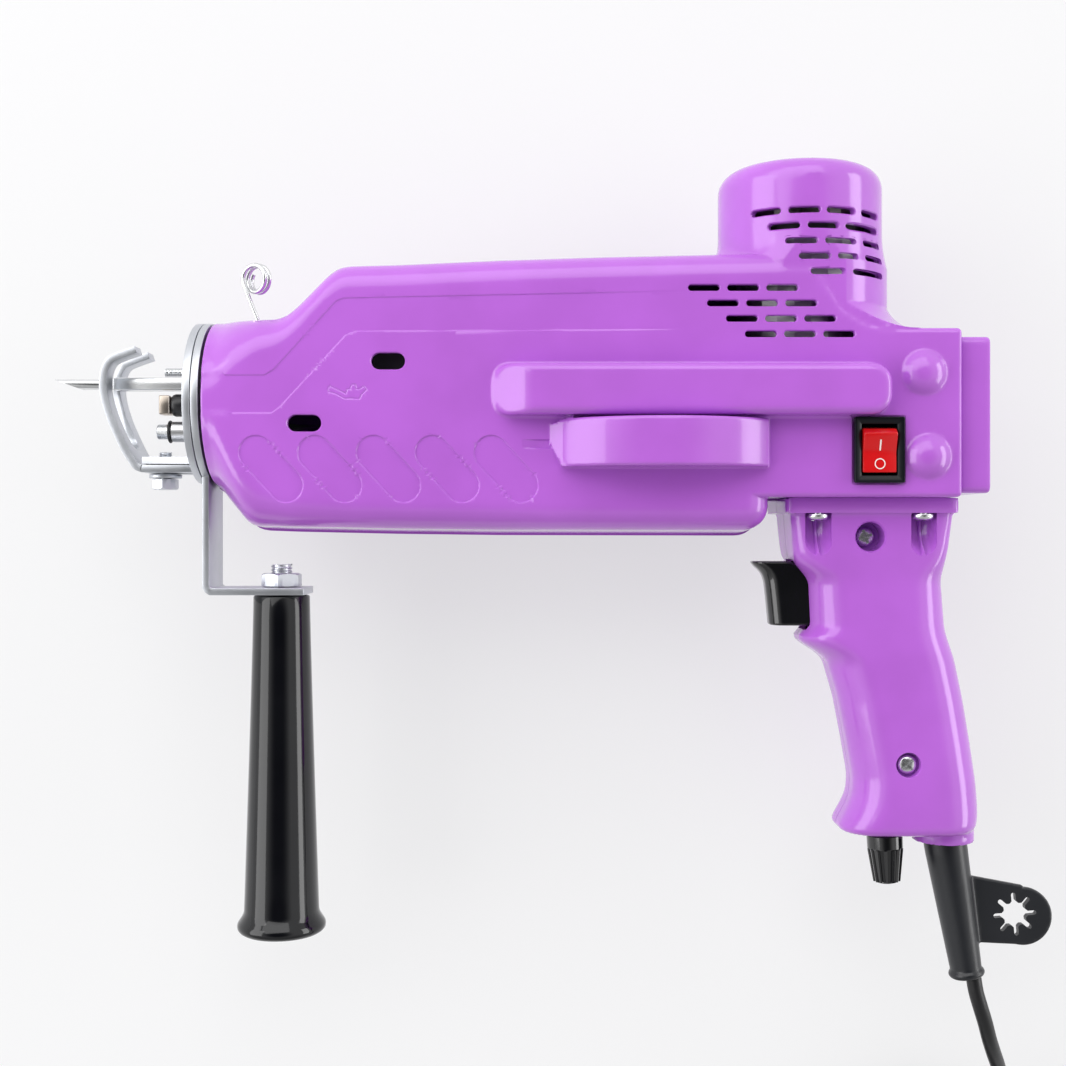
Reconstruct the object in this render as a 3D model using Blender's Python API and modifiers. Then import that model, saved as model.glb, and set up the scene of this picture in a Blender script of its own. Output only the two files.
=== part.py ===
"""Handheld tufting machine, lying on its far side.

X runs from the needle (negative) to the rear cover, Y runs up the motor tower, and Z points up from the
surface that the machine lies on. X and Y are measured from the crankshaft's axis and the line of the
stroke. Heights inside the machine are measured from its parting plane, which lies REST_HEIGHT above the
surface. Lengths are in metres.
"""

import math

import bmesh
import bpy
from mathutils import Vector

# Driving dimensions of the whole machine
REST_HEIGHT = 0.0415
GAP = 0.0003
RUNNING_GAP = 0.0005
OVERRUN = 0.002
WELD = 0.00001
STROKE_RADIUS = 0.012
PLATE_THICKNESS = 0.0023

# Gear pair under the crank bulge. The motor, and with it the tower, the tail and the grip, stands at
# the pair's centre distance from the crank.
HALF_WIDTH = 0.0265
WALL = 0.0025
BULGE_RADIUS = 0.0413
GEAR_BULGE_GAP = 0.00155
GEAR_TEETH = 58
PINION_TEETH = 16
ADDENDUM = 0.001
DEDENDUM = 0.00125
TOOTH_THICKNESS_SHARE = 1.24
GEAR_TIP_RADIUS = BULGE_RADIUS - WALL - GEAR_BULGE_GAP
GEAR_PITCH_RADIUS = GEAR_TIP_RADIUS - ADDENDUM
MODULE = 2 * GEAR_PITCH_RADIUS / GEAR_TEETH
TOOTH_THICKNESS = MODULE * TOOTH_THICKNESS_SHARE
TOWER_X = GEAR_PITCH_RADIUS + MODULE * PINION_TEETH / 2

# Housing
NOSE_RADIUS = 0.0263
NOSE_Y = -0.0025
NOSE_FRONT_X = -0.1437
NOSE_EDGE = 0.0015
TAIL_REACH = 0.04535
TAIL_X = TOWER_X + TAIL_REACH
SHOULDER_X = -0.1206
SHOULDER_RUN = 0.006
SHOULDER_RISE = 0.003
RIDGE_X = -0.0993
RIDGE_Y = 0.0385
CREST_Y = 0.0423
DECK_Y = 0.0188
DECK_LENGTH = 0.0166
DECK_X = TAIL_X - DECK_LENGTH
CHIN_X = -0.1251
CHIN_START_X = -0.1398
BODY_BOTTOM_Y = -0.044
REAR_BOTTOM_Y = -0.0334
BELLY_REACH = 0.01105
BELLY_END_X = TOWER_X - BELLY_REACH
BODY_EDGE = 0.008
DECK_EDGE = 0.0015
TOWER_RADIUS = 0.0263
TOWER_TOP_Y = 0.0715
TOWER_EDGE = 0.007
TOWER_FLARE = 0.009

# Long rail and crank bulge on the housing's sides
RAIL_LEFT_X = -0.0534
RAIL_TAIL_GAP = 0.0232
RAIL_RIGHT_X = TAIL_X - RAIL_TAIL_GAP
RAIL_BOTTOM_Y = -0.0081
RAIL_TOP_Y = 0.0072
RAIL_HEIGHT = 0.0345
RAIL_SLOPE = 0.011
RAIL_EDGE = 0.002
RAIL_CORNER = 0.005
BULGE_HALF_LENGTH = math.sqrt(BULGE_RADIUS**2 - HALF_WIDTH**2)
BULGE_BOTTOM_Y = -0.0242
BULGE_TOP_Y = -0.0094
REST_PAD_HALF_LENGTH = 0.024

# Vents, oil slots and domes
VENT_LENGTH = 0.0098
VENT_HEIGHT = 0.002
VENT_PITCH = 0.01205
VENT_ROW_STEP = 0.00475
VENT_ROW_SHIFT = 0.00584
VENT_FIRST_X = 0.012
VENT_FIRST_Y = 0.031
TOWER_VENT_FIRST_Y = 0.0552
TOWER_VENT_ROWS = (
    ((-45, -23), (-18, 4), (8, 30), (36, 57)),
    ((-32, -10), (-5, 17), (22, 57)),
    ((-20, 2), (7, 30), (36, 57)),
    ((-11, 11), (15, 30), (36, 57)),
    ((-3, 20), (25, 57)),
)
OIL_SLOT_LENGTH = 0.0105
OIL_SLOT_HEIGHT = 0.0052
OIL_SLOT_UPPER = (-0.0852, 0.0084)
OIL_SLOT_LOWER = (-0.111, -0.0107)
DOME_RADIUS = 0.0069
DOME_HEIGHT = 0.0035
DOME_UPPER_INSET = 0.0118
DOME_UPPER = (TAIL_X - DOME_UPPER_INSET, 0.0049)
DOME_LOWER_INSET = 0.0105
DOME_LOWER = (TAIL_X - DOME_LOWER_INSET, -0.021)

# Rear cover
COVER_LENGTH = 0.0095
COVER_HALF_WIDTH = 0.023
COVER_TOP_Y = 0.0166
COVER_BOTTOM_Y = -0.0321
COVER_EDGE = 0.001

# Grip
GRIP_LENGTH = 0.1032
GRIP_DEPTH = 0.054
GRIP_FRONT_REACH = 0.00695
GRIP_FRONT_X = TOWER_X - GRIP_FRONT_REACH
GRIP_HALF_WIDTH = 0.017
GRIP_CORNER = 0.012
FLANGE_HALF_WIDTH = 0.019
FLANGE_THICKNESS = 0.0045
FLANGE_MARGIN = 0.0015
FLANGE_CORNER = 0.003
# Each row: distance down the grip as a share of its length; front and back as shares of its depth;
# half width as a share of the grip's; corner radius as a share of the grip's
GRIP_SECTION_SHARES = (
    (0.000, 0.000, 1.000, 1.00, 0.35),
    (0.113, 0.000, 0.963, 1.00, 0.45),
    (0.144, 0.000, 0.950, 1.00, 0.55),
    (0.206, 0.154, 0.945, 1.00, 0.80),
    (0.357, 0.154, 0.967, 1.00, 1.00),
    (0.364, 0.081, 0.970, 1.00, 1.00),
    (0.393, 0.100, 0.990, 1.00, 1.00),
    (0.424, 0.202, 1.005, 1.00, 1.00),
    (0.456, 0.248, 1.020, 1.00, 1.00),
    (0.579, 0.291, 1.067, 1.00, 1.00),
    (0.704, 0.339, 1.104, 1.00, 1.00),
    (0.828, 0.380, 1.139, 1.00, 1.00),
    (0.890, 0.361, 1.148, 1.00, 1.00),
    (0.922, 0.326, 1.152, 1.00, 1.00),
    (0.953, 0.291, 1.139, 1.00, 0.95),
    (0.983, 0.296, 1.115, 0.93, 0.85),
    (1.000, 0.339, 1.078, 0.80, 0.75),
)
WINDOW_TOP_SHARE = 0.144
WINDOW_BOTTOM_SHARE = 0.357
COLLAR_RADIUS = 0.0097
COLLAR_REACH = 0.0538
COLLAR_X = GRIP_FRONT_X + COLLAR_REACH
COLLAR_DEPTH = 0.0036

# Screws
SCREW_SHANK_RADIUS = 0.0014
SCREW_HEAD_RADIUS = 0.0035
SMALL_HEAD_RADIUS = 0.0027
SCREW_HEAD_HEIGHT = 0.002
SCREW_HOLE_RADIUS = 0.0018
POST_RADIUS = 0.0042

# Needle drive
ROD_RADIUS = 0.0025
UPPER_ROD_Y = 0.010
LOWER_ROD_Y = -0.0115
ROD_HEAD_X = -0.163
NEEDLE_Y = 0.0039
NEEDLE_RADIUS = 0.0017
NEEDLE_BORE_RADIUS = 0.0011
NEEDLE_TIP_X = -0.1965
NEEDLE_SLANT = 0.009
BAR_FRONT_X = -0.177
BAR_HEIGHT = 0.004
BAR_HALF_WIDTH = 0.003
# The rod is long enough for the slider to clear the frame at the end of its stroke
SLIDER_GEAR_REACH = 0.02875
CONROD_LENGTH = GEAR_TIP_RADIUS + SLIDER_GEAR_REACH
CONROD_THICKNESS = 0.006
CONROD_HALF_WIDTH = 0.0045
WRIST_RADIUS = 0.003
WRIST_EYE_RADIUS = 0.006
CRANK_PIN_RADIUS = 0.004
CRANK_EYE_RADIUS = 0.007
SLIDER_FRONT_REACH = 0.014
SLIDER_REAR_REACH = 0.008
SLIDER_HALF_WIDTH = 0.009

# Gear train
GEAR_TOP_Y = -0.0124
GEAR_BOTTOM_Y = -0.0212
HUB_RADIUS = 0.008
CRANKSHAFT_RADIUS = 0.004
BEARING_RADIUS = 0.008
BEARING_WIDTH = 0.005
FRAME_TOP_Y = -0.026
FRAME_PLATE = 0.004
FRAME_HALF_WIDTH = 0.0205
FRAME_FRONT_GAP = 0.00775
FRAME_FRONT_X = -GEAR_TIP_RADIUS - FRAME_FRONT_GAP
ROD_TAIL = 0.0007
ROD_REAR_X = FRAME_FRONT_X + FRAME_PLATE + ROD_TAIL
FRAME_TAIL_REACH = 0.00975
FRAME_REAR_X = TOWER_X + FRAME_TAIL_REACH
FRAME_GEAR_GAP = 0.002
BOSS_RADIUS = 0.011
BOSS_BOTTOM_Y = -0.0406

# Motor
MOTOR_RADIUS = 0.0205
MOTOR_LENGTH = 0.051
MOTOR_WALL = 0.0015
MOTOR_SHAFT_RADIUS = 0.0025
SHELF_TOP_Y = -0.001
SHELF_THICKNESS = 0.003
FAN_RADIUS = 0.0175
FAN_HEIGHT = 0.006

# Front plate, foot, handle
FRONT_RADIUS = 0.026
FOOT_TAB_LENGTH = 0.0163
FOOT_HALF_WIDTH = 0.011
FOOT_SLOT_HALF_WIDTH = 0.0043
FOOT_ADJUSTMENT = 0.008
FOOT_BEND_X = -0.1655
FOOT_BOTTOM_Y = -0.0251
FOOT_BOW = 0.0134
FOOT_RISE = 0.0402
# Outside of the foot, from the bend up to the tips: shares of its bow and of its rise
FOOT_OUTLINE_SHARES = (
    (0.16, 0.03),
    (0.48, 0.18),
    (0.78, 0.40),
    (0.95, 0.57),
    (1.00, 0.69),
    (0.95, 0.82),
    (0.76, 0.93),
    (0.16, 1.00),
)
BOLT_X = -0.1605
BOLT_RADIUS = 0.002
BOLT_TOP_Y = -0.0183
HANDLE_X = -0.1226
HANDLE_TOP_RADIUS = 0.0091
HANDLE_LOW_RADIUS = 0.012
HANDLE_FOOT_RADIUS = 0.0143
HANDLE_LENGTH = 0.1095
STRAP_HALF_WIDTH = 0.010
STRAP_BOTTOM_Y = -0.0644
STRAP_LEG_END_X = -0.1139
STUD_RADIUS = 0.0032
NUT_RADIUS = 0.0069
NUT_HEIGHT = 0.0042

# Cord
CORD_RADIUS = 0.0025
COIL_TURNS_PER_LAYER = 3.379
COIL_INNER_RADIUS = 0.020
COIL_STEP = 0.006
COIL_LAYER_STEP = 0.0064
COIL_CENTRE_X = 0.0888
COIL_CENTRE_Y = -0.280
COIL_START_DEGREES = 3.0
COIL_POINTS_PER_TURN = 24
COIL_TAIL = 0.022
COIL_CLIMB_DIP = 0.0007
PLUG_LENGTH = 0.034
PLUG_HALF_WIDTH = 0.0165
PLUG_HALF_THICKNESS = 0.0065
PLUG_PIN_RADIUS = 0.002
PLUG_PIN_LENGTH = 0.019
PLUG_PIN_SPACING = 0.0185

# Colours and finishes: colour, roughness, metallic
PURPLE = ((0.50, 0.13, 0.72), 0.28, 0.0)
GLOSS_BLACK = ((0.012, 0.012, 0.013), 0.12, 0.0)
SATIN_BLACK = ((0.02, 0.02, 0.022), 0.42, 0.0)
SIGNAL_RED = ((0.66, 0.02, 0.015), 0.25, 0.0)
ZINC = ((0.78, 0.80, 0.80), 0.32, 1.0)
BRIGHT_STEEL = ((0.80, 0.80, 0.81), 0.18, 1.0)
CAST_METAL = ((0.55, 0.56, 0.58), 0.5, 1.0)
BRONZE = ((0.62, 0.43, 0.25), 0.35, 1.0)
NYLON = ((0.80, 0.79, 0.74), 0.45, 0.0)
COPPER = ((0.72, 0.36, 0.2), 0.35, 1.0)

X_AXIS = Vector((1, 0, 0))
Y_AXIS = Vector((0, 1, 0))
Z_AXIS = Vector((0, 0, 1))

for leftover in list(bpy.data.objects):
    bpy.data.objects.remove(leftover, do_unlink=True)

parts = bpy.data.collections.new("tufting_machine")
cutters = bpy.data.collections.new("cutters")
bpy.context.scene.collection.children.link(parts)
bpy.context.scene.collection.children.link(cutters)

machine = bpy.data.objects.new("machine", None)
machine.location = (0, 0, REST_HEIGHT)
parts.objects.link(machine)


def paint(piece, look):
    """Gives a piece its own Principled material."""
    colour, roughness, metallic = look
    finish = bpy.data.materials.new(piece.name)
    finish.use_nodes = True
    shader = finish.node_tree.nodes["Principled BSDF"]
    shader.inputs["Base Color"].default_value = (*colour, 1)
    shader.inputs["Roughness"].default_value = roughness
    shader.inputs["Metallic"].default_value = metallic
    piece.data.materials.clear()
    piece.data.materials.append(finish)
    return piece


def place_object(name, data, place, direction=Z_AXIS):
    """Links an object under the machine, with its own Z axis along the direction."""
    piece = bpy.data.objects.new(name, data)
    piece.location = place
    piece.rotation_mode = "QUATERNION"
    piece.rotation_quaternion = Z_AXIS.rotation_difference(direction)
    piece.parent = machine
    parts.objects.link(piece)
    return piece


def mesh_object(name, shape, place, direction=Z_AXIS, smooth=False):
    mesh = bpy.data.meshes.new(name)
    shape.to_mesh(mesh)
    shape.free()
    if smooth:
        mesh.shade_smooth()
        mesh.set_sharp_from_angle(angle=math.radians(40))
    return place_object(name, mesh, place, direction)


def box(name, low, high):
    """A block between two opposite corners."""
    low = Vector(low)
    high = Vector(high)
    shape = bmesh.new()
    bmesh.ops.create_cube(shape, size=1)
    bmesh.ops.scale(shape, vec=high - low, verts=shape.verts)
    return mesh_object(name, shape, (low + high) / 2)


def rod(name, start, end, radius, sides=20, end_radius=None):
    """A round bar, or a cone where the end radius differs, from one point to another."""
    start = Vector(start)
    end = Vector(end)
    shape = bmesh.new()
    bmesh.ops.create_cone(
        shape,
        cap_ends=True,
        segments=sides,
        radius1=radius,
        radius2=radius if end_radius is None else end_radius,
        depth=(end - start).length,
    )
    return mesh_object(name, shape, (start + end) / 2, (end - start).normalized(), smooth=True)


def turned(name, profile, place, direction, steps=24, closed=False):
    """A profile of (radius, height) pairs, outer side first from top to bottom, turned about its axis."""
    shape = bmesh.new()
    points = [shape.verts.new((radius, 0, height)) for radius, height in profile]
    for first, second in zip(points, points[1:]):
        shape.edges.new((first, second))
    if closed:
        shape.edges.new((points[-1], points[0]))
    piece = mesh_object(name, shape, place, direction)
    spin = piece.modifiers.new("Turn", "SCREW")
    spin.axis = "Z"
    spin.angle = math.tau
    spin.steps = steps
    spin.render_steps = steps
    spin.use_merge_vertices = True
    spin.merge_threshold = WELD
    spin.use_smooth_shade = True
    return piece


def loft(name, rings):
    """A closed skin through rings of equal point counts, capped at both ends."""
    shape = bmesh.new()
    rows = [[shape.verts.new(point) for point in ring] for ring in rings]
    count = len(rows[0])
    for row, following in zip(rows, rows[1:]):
        for i in range(count):
            j = (i + 1) % count
            shape.faces.new((row[i], row[j], following[j], following[i]))
    shape.faces.new(rows[0])
    shape.faces.new(rows[-1])
    bmesh.ops.recalc_face_normals(shape, faces=shape.faces)
    return mesh_object(name, shape, (0, 0, 0), smooth=True)


def rounded_rectangle(low_a, high_a, low_b, high_b, radius, steps=4):
    """Points round a rectangle whose corners are arcs, counter-clockwise from its right side."""
    radius = min(radius, (high_a - low_a) * 0.49, (high_b - low_b) * 0.49)
    corners = (
        (high_a - radius, high_b - radius, 0),
        (low_a + radius, high_b - radius, 90),
        (low_a + radius, low_b + radius, 180),
        (high_a - radius, low_b + radius, 270),
    )
    points = []
    for a, b, start in corners:
        for step in range(steps + 1):
            turn = math.radians(start + 90 * step / steps)
            points.append((a + radius * math.cos(turn), b + radius * math.sin(turn)))
    return points


def plate(name, outlines, thickness, place, direction=Z_AXIS):
    """A flat plate from closed outlines; the inner ones are holes. The place is its middle plane."""
    curve = bpy.data.curves.new(name, "CURVE")
    curve.dimensions = "2D"
    curve.fill_mode = "BOTH"
    curve.extrude = thickness / 2
    for outline in outlines:
        spline = curve.splines.new("POLY")
        spline.points.add(len(outline) - 1)
        for point, (a, b) in zip(spline.points, outline):
            point.co = (a, b, 0, 1)
        spline.use_cyclic_u = True
    return as_mesh(place_object(name, curve, place, direction))


def tube(name, points, radius, resolution):
    """A round wire through the points, with flat ends."""
    curve = bpy.data.curves.new(name, "CURVE")
    curve.dimensions = "3D"
    curve.bevel_depth = radius
    curve.bevel_resolution = resolution
    curve.use_fill_caps = True
    spline = curve.splines.new("POLY")
    spline.points.add(len(points) - 1)
    for point, place in zip(spline.points, points):
        point.co = (*place, 1)
    return place_object(name, curve, (0, 0, 0))


def as_mesh(piece):
    """Turns a curve object into a closed mesh object of the same name and place."""
    bpy.context.view_layer.update()
    graph = bpy.context.evaluated_depsgraph_get()
    mesh = bpy.data.meshes.new_from_object(piece.evaluated_get(graph))
    shape = bmesh.new()
    shape.from_mesh(mesh)
    bmesh.ops.remove_doubles(shape, verts=shape.verts, dist=WELD)
    bmesh.ops.recalc_face_normals(shape, faces=shape.faces)
    shape.to_mesh(mesh)
    shape.free()
    name = piece.name
    place = piece.matrix_world.copy()
    bpy.data.objects.remove(piece, do_unlink=True)
    solid = bpy.data.objects.new(name, mesh)
    parts.objects.link(solid)
    solid.matrix_world = place
    return solid


def combine(piece, tool, operation):
    """Adds a Boolean and puts its tool away with the cutters."""
    change = piece.modifiers.new(tool.name, "BOOLEAN")
    change.operation = operation
    change.object = tool
    change.solver = "EXACT"
    if tool.name in parts.objects:
        parts.objects.unlink(tool)
        cutters.objects.link(tool)
    tool.hide_render = True
    tool.display_type = "WIRE"


def join(piece, *tools):
    for tool in tools:
        combine(piece, tool, "UNION")


def cut(piece, *tools):
    for tool in tools:
        combine(piece, tool, "DIFFERENCE")


def circle(radius, sides, a=0.0, b=0.0):
    return [
        (a + radius * math.cos(math.tau * i / sides), b + radius * math.sin(math.tau * i / sides))
        for i in range(sides)
    ]


def strip(points, thickness):
    """A closed outline of even thickness on the left-hand side of an open line of points."""
    line = [Vector(point) for point in points]
    inner = []
    for i, point in enumerate(line):
        before = line[max(i - 1, 0)]
        after = line[min(i + 1, len(line) - 1)]
        first = (point - before).normalized() if point != before else (after - point).normalized()
        second = (after - point).normalized() if point != after else first
        middle = (first + second).normalized()
        reach = thickness / max(middle.dot(first), 0.5)
        inner.append(point + Vector((-middle.y, middle.x)) * reach)
    return [tuple(point) for point in line] + [tuple(point) for point in reversed(inner)]


def pan_screw(name, head_base, direction, head_radius, shank_length):
    """A pan-head screw. The direction runs from the shank to the head, and the place is under the head."""
    height = SCREW_HEAD_HEIGHT
    profile = (
        (0, height),
        (head_radius * 0.6, height * 0.95),
        (head_radius, height * 0.45),
        (head_radius, 0),
        (SCREW_SHANK_RADIUS, 0),
        (SCREW_SHANK_RADIUS, -shank_length),
        (0, -shank_length),
    )
    return paint(turned(name, profile, head_base, direction, steps=12), BRIGHT_STEEL)


def body_sections(inset, nose_x, tail_x):
    """Cross-sections of the main body along X, drawn in by the inset."""
    nose_bottom = NOSE_Y - NOSE_RADIUS
    nose_top = NOSE_Y + NOSE_RADIUS
    end_radius = BODY_EDGE
    stations = [
        (nose_x, nose_bottom, nose_top, NOSE_RADIUS),
        (CHIN_START_X, nose_bottom, nose_top, NOSE_RADIUS),
        ((CHIN_START_X + CHIN_X) / 2, (nose_bottom + BODY_BOTTOM_Y) / 2, nose_top, NOSE_RADIUS * 0.72),
        (CHIN_X, BODY_BOTTOM_Y, nose_top, BODY_EDGE * 1.5),
        (SHOULDER_X, BODY_BOTTOM_Y, nose_top, BODY_EDGE * 1.3),
        (SHOULDER_X + SHOULDER_RUN, BODY_BOTTOM_Y, nose_top + SHOULDER_RISE, BODY_EDGE * 1.1),
        (RIDGE_X, BODY_BOTTOM_Y, RIDGE_Y, BODY_EDGE),
    ]
    slope = (CREST_Y - RIDGE_Y) / (TOWER_X - RIDGE_X)
    for turn in (0, 30, 60, 80, 90):
        angle = math.radians(turn)
        x = BELLY_END_X - end_radius * (1 - math.sin(angle))
        bottom = BODY_BOTTOM_Y + end_radius * (1 - math.cos(angle))
        stations.append((x, bottom, RIDGE_Y + slope * (x - RIDGE_X), BODY_EDGE))
    stations += [
        (BELLY_END_X + NOSE_EDGE, REAR_BOTTOM_Y, RIDGE_Y + slope * (BELLY_END_X - RIDGE_X), BODY_EDGE),
        (TOWER_X, REAR_BOTTOM_Y, CREST_Y, BODY_EDGE),
        (TOWER_X + BODY_EDGE, REAR_BOTTOM_Y, DECK_Y + BODY_EDGE, BODY_EDGE / 2),
        (DECK_X, REAR_BOTTOM_Y, DECK_Y, DECK_EDGE),
        (tail_x, REAR_BOTTOM_Y, DECK_Y, DECK_EDGE),
    ]
    rings = []
    for x, bottom, top, radius in stations:
        half = min(HALF_WIDTH, NOSE_RADIUS if x <= CHIN_START_X else HALF_WIDTH) - inset
        corner = max(radius - inset, DECK_EDGE / 2)
        ring = rounded_rectangle(bottom + inset, top - inset, -half, half, corner)
        rings.append([Vector((x, y, z)) for y, z in ring])
    return rings


def tower_profile(inset):
    """The motor tower from its top down to a flare inside the body."""
    radius = TOWER_RADIUS - inset
    top = TOWER_TOP_Y - inset
    edge = TOWER_EDGE - inset
    profile = [(0, top)]
    for turn in (90, 60, 30, 0):
        angle = math.radians(turn)
        profile.append((radius - edge + edge * math.cos(angle), top - edge + edge * math.sin(angle)))
    for share in (1.0, 0.45, 0.12, 0.0):
        angle = math.radians(90 * share)
        height = DECK_Y - inset + TOWER_FLARE * (1 - math.cos(angle))
        profile.append((radius + TOWER_FLARE * (1 - math.sin(angle)), height))
    profile.append((radius + TOWER_FLARE, DECK_Y - TOWER_FLARE))
    profile.append((0, DECK_Y - TOWER_FLARE))
    return profile


def rail_rings(inset, base, height, slope):
    """The long rail as sections parallel to the parting plane, from its base outwards."""
    low_y = RAIL_BOTTOM_Y + inset
    high_y = RAIL_TOP_Y - inset
    left = RAIL_LEFT_X + inset
    right = RAIL_RIGHT_X - inset
    side = math.copysign(1, height)
    edge = RAIL_EDGE
    stations = (
        (base, left, right, 0),
        (side * HALF_WIDTH, left, right, 0),
        (height - side * edge, left + slope * 0.75, right, 0),
        (height, left + slope, right - edge / 2, edge / 2),
    )
    rings = []
    for z, low_x, high_x, draw in stations:
        ring = rounded_rectangle(low_x, high_x, low_y + draw, high_y - draw, RAIL_CORNER, steps=2)
        rings.append([Vector((x, y, z)) for x, y in ring])
    return rings


def housing_form(name, inset):
    """The outside of the whole housing, or with an inset the hollow inside it."""
    nose_x = NOSE_FRONT_X - (OVERRUN if inset else 0)
    form = loft(name, body_sections(inset, nose_x, TAIL_X - inset))
    tower = turned(
        name + "_tower", tower_profile(inset), (TOWER_X, 0, 0), Y_AXIS, steps=28
    )
    trim = box(
        name + "_tower_trim",
        (TOWER_X - 2 * TOWER_RADIUS, -TOWER_RADIUS, -HALF_WIDTH + inset + GAP),
        (TAIL_X - inset - GAP, TOWER_TOP_Y + OVERRUN, HALF_WIDTH - inset - GAP),
    )
    combine(tower, trim, "INTERSECT")
    join(form, tower)
    far_height = -REST_HEIGHT + inset
    join(
        form,
        loft(name + "_near_rail", rail_rings(inset, 0, RAIL_HEIGHT - inset, RAIL_SLOPE)),
        loft(name + "_far_rail", rail_rings(inset, 0, far_height, RAIL_SLOPE)),
    )
    low_y = BULGE_BOTTOM_Y + inset
    high_y = BULGE_TOP_Y - inset
    reach = BULGE_HALF_LENGTH - inset
    disc = rod(
        name + "_bulge", (0, low_y, 0), (0, high_y, 0), BULGE_RADIUS - inset, sides=40
    )
    sides = box(
        name + "_bulge_trim",
        (-reach, low_y - OVERRUN, -BULGE_RADIUS),
        (reach, high_y + OVERRUN, BULGE_RADIUS),
    )
    combine(disc, sides, "INTERSECT")
    pad_reach = REST_PAD_HALF_LENGTH - inset
    pad = box(
        name + "_rest_pad",
        (-pad_reach, low_y, far_height),
        (pad_reach, high_y, 0),
    )
    join(form, disc, pad)
    return form


def vent_cutters():
    """Thin bars for the vent slots: flat rows on the side, and rows that follow the tower."""
    bars = []
    shape_low = HALF_WIDTH - 2 * WALL
    shape_high = HALF_WIDTH + OVERRUN
    for row in range(4):
        y = VENT_FIRST_Y - row * VENT_ROW_STEP
        for column in range(3):
            x = VENT_FIRST_X + row * VENT_ROW_SHIFT + column * VENT_PITCH
            bars.append(
                box(
                    f"vent_{row}_{column}",
                    (x, y - VENT_HEIGHT / 2, shape_low),
                    (x + VENT_LENGTH, y + VENT_HEIGHT / 2, shape_high),
                )
            )
    for row, slots in enumerate(TOWER_VENT_ROWS):
        y = TOWER_VENT_FIRST_Y - row * VENT_ROW_STEP
        for column, (start, end) in enumerate(slots):
            bars.append(tower_vent(f"tower_vent_{row}_{column}", y, start, end))
    return bars


def tower_vent(name, y, start, end):
    """One curved bar round the tower's axis between two angles from the near side."""
    steps = max(1, round((end - start) / 12))
    turns = [math.radians(start + (end - start) * step / steps) for step in range(steps + 1)]
    inner = TOWER_RADIUS - 2 * WALL
    outer = TOWER_RADIUS + OVERRUN
    rings = []
    for turn in turns:
        ring = []
        for radius, height in (
            (inner, y - VENT_HEIGHT / 2),
            (outer, y - VENT_HEIGHT / 2),
            (outer, y + VENT_HEIGHT / 2),
            (inner, y + VENT_HEIGHT / 2),
        ):
            ring.append(
                Vector((TOWER_X + radius * math.sin(turn), height, radius * math.cos(turn)))
            )
        rings.append(ring)
    return loft(name, rings)


def oil_slot_cutter(name, centre):
    x, y = centre
    ring = rounded_rectangle(
        x - OIL_SLOT_LENGTH / 2,
        x + OIL_SLOT_LENGTH / 2,
        y - OIL_SLOT_HEIGHT / 2,
        y + OIL_SLOT_HEIGHT / 2,
        OIL_SLOT_HEIGHT / 2,
        steps=3,
    )
    heights = (HALF_WIDTH - 2 * WALL, HALF_WIDTH + OVERRUN)
    return loft(name, [[Vector((a, b, height)) for a, b in ring] for height in heights])


# Places of the screws that hold the housing halves, driven from the far side
HOUSING_SCREW_REAR_INSET = 0.0111
HOUSING_SCREW_REAR_X = TAIL_X - HOUSING_SCREW_REAR_INSET
HOUSING_SCREW_REAR_Y = -0.008
HOUSING_SCREW_FRONT_X = -0.108
HOUSING_SCREW_FRONT_Y = -0.034
HOUSING_SCREW_TOP_X = -0.060
HOUSING_SCREW_TOP_Y = 0.030
HOUSING_SCREW_DEPTH = 0.006
HOUSING_SCREW_PLACES = (
    ("rear", HOUSING_SCREW_REAR_X, HOUSING_SCREW_REAR_Y),
    ("front", HOUSING_SCREW_FRONT_X, HOUSING_SCREW_FRONT_Y),
    ("top", HOUSING_SCREW_TOP_X, HOUSING_SCREW_TOP_Y),
)

# Rocker switch
SWITCH_REACH = 0.0195
SWITCH_X = TOWER_X + SWITCH_REACH
SWITCH_Y = -0.01895
SWITCH_HALF_LENGTH = 0.01015
SWITCH_HALF_WIDTH = 0.00775
SWITCH_RIM = 0.0022
SWITCH_BODY_MARGIN = 0.0013
SWITCH_DEPTH = 0.018
SWITCH_RIM_HEIGHT = 0.0015
ROCKER_PIVOT_DEPTH = 0.003
ROCKER_TILT_DEGREES = 9
ROCKER_RISE = 0.0052
ROCKER_BASE_DEPTH = 0.004

# Places of the grip's fastenings and of the opening for its wires
FLANGE_SCREW_Z = 0.015
FLANGE_SCREW_FRONT_REACH = 0.0099
FLANGE_SCREW_REAR_REACH = 0.0431
FLANGE_SCREW_FRONT_X = GRIP_FRONT_X + FLANGE_SCREW_FRONT_REACH
FLANGE_SCREW_REAR_X = GRIP_FRONT_X + FLANGE_SCREW_REAR_REACH
FLANGE_RECESS_RADIUS = 0.004
FLANGE_RECESS_LENGTH = 0.0115
WIRE_HOLE_HALF_LENGTH = 0.009
WIRE_HOLE_HALF_WIDTH = 0.006
GRIP_TOP_Y = REAR_BOTTOM_Y - GAP
GRIP_BODY_Y = GRIP_TOP_Y - FLANGE_THICKNESS
GRIP_BOTTOM_Y = GRIP_BODY_Y - GRIP_LENGTH


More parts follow.
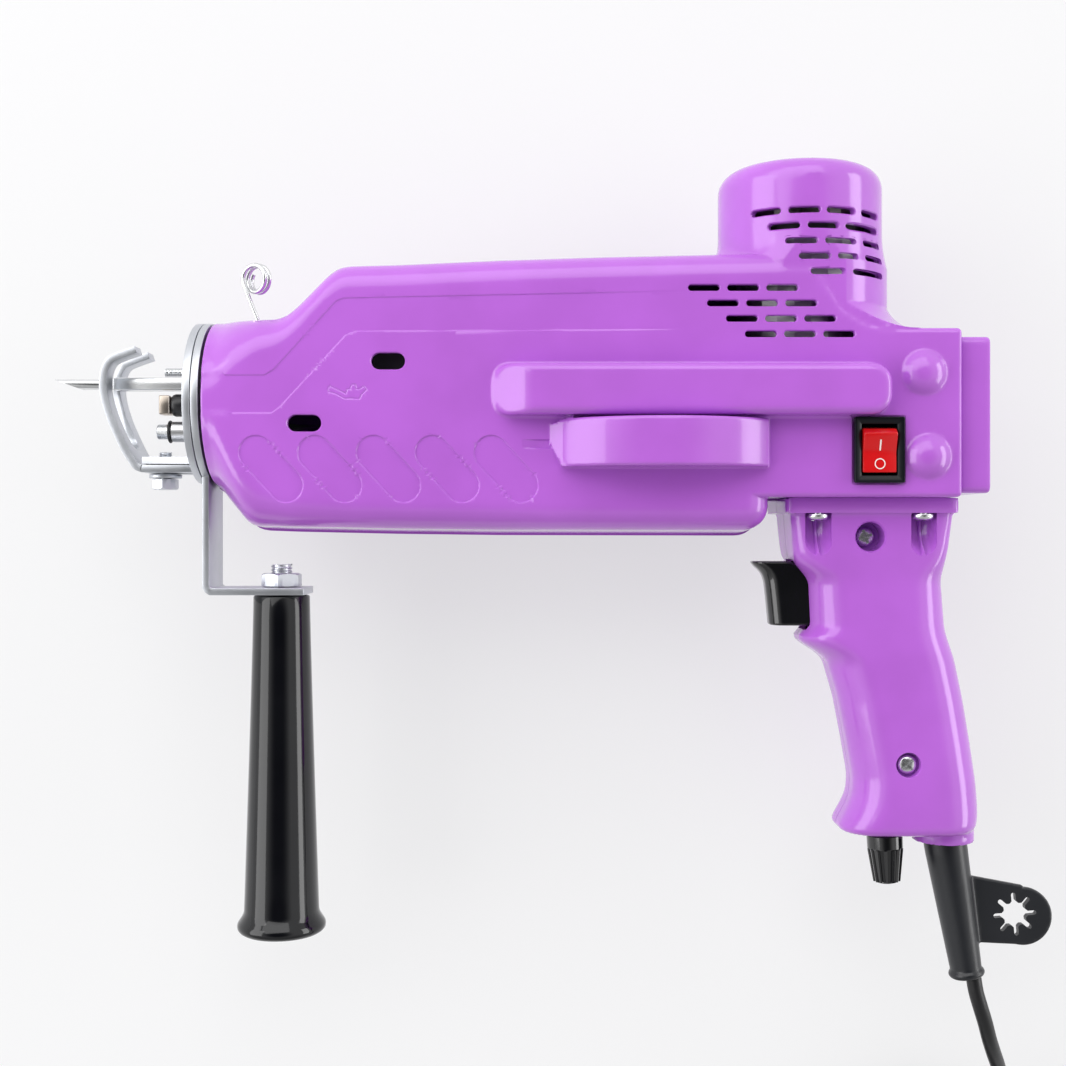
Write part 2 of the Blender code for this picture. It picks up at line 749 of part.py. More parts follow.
def housing_half(name, side, outside, inside):
    """One moulded half: a slab cut to the outside form, hollowed, with its posts and openings."""
    near = side > 0
    heights = sorted((side * GAP / 2, side * (REST_HEIGHT + OVERRUN)))
    half = box(
        name,
        (NOSE_FRONT_X - OVERRUN, BODY_BOTTOM_Y - OVERRUN, heights[0]),
        (TAIL_X + OVERRUN, TOWER_TOP_Y + OVERRUN, heights[1]),
    )
    combine(half, outside, "INTERSECT")
    cut(half, inside)
    post_end = side * (HALF_WIDTH - WALL / 2)
    for label, x, y in HOUSING_SCREW_PLACES:
        post = rod(
            f"{name}_post_{label}", (x, y, side * GAP / 2), (x, y, post_end), POST_RADIUS, sides=12
        )
        join(half, post)
        if near:
            hole = rod(
                f"{name}_hole_{label}",
                (x, y, -OVERRUN),
                (x, y, HALF_WIDTH - 2 * WALL),
                SCREW_HOLE_RADIUS,
                sides=10,
            )
            cut(half, hole)
        else:
            hole = rod(
                f"{name}_hole_{label}",
                (x, y, OVERRUN),
                (x, y, -REST_HEIGHT),
                SCREW_HOLE_RADIUS,
                sides=10,
            )
            recess = rod(
                f"{name}_recess_{label}",
                (x, y, -HALF_WIDTH - OVERRUN),
                (x, y, -HALF_WIDTH + HOUSING_SCREW_DEPTH),
                SMALL_HEAD_RADIUS + RUNNING_GAP,
                sides=12,
            )
            cut(half, hole, recess)
    for label, x in (("front", FLANGE_SCREW_FRONT_X), ("rear", FLANGE_SCREW_REAR_X)):
        z = side * FLANGE_SCREW_Z
        cut(
            half,
            rod(
                f"{name}_flange_hole_{label}",
                (x, REAR_BOTTOM_Y - OVERRUN, z),
                (x, REAR_BOTTOM_Y + WALL + OVERRUN, z),
                SCREW_HOLE_RADIUS,
                sides=10,
            ),
        )
    wire_x = (FLANGE_SCREW_FRONT_X + FLANGE_SCREW_REAR_X) / 2
    cut(
        half,
        box(
            f"{name}_wire_hole",
            (wire_x - WIRE_HOLE_HALF_LENGTH, REAR_BOTTOM_Y - OVERRUN, -WIRE_HOLE_HALF_WIDTH),
            (wire_x + WIRE_HOLE_HALF_LENGTH, REAR_BOTTOM_Y + WALL + OVERRUN, WIRE_HOLE_HALF_WIDTH),
        ),
    )
    return paint(half, PURPLE)


def make_housing():
    outside = housing_form("outside", 0)
    inside = housing_form("inside", WALL)
    near = housing_half("housing_near", 1, outside, inside)
    for label, (x, y) in (("upper", DOME_UPPER), ("lower", DOME_LOWER)):
        base = HALF_WIDTH - WALL / 2
        profile = [(0, DOME_HEIGHT + WALL / 2)]
        for turn in (65, 40, 15):
            angle = math.radians(turn)
            profile.append(
                (DOME_RADIUS * math.cos(angle), DOME_HEIGHT * math.sin(angle) + WALL / 2)
            )
        profile += [(DOME_RADIUS, WALL / 2), (DOME_RADIUS, 0), (0, 0)]
        join(near, turned(f"dome_{label}", profile, (x, y, base), Z_AXIS, steps=16))
    cut(near, *vent_cutters())
    cut(near, oil_slot_cutter("oil_slot_upper", OIL_SLOT_UPPER))
    cut(near, oil_slot_cutter("oil_slot_lower", OIL_SLOT_LOWER))
    body_half_length = SWITCH_HALF_LENGTH - SWITCH_BODY_MARGIN + GAP
    body_half_width = SWITCH_HALF_WIDTH - SWITCH_BODY_MARGIN + GAP
    cut(
        near,
        box(
            "switch_cutout",
            (SWITCH_X - body_half_width, SWITCH_Y - body_half_length, HALF_WIDTH - 2 * WALL),
            (SWITCH_X + body_half_width, SWITCH_Y + body_half_length, HALF_WIDTH + OVERRUN),
        ),
    )
    eye_hole = rod(
        "eye_hole",
        (EYE_STEM_X, NOSE_Y, 0),
        (EYE_STEM_X, NOSE_Y + NOSE_RADIUS + OVERRUN, 0),
        EYE_WIRE_RADIUS + GAP,
        sides=10,
    )
    cut(near, eye_hole)
    far = housing_half("housing_far", -1, outside, inside)
    cut(far, eye_hole)
    screw_base = -HALF_WIDTH + HOUSING_SCREW_DEPTH - GAP
    for label, x, y in HOUSING_SCREW_PLACES:
        pan_screw(
            f"housing_screw_{label}",
            (x, y, screw_base),
            -Z_AXIS,
            SMALL_HEAD_RADIUS,
            HALF_WIDTH + HOUSING_SCREW_DEPTH,
        )


def make_rear_cover():
    """A shallow box that caps the tail."""
    low_x = TAIL_X + GAP
    high_x = low_x + COVER_LENGTH
    rings = []
    for x, draw in ((low_x, 0), (high_x - COVER_EDGE, 0), (high_x, COVER_EDGE)):
        ring = rounded_rectangle(
            COVER_BOTTOM_Y + draw,
            COVER_TOP_Y - draw,
            -COVER_HALF_WIDTH + draw,
            COVER_HALF_WIDTH - draw,
            2 * COVER_EDGE,
            steps=2,
        )
        rings.append([Vector((x, y, z)) for y, z in ring])
    cover = paint(loft("rear_cover", rings), PURPLE)
    cut(
        cover,
        box(
            "cover_hollow",
            (low_x - OVERRUN, COVER_BOTTOM_Y + WALL, -COVER_HALF_WIDTH + WALL),
            (high_x - WALL, COVER_TOP_Y - WALL, COVER_HALF_WIDTH - WALL),
        ),
    )


# Yarn eye
EYE_WIRE_RADIUS = 0.00075
EYE_RADIUS = 0.0043
EYE_CENTRE_X = -0.1306
EYE_CENTRE_Y = 0.0384
EYE_STEM_X = -0.1302
EYE_PITCH = 0.0021
EYE_TURNS = 2.15
EYE_POINTS_PER_TURN = 24


def make_yarn_eye():
    """A stem out of the nose that runs into a coil of two turns."""
    nose_top = NOSE_Y + NOSE_RADIUS
    points = [
        (EYE_STEM_X, nose_top - WALL - OVERRUN, 0),
        (EYE_STEM_X, nose_top + EYE_WIRE_RADIUS, 0),
    ]
    total = round(EYE_TURNS * EYE_POINTS_PER_TURN)
    start = math.radians(200)
    entry_x = EYE_CENTRE_X + EYE_RADIUS * math.cos(start)
    entry_y = EYE_CENTRE_Y + EYE_RADIUS * math.sin(start)
    side = EYE_PITCH * EYE_TURNS / 2
    for step in (0.35, 0.7):
        points.append(
            (
                EYE_STEM_X + (entry_x - EYE_STEM_X) * step,
                nose_top + (entry_y - nose_top) * step,
                -side * step,
            )
        )
    coil = []
    for i in range(total + 1):
        turn = start - math.tau * i / EYE_POINTS_PER_TURN
        coil.append(
            (
                EYE_CENTRE_X + EYE_RADIUS * math.cos(turn),
                EYE_CENTRE_Y + EYE_RADIUS * math.sin(turn),
                -side + EYE_PITCH * i / EYE_POINTS_PER_TURN,
            )
        )
    report_gap("yarn_eye", coil, EYE_POINTS_PER_TURN, EYE_WIRE_RADIUS)
    eye = tube("yarn_eye", points + coil, EYE_WIRE_RADIUS, 1)
    paint(eye, BRIGHT_STEEL)


def report_gap(name, points, per_turn, radius):
    """Prints the least gap between the turns of a winding, measured on its points."""
    line = [Vector(point) for point in points]
    least = min(
        (line[i] - line[j]).length
        for i in range(len(line))
        for j in range(i + per_turn // 2, len(line))
    )
    print(f"{name}: least gap to itself {1000 * (least - 2 * radius):.2f} mm")


# Nose guide block, and where the plates lie in front of it
BRACKET_REAR_X = NOSE_FRONT_X - GAP
BRACKET_FRONT_X = BRACKET_REAR_X - PLATE_THICKNESS
PLATE_REAR_X = BRACKET_FRONT_X - GAP
PLATE_FRONT_X = PLATE_REAR_X - PLATE_THICKNESS
NOSE_BLOCK_REAR_X = -0.124
NOSE_BLOCK_RADIUS = 0.0215
PLATE_STUD_Y = 0.0086
PLATE_STUD_Z = -0.0072
PLATE_STUD_RADIUS = 0.0015
PLATE_STUD_FRONT_X = -0.1624
PLATE_STUD_REAR_X = -0.136
STOP_Y = -0.0029
STOP_RADIUS = 0.0037
STOP_FRONT_X = -0.1582
STOP_NUT_HALF_SIDE = 0.0031
STOP_NUT_THICKNESS = 0.0035


def guide_holes(prefix, low_x, high_x):
    """Cutters through a plate or the nose block, for the rods, the needle bar and the stud."""
    bar_low = NEEDLE_Y - BAR_HEIGHT / 2 - RUNNING_GAP
    bar_high = NEEDLE_Y + BAR_HEIGHT / 2 + RUNNING_GAP
    bar_half = BAR_HALF_WIDTH + RUNNING_GAP
    start = low_x - OVERRUN
    end = high_x + OVERRUN
    tools = [
        box(f"{prefix}_bar_hole", (start, bar_low, -bar_half), (end, bar_high, bar_half)),
        rod(
            f"{prefix}_stud_hole",
            (start, PLATE_STUD_Y, PLATE_STUD_Z),
            (end, PLATE_STUD_Y, PLATE_STUD_Z),
            PLATE_STUD_RADIUS + GAP,
            sides=12,
        ),
        rod(
            f"{prefix}_lower_rod_hole",
            (start, LOWER_ROD_Y, 0),
            (end, LOWER_ROD_Y, 0),
            ROD_RADIUS + GAP,
            sides=16,
        ),
    ]
    return tools


def make_nose():
    """The block inside the nose, the two plates in front of it and the small parts on them."""
    block = rod(
        "nose_guide_block",
        (NOSE_FRONT_X, NOSE_Y, 0),
        (NOSE_BLOCK_REAR_X, NOSE_Y, 0),
        NOSE_BLOCK_RADIUS,
        sides=28,
    )
    cut(block, *guide_holes("block", NOSE_FRONT_X, NOSE_BLOCK_REAR_X))
    cut(
        block,
        rod(
            "block_upper_rod_hole",
            (NOSE_FRONT_X - OVERRUN, UPPER_ROD_Y, 0),
            (NOSE_BLOCK_REAR_X + OVERRUN, UPPER_ROD_Y, 0),
            ROD_RADIUS + GAP,
            sides=16,
        ),
    )
    paint(block, CAST_METAL)

    bracket = rod(
        "handle_bracket",
        (BRACKET_FRONT_X, NOSE_Y, 0),
        (BRACKET_REAR_X, NOSE_Y, 0),
        FRONT_RADIUS,
        sides=40,
    )
    bend_y = STRAP_BOTTOM_Y
    outline = strip(
        (
            (BRACKET_FRONT_X, NOSE_Y - FRONT_RADIUS / 2),
            (BRACKET_FRONT_X, bend_y + PLATE_THICKNESS),
            (BRACKET_FRONT_X + PLATE_THICKNESS * 0.4, bend_y + PLATE_THICKNESS * 0.4),
            (BRACKET_FRONT_X + PLATE_THICKNESS, bend_y),
            (STRAP_LEG_END_X, bend_y),
        ),
        PLATE_THICKNESS,
    )
    join(bracket, plate("bracket_strap", [outline], 2 * STRAP_HALF_WIDTH, (0, 0, 0)))
    cut(bracket, *guide_holes("bracket", BRACKET_FRONT_X, BRACKET_REAR_X))
    cut(
        bracket,
        rod(
            "bracket_handle_hole",
            (HANDLE_X, STRAP_BOTTOM_Y - OVERRUN, 0),
            (HANDLE_X, STRAP_BOTTOM_Y + PLATE_THICKNESS + OVERRUN, 0),
            STUD_RADIUS + GAP,
            sides=16,
        ),
    )
    paint(bracket, ZINC)

    front = rod(
        "front_plate",
        (PLATE_FRONT_X, NOSE_Y, 0),
        (PLATE_REAR_X, NOSE_Y, 0),
        FRONT_RADIUS,
        sides=40,
    )
    tab = box(
        "front_plate_tab",
        (PLATE_FRONT_X - FOOT_TAB_LENGTH, FOOT_BOTTOM_Y + PLATE_THICKNESS + GAP, -FOOT_HALF_WIDTH),
        (PLATE_REAR_X - GAP, FOOT_BOTTOM_Y + 2 * PLATE_THICKNESS + GAP, FOOT_HALF_WIDTH),
    )
    join(front, tab)
    cut(front, *guide_holes("front", PLATE_FRONT_X, PLATE_REAR_X))
    cut(
        front,
        rod(
            "tab_bolt_hole",
            (BOLT_X, FOOT_BOTTOM_Y, 0),
            (BOLT_X, FOOT_BOTTOM_Y + 3 * PLATE_THICKNESS, 0),
            BOLT_RADIUS + GAP,
            sides=16,
        ),
    )
    paint(front, ZINC)

    paint(
        rod(
            "plate_stud",
            (PLATE_STUD_FRONT_X, PLATE_STUD_Y, PLATE_STUD_Z),
            (PLATE_STUD_REAR_X, PLATE_STUD_Y, PLATE_STUD_Z),
            PLATE_STUD_RADIUS,
            sides=12,
        ),
        BRIGHT_STEEL,
    )
    nut_width = 2 * PLATE_STUD_RADIUS
    nut = rod(
        "plate_nut",
        (PLATE_FRONT_X - GAP - nut_width, PLATE_STUD_Y, PLATE_STUD_Z),
        (PLATE_FRONT_X - GAP, PLATE_STUD_Y, PLATE_STUD_Z),
        nut_width,
        sides=6,
    )
    cut(
        nut,
        rod(
            "plate_nut_bore",
            (PLATE_STUD_FRONT_X, PLATE_STUD_Y, PLATE_STUD_Z),
            (PLATE_STUD_REAR_X, PLATE_STUD_Y, PLATE_STUD_Z),
            PLATE_STUD_RADIUS + GAP,
            sides=12,
        ),
    )
    paint(nut, BRIGHT_STEEL)

    washer_length = PLATE_FRONT_X - GAP - STOP_FRONT_X
    paint(
        turned(
            "stop_washer",
            ((0, 0), (STOP_RADIUS, 0), (STOP_RADIUS, -washer_length), (0, -washer_length)),
            (STOP_FRONT_X, STOP_Y, 0),
            -X_AXIS,
            steps=20,
        ),
        SATIN_BLACK,
    )
    paint(
        box(
            "stop_nut",
            (STOP_FRONT_X - GAP - STOP_NUT_THICKNESS, STOP_Y - STOP_NUT_HALF_SIDE, -STOP_NUT_HALF_SIDE),
            (STOP_FRONT_X - GAP, STOP_Y + STOP_NUT_HALF_SIDE, STOP_NUT_HALF_SIDE),
        ),
        BRONZE,
    )


def make_handle():
    """The side handle hangs from the bracket's leg on a stud with a nut."""
    top_y = STRAP_BOTTOM_Y - GAP
    bore = STUD_RADIUS + GAP
    bore_depth = HANDLE_LENGTH / 3
    length = HANDLE_LENGTH
    flare_start = 0.945 * length
    profile = (
        (bore, 0),
        (HANDLE_TOP_RADIUS - NOSE_EDGE / 2, 0),
        (HANDLE_TOP_RADIUS, -NOSE_EDGE / 2),
        ((HANDLE_TOP_RADIUS + HANDLE_LOW_RADIUS) / 2, -flare_start / 2),
        (HANDLE_LOW_RADIUS, -flare_start),
        (HANDLE_FOOT_RADIUS, -0.975 * length),
        (HANDLE_FOOT_RADIUS, -0.99 * length),
        (HANDLE_LOW_RADIUS, -length),
        (0, -length),
        (0, -bore_depth),
        (bore, -bore_depth),
    )
    handle = turned("side_handle", profile, (HANDLE_X, top_y, 0), Y_AXIS, steps=28, closed=True)
    paint(handle, GLOSS_BLACK)
    leg_top = STRAP_BOTTOM_Y + PLATE_THICKNESS
    paint(
        rod(
            "handle_stud",
            (HANDLE_X, leg_top + NUT_HEIGHT + STUD_RADIUS, 0),
            (HANDLE_X, top_y - bore_depth + GAP, 0),
            STUD_RADIUS,
            sides=16,
        ),
        ZINC,
    )
    nut = rod(
        "handle_nut",
        (HANDLE_X, leg_top + GAP, 0),
        (HANDLE_X, leg_top + GAP + NUT_HEIGHT, 0),
        NUT_RADIUS,
        sides=6,
    )
    cut(
        nut,
        rod(
            "handle_nut_bore",
            (HANDLE_X, leg_top - OVERRUN, 0),
            (HANDLE_X, leg_top + 2 * NUT_HEIGHT, 0),
            STUD_RADIUS + GAP,
            sides=16,
        ),
    )
    paint(nut, ZINC)


# The small parts of the foot's clamp
FOOT_WASHER_RADIUS = 0.00525
FOOT_WASHER_THICKNESS = 0.0013
BOLT_HEAD_RADIUS = 0.0043
BOLT_HEAD_HEIGHT = 0.0034
FOOT_SLOT_BOTTOM_SHARE = 0.30


def make_presser_foot():
    """A bent strip: the leg lies under the tab, and two prongs curve up round the needle."""
    end_x = PLATE_FRONT_X - GAP
    leg = ((end_x, FOOT_BOTTOM_Y), (FOOT_BEND_X, FOOT_BOTTOM_Y))
    bow = tuple(
        (FOOT_BEND_X - FOOT_BOW * across, FOOT_BOTTOM_Y + FOOT_RISE * up)
        for across, up in FOOT_OUTLINE_SHARES
    )
    outline = strip(tuple(reversed(leg + bow)), PLATE_THICKNESS)
    foot = plate("presser_foot", [outline], 2 * FOOT_HALF_WIDTH, (0, 0, 0))
    slot_bottom = FOOT_BOTTOM_Y + FOOT_RISE * FOOT_SLOT_BOTTOM_SHARE
    cut(
        foot,
        box(
            "foot_slot",
            (FOOT_BEND_X - 2 * FOOT_BOW, slot_bottom, -FOOT_SLOT_HALF_WIDTH),
            (FOOT_BEND_X + FOOT_BOW, FOOT_BOTTOM_Y + FOOT_RISE + OVERRUN, FOOT_SLOT_HALF_WIDTH),
        ),
        rod(
            "foot_slot_end",
            (FOOT_BEND_X - 2 * FOOT_BOW, slot_bottom, 0),
            (FOOT_BEND_X + FOOT_BOW, slot_bottom, 0),
            FOOT_SLOT_HALF_WIDTH,
            sides=16,
        ),
        box(
            "foot_bolt_slot",
            (BOLT_X - BOLT_RADIUS - RUNNING_GAP, FOOT_BOTTOM_Y - OVERRUN, -BOLT_RADIUS - RUNNING_GAP),
            (
                BOLT_X + FOOT_ADJUSTMENT + BOLT_RADIUS + RUNNING_GAP,
                FOOT_BOTTOM_Y + 2 * PLATE_THICKNESS,
                BOLT_RADIUS + RUNNING_GAP,
            ),
        ),
    )
    paint(foot, ZINC)
    washer_top = FOOT_BOTTOM_Y - GAP
    washer_bottom = washer_top - FOOT_WASHER_THICKNESS
    bore = BOLT_RADIUS + GAP
    profile = (
        (bore, 0),
        (FOOT_WASHER_RADIUS, 0),
        (FOOT_WASHER_RADIUS, -FOOT_WASHER_THICKNESS),
        (bore, -FOOT_WASHER_THICKNESS),
    )
    paint(
        turned("foot_washer", profile, (BOLT_X, washer_top, 0), Y_AXIS, steps=20, closed=True),
        ZINC,
    )
    head_top = washer_bottom - GAP
    bolt = rod(
        "foot_bolt",
        (BOLT_X, head_top - BOLT_HEAD_HEIGHT, 0),
        (BOLT_X, head_top, 0),
        BOLT_HEAD_RADIUS,
        sides=6,
    )
    shank = rod(
        "foot_bolt_shank",
        (BOLT_X, head_top - BOLT_HEAD_HEIGHT / 2, 0),
        (BOLT_X, BOLT_TOP_Y, 0),
        BOLT_RADIUS,
        sides=12,
    )
    join(bolt, shank)
    paint(bolt, ZINC)


# Where the slider stands at rest, with the needle fully out
WRIST_X = -STROKE_RADIUS - CONROD_LENGTH
SLIDER_FRONT_X = WRIST_X - SLIDER_FRONT_REACH
SLIDER_REAR_X = WRIST_X + SLIDER_REAR_REACH
SLIDER_WALL = 0.0035
WRIST_PIN_REACH = 0.0062


def make_needle_drive():
    """Needle, bar, slider and rods: the slider carries the needle along the two rods."""
    rings = []
    for radius, x in ((NEEDLE_RADIUS, BAR_FRONT_X - GAP), (NEEDLE_RADIUS, NEEDLE_TIP_X)):
        rings.append((radius, x))
    length = BAR_FRONT_X - GAP - NEEDLE_TIP_X
    profile = (
        (NEEDLE_BORE_RADIUS, 0),
        (NEEDLE_RADIUS, 0),
        (NEEDLE_RADIUS, -length),
        (NEEDLE_BORE_RADIUS, -length),
    )
    needle = turned(
        "needle", profile, (BAR_FRONT_X - GAP, NEEDLE_Y, 0), X_AXIS, steps=16, closed=True
    )
    tip_y = NEEDLE_Y + NEEDLE_RADIUS
    wedge = plate(
        "needle_slant",
        [
            (
                (NEEDLE_TIP_X - OVERRUN, tip_y - NEEDLE_RADIUS / 8),
                (NEEDLE_TIP_X - OVERRUN, tip_y - 3 * NEEDLE_RADIUS),
                (NEEDLE_TIP_X + NEEDLE_SLANT, tip_y - 3 * NEEDLE_RADIUS),
                (NEEDLE_TIP_X + NEEDLE_SLANT, tip_y - 2 * NEEDLE_RADIUS),
                (NEEDLE_TIP_X, tip_y - NEEDLE_RADIUS / 8),
            )
        ],
        4 * NEEDLE_RADIUS,
        (0, 0, 0),
    )
    cut(needle, wedge)
    paint(needle, BRIGHT_STEEL)

    bar = box(
        "needle_bar",
        (BAR_FRONT_X, NEEDLE_Y - BAR_HEIGHT / 2, -BAR_HALF_WIDTH),
        (SLIDER_FRONT_X - GAP, NEEDLE_Y + BAR_HEIGHT / 2, BAR_HALF_WIDTH),
    )
    paint(bar, BRIGHT_STEEL)

    slider = box(
        "slider_block",
        (SLIDER_FRONT_X, LOWER_ROD_Y - ROD_RADIUS - SLIDER_WALL, -SLIDER_HALF_WIDTH),
        (SLIDER_REAR_X, UPPER_ROD_Y + ROD_RADIUS + SLIDER_WALL, SLIDER_HALF_WIDTH),
    )
    slot_half = CONROD_THICKNESS / 2 + RUNNING_GAP
    cut(
        slider,
        box(
            "slider_slot",
            (WRIST_X - WRIST_EYE_RADIUS - RUNNING_GAP, -slot_half, -SLIDER_HALF_WIDTH - OVERRUN),
            (SLIDER_REAR_X + OVERRUN, slot_half, SLIDER_HALF_WIDTH + OVERRUN),
        ),
        rod(
            "slider_wrist_bore",
            (WRIST_X, -WRIST_PIN_REACH - GAP, 0),
            (WRIST_X, WRIST_PIN_REACH + GAP, 0),
            WRIST_RADIUS + GAP,
            sides=16,
        ),
    )
    for label, y in (("upper", UPPER_ROD_Y), ("lower", LOWER_ROD_Y)):
        cut(
            slider,
            rod(
                f"slider_{label}_bore",
                (SLIDER_FRONT_X - OVERRUN, y, 0),
                (SLIDER_REAR_X + OVERRUN, y, 0),
                ROD_RADIUS + GAP,
                sides=16,
            ),
        )
    paint(slider, CAST_METAL)
    paint(
        rod(
            "wrist_pin",
            (WRIST_X, -WRIST_PIN_REACH, 0),
            (WRIST_X, WRIST_PIN_REACH, 0),
            WRIST_RADIUS,
            sides=16,
        ),
        BRIGHT_STEEL,
    )
    paint(
        rod(
            "upper_guide_rod",
            (NOSE_FRONT_X, UPPER_ROD_Y, 0),
            (ROD_REAR_X, UPPER_ROD_Y, 0),
            ROD_RADIUS,
            sides=16,
        ),
        BRIGHT_STEEL,
    )
    paint(
        rod(
            "lower_guide_rod",
            (ROD_HEAD_X, LOWER_ROD_Y, 0),
            (ROD_REAR_X, LOWER_ROD_Y, 0),
            ROD_RADIUS,
            sides=16,
        ),
        BRIGHT_STEEL,
    )
    bore = ROD_RADIUS + GAP
    collar_front = STOP_FRONT_X
    collar_length = PLATE_FRONT_X - GAP - collar_front
    collar_radius = ROD_RADIUS + 0.35 * ROD_RADIUS
    paint(
        turned(
            "rod_collar",
            ((bore, 0), (collar_radius, 0), (collar_radius, -collar_length), (bore, -collar_length)),
            (collar_front, LOWER_ROD_Y, 0),
            -X_AXIS,
            steps=20,
            closed=True,
        ),
        BRIGHT_STEEL,
    )
    ring_thickness = 0.3 * ROD_RADIUS
    ring_radius = 1.5 * ROD_RADIUS
    paint(
        turned(
            "rod_ring",
            (
                (bore, 0),
                (ring_radius, 0),
                (ring_radius, -ring_thickness),
                (bore, -ring_thickness),
            ),
            (collar_front - GAP - ring_thickness, LOWER_ROD_Y, 0),
            -X_AXIS,
            steps=20,
            closed=True,
        ),
        SATIN_BLACK,
    )


def rod_outline(length, end_radius, far_radius, half_width):
    """Outline of a connecting rod from its eye at the origin to its eye at the length."""
    points = []
    neck = math.asin(half_width / end_radius)
    far_neck = math.asin(half_width / far_radius)
    for step in range(11):
        turn = neck + (math.tau - 2 * neck) * step / 10
        points.append((end_radius * math.cos(turn), end_radius * math.sin(turn)))
    for step in range(11):
        turn = math.pi + far_neck + (math.tau - 2 * far_neck) * step / 10
        points.append((length + far_radius * math.cos(turn), far_radius * math.sin(turn)))
    return points


def make_connecting_rod():
    """The rod runs from the wrist pin to the crank pin, which ends just clear of the gear."""
    outline = rod_outline(CONROD_LENGTH, WRIST_EYE_RADIUS, CRANK_EYE_RADIUS, CONROD_HALF_WIDTH)
    holes = [
        circle(WRIST_RADIUS + GAP, 16),
        circle(CRANK_PIN_RADIUS + GAP, 16, a=CONROD_LENGTH),
    ]
    beam = plate("connecting_rod", [outline] + holes, CONROD_THICKNESS, (WRIST_X, 0, 0), -Y_AXIS)
    paint(beam, CAST_METAL)
    head = CONROD_THICKNESS / 2 + GAP
    profile = (
        (0, head + CRANK_PIN_RADIUS / 2),
        (CRANK_EYE_RADIUS - GAP, head + CRANK_PIN_RADIUS / 2),
        (CRANK_EYE_RADIUS - GAP, head),
        (CRANK_PIN_RADIUS, head),
        (CRANK_PIN_RADIUS, GEAR_TOP_Y + GAP),
        (0, GEAR_TOP_Y + GAP),
    )
    paint(turned("crank_pin", profile, (-STROKE_RADIUS, 0, 0), Y_AXIS, steps=16), BRIGHT_STEEL)


def gear_outline(teeth, first_tooth):
    """Straight-flanked teeth about the pitch circle; the first tooth is centred at the given angle."""
    pitch = teeth * MODULE / 2
    lean = math.tan(math.radians(20))
    points = []
    for tooth in range(teeth):
        centre = first_tooth + math.tau * tooth / teeth
        for reach, side in ((-DEDENDUM, -1), (ADDENDUM, -1), (ADDENDUM, 1), (-DEDENDUM, 1)):
            radius = pitch + reach
            half_angle = (TOOTH_THICKNESS / 2 - reach * lean) / radius
            turn = centre + side * half_angle
            points.append((radius * math.cos(turn), radius * math.sin(turn)))
    return points


def make_gears():
    """The nylon gear carries the crank; its shaft turns in two bearings under it."""
    middle = (GEAR_TOP_Y + GEAR_BOTTOM_Y) / 2
    bore = CRANKSHAFT_RADIUS + GAP
    gear = plate(
        "drive_gear",
        [gear_outline(GEAR_TEETH, 0), circle(bore, 20)],
        GEAR_TOP_Y - GEAR_BOTTOM_Y,
        (0, middle, 0),
        -Y_AXIS,
    )
    hub_bottom = FRAME_TOP_Y + RUNNING_GAP
    hub_height = GEAR_BOTTOM_Y - hub_bottom
    profile = (
        (bore, OVERRUN),
        (HUB_RADIUS, OVERRUN),
        (HUB_RADIUS, -hub_height),
        (bore, -hub_height),
    )
    hub = turned("gear_hub", profile, (0, GEAR_BOTTOM_Y, 0), Y_AXIS, steps=20, closed=True)
    join(gear, hub)
    paint(gear, NYLON)
    paint(
        rod(
            "crankshaft",
            (0, BOSS_BOTTOM_Y + RUNNING_GAP, 0),
            (0, GEAR_TOP_Y, 0),
            CRANKSHAFT_RADIUS,
            sides=20,
        ),
        BRIGHT_STEEL,
    )
    lower_y = BOSS_BOTTOM_Y + BEARING_WIDTH + GAP
    upper_y = FRAME_TOP_Y
    for label, top in (("upper", upper_y), ("lower", lower_y)):
        profile = (
            (bore, 0),
            (BEARING_RADIUS, 0),
            (BEARING_RADIUS, -BEARING_WIDTH),
            (bore, -BEARING_WIDTH),
        )
        paint(
            turned(
                f"crank_bearing_{label}", profile, (0, top, 0), Y_AXIS, steps=20, closed=True
            ),
            BRONZE,
        )
    pinion = plate(
        "pinion",
        [
            gear_outline(PINION_TEETH, math.pi + math.pi / PINION_TEETH),
            circle(MOTOR_SHAFT_RADIUS + GAP, 16),
        ],
        GEAR_TOP_Y - GEAR_BOTTOM_Y - RUNNING_GAP,
        (TOWER_X, middle, 0),
        -Y_AXIS,
    )
    paint(pinion, BRONZE)


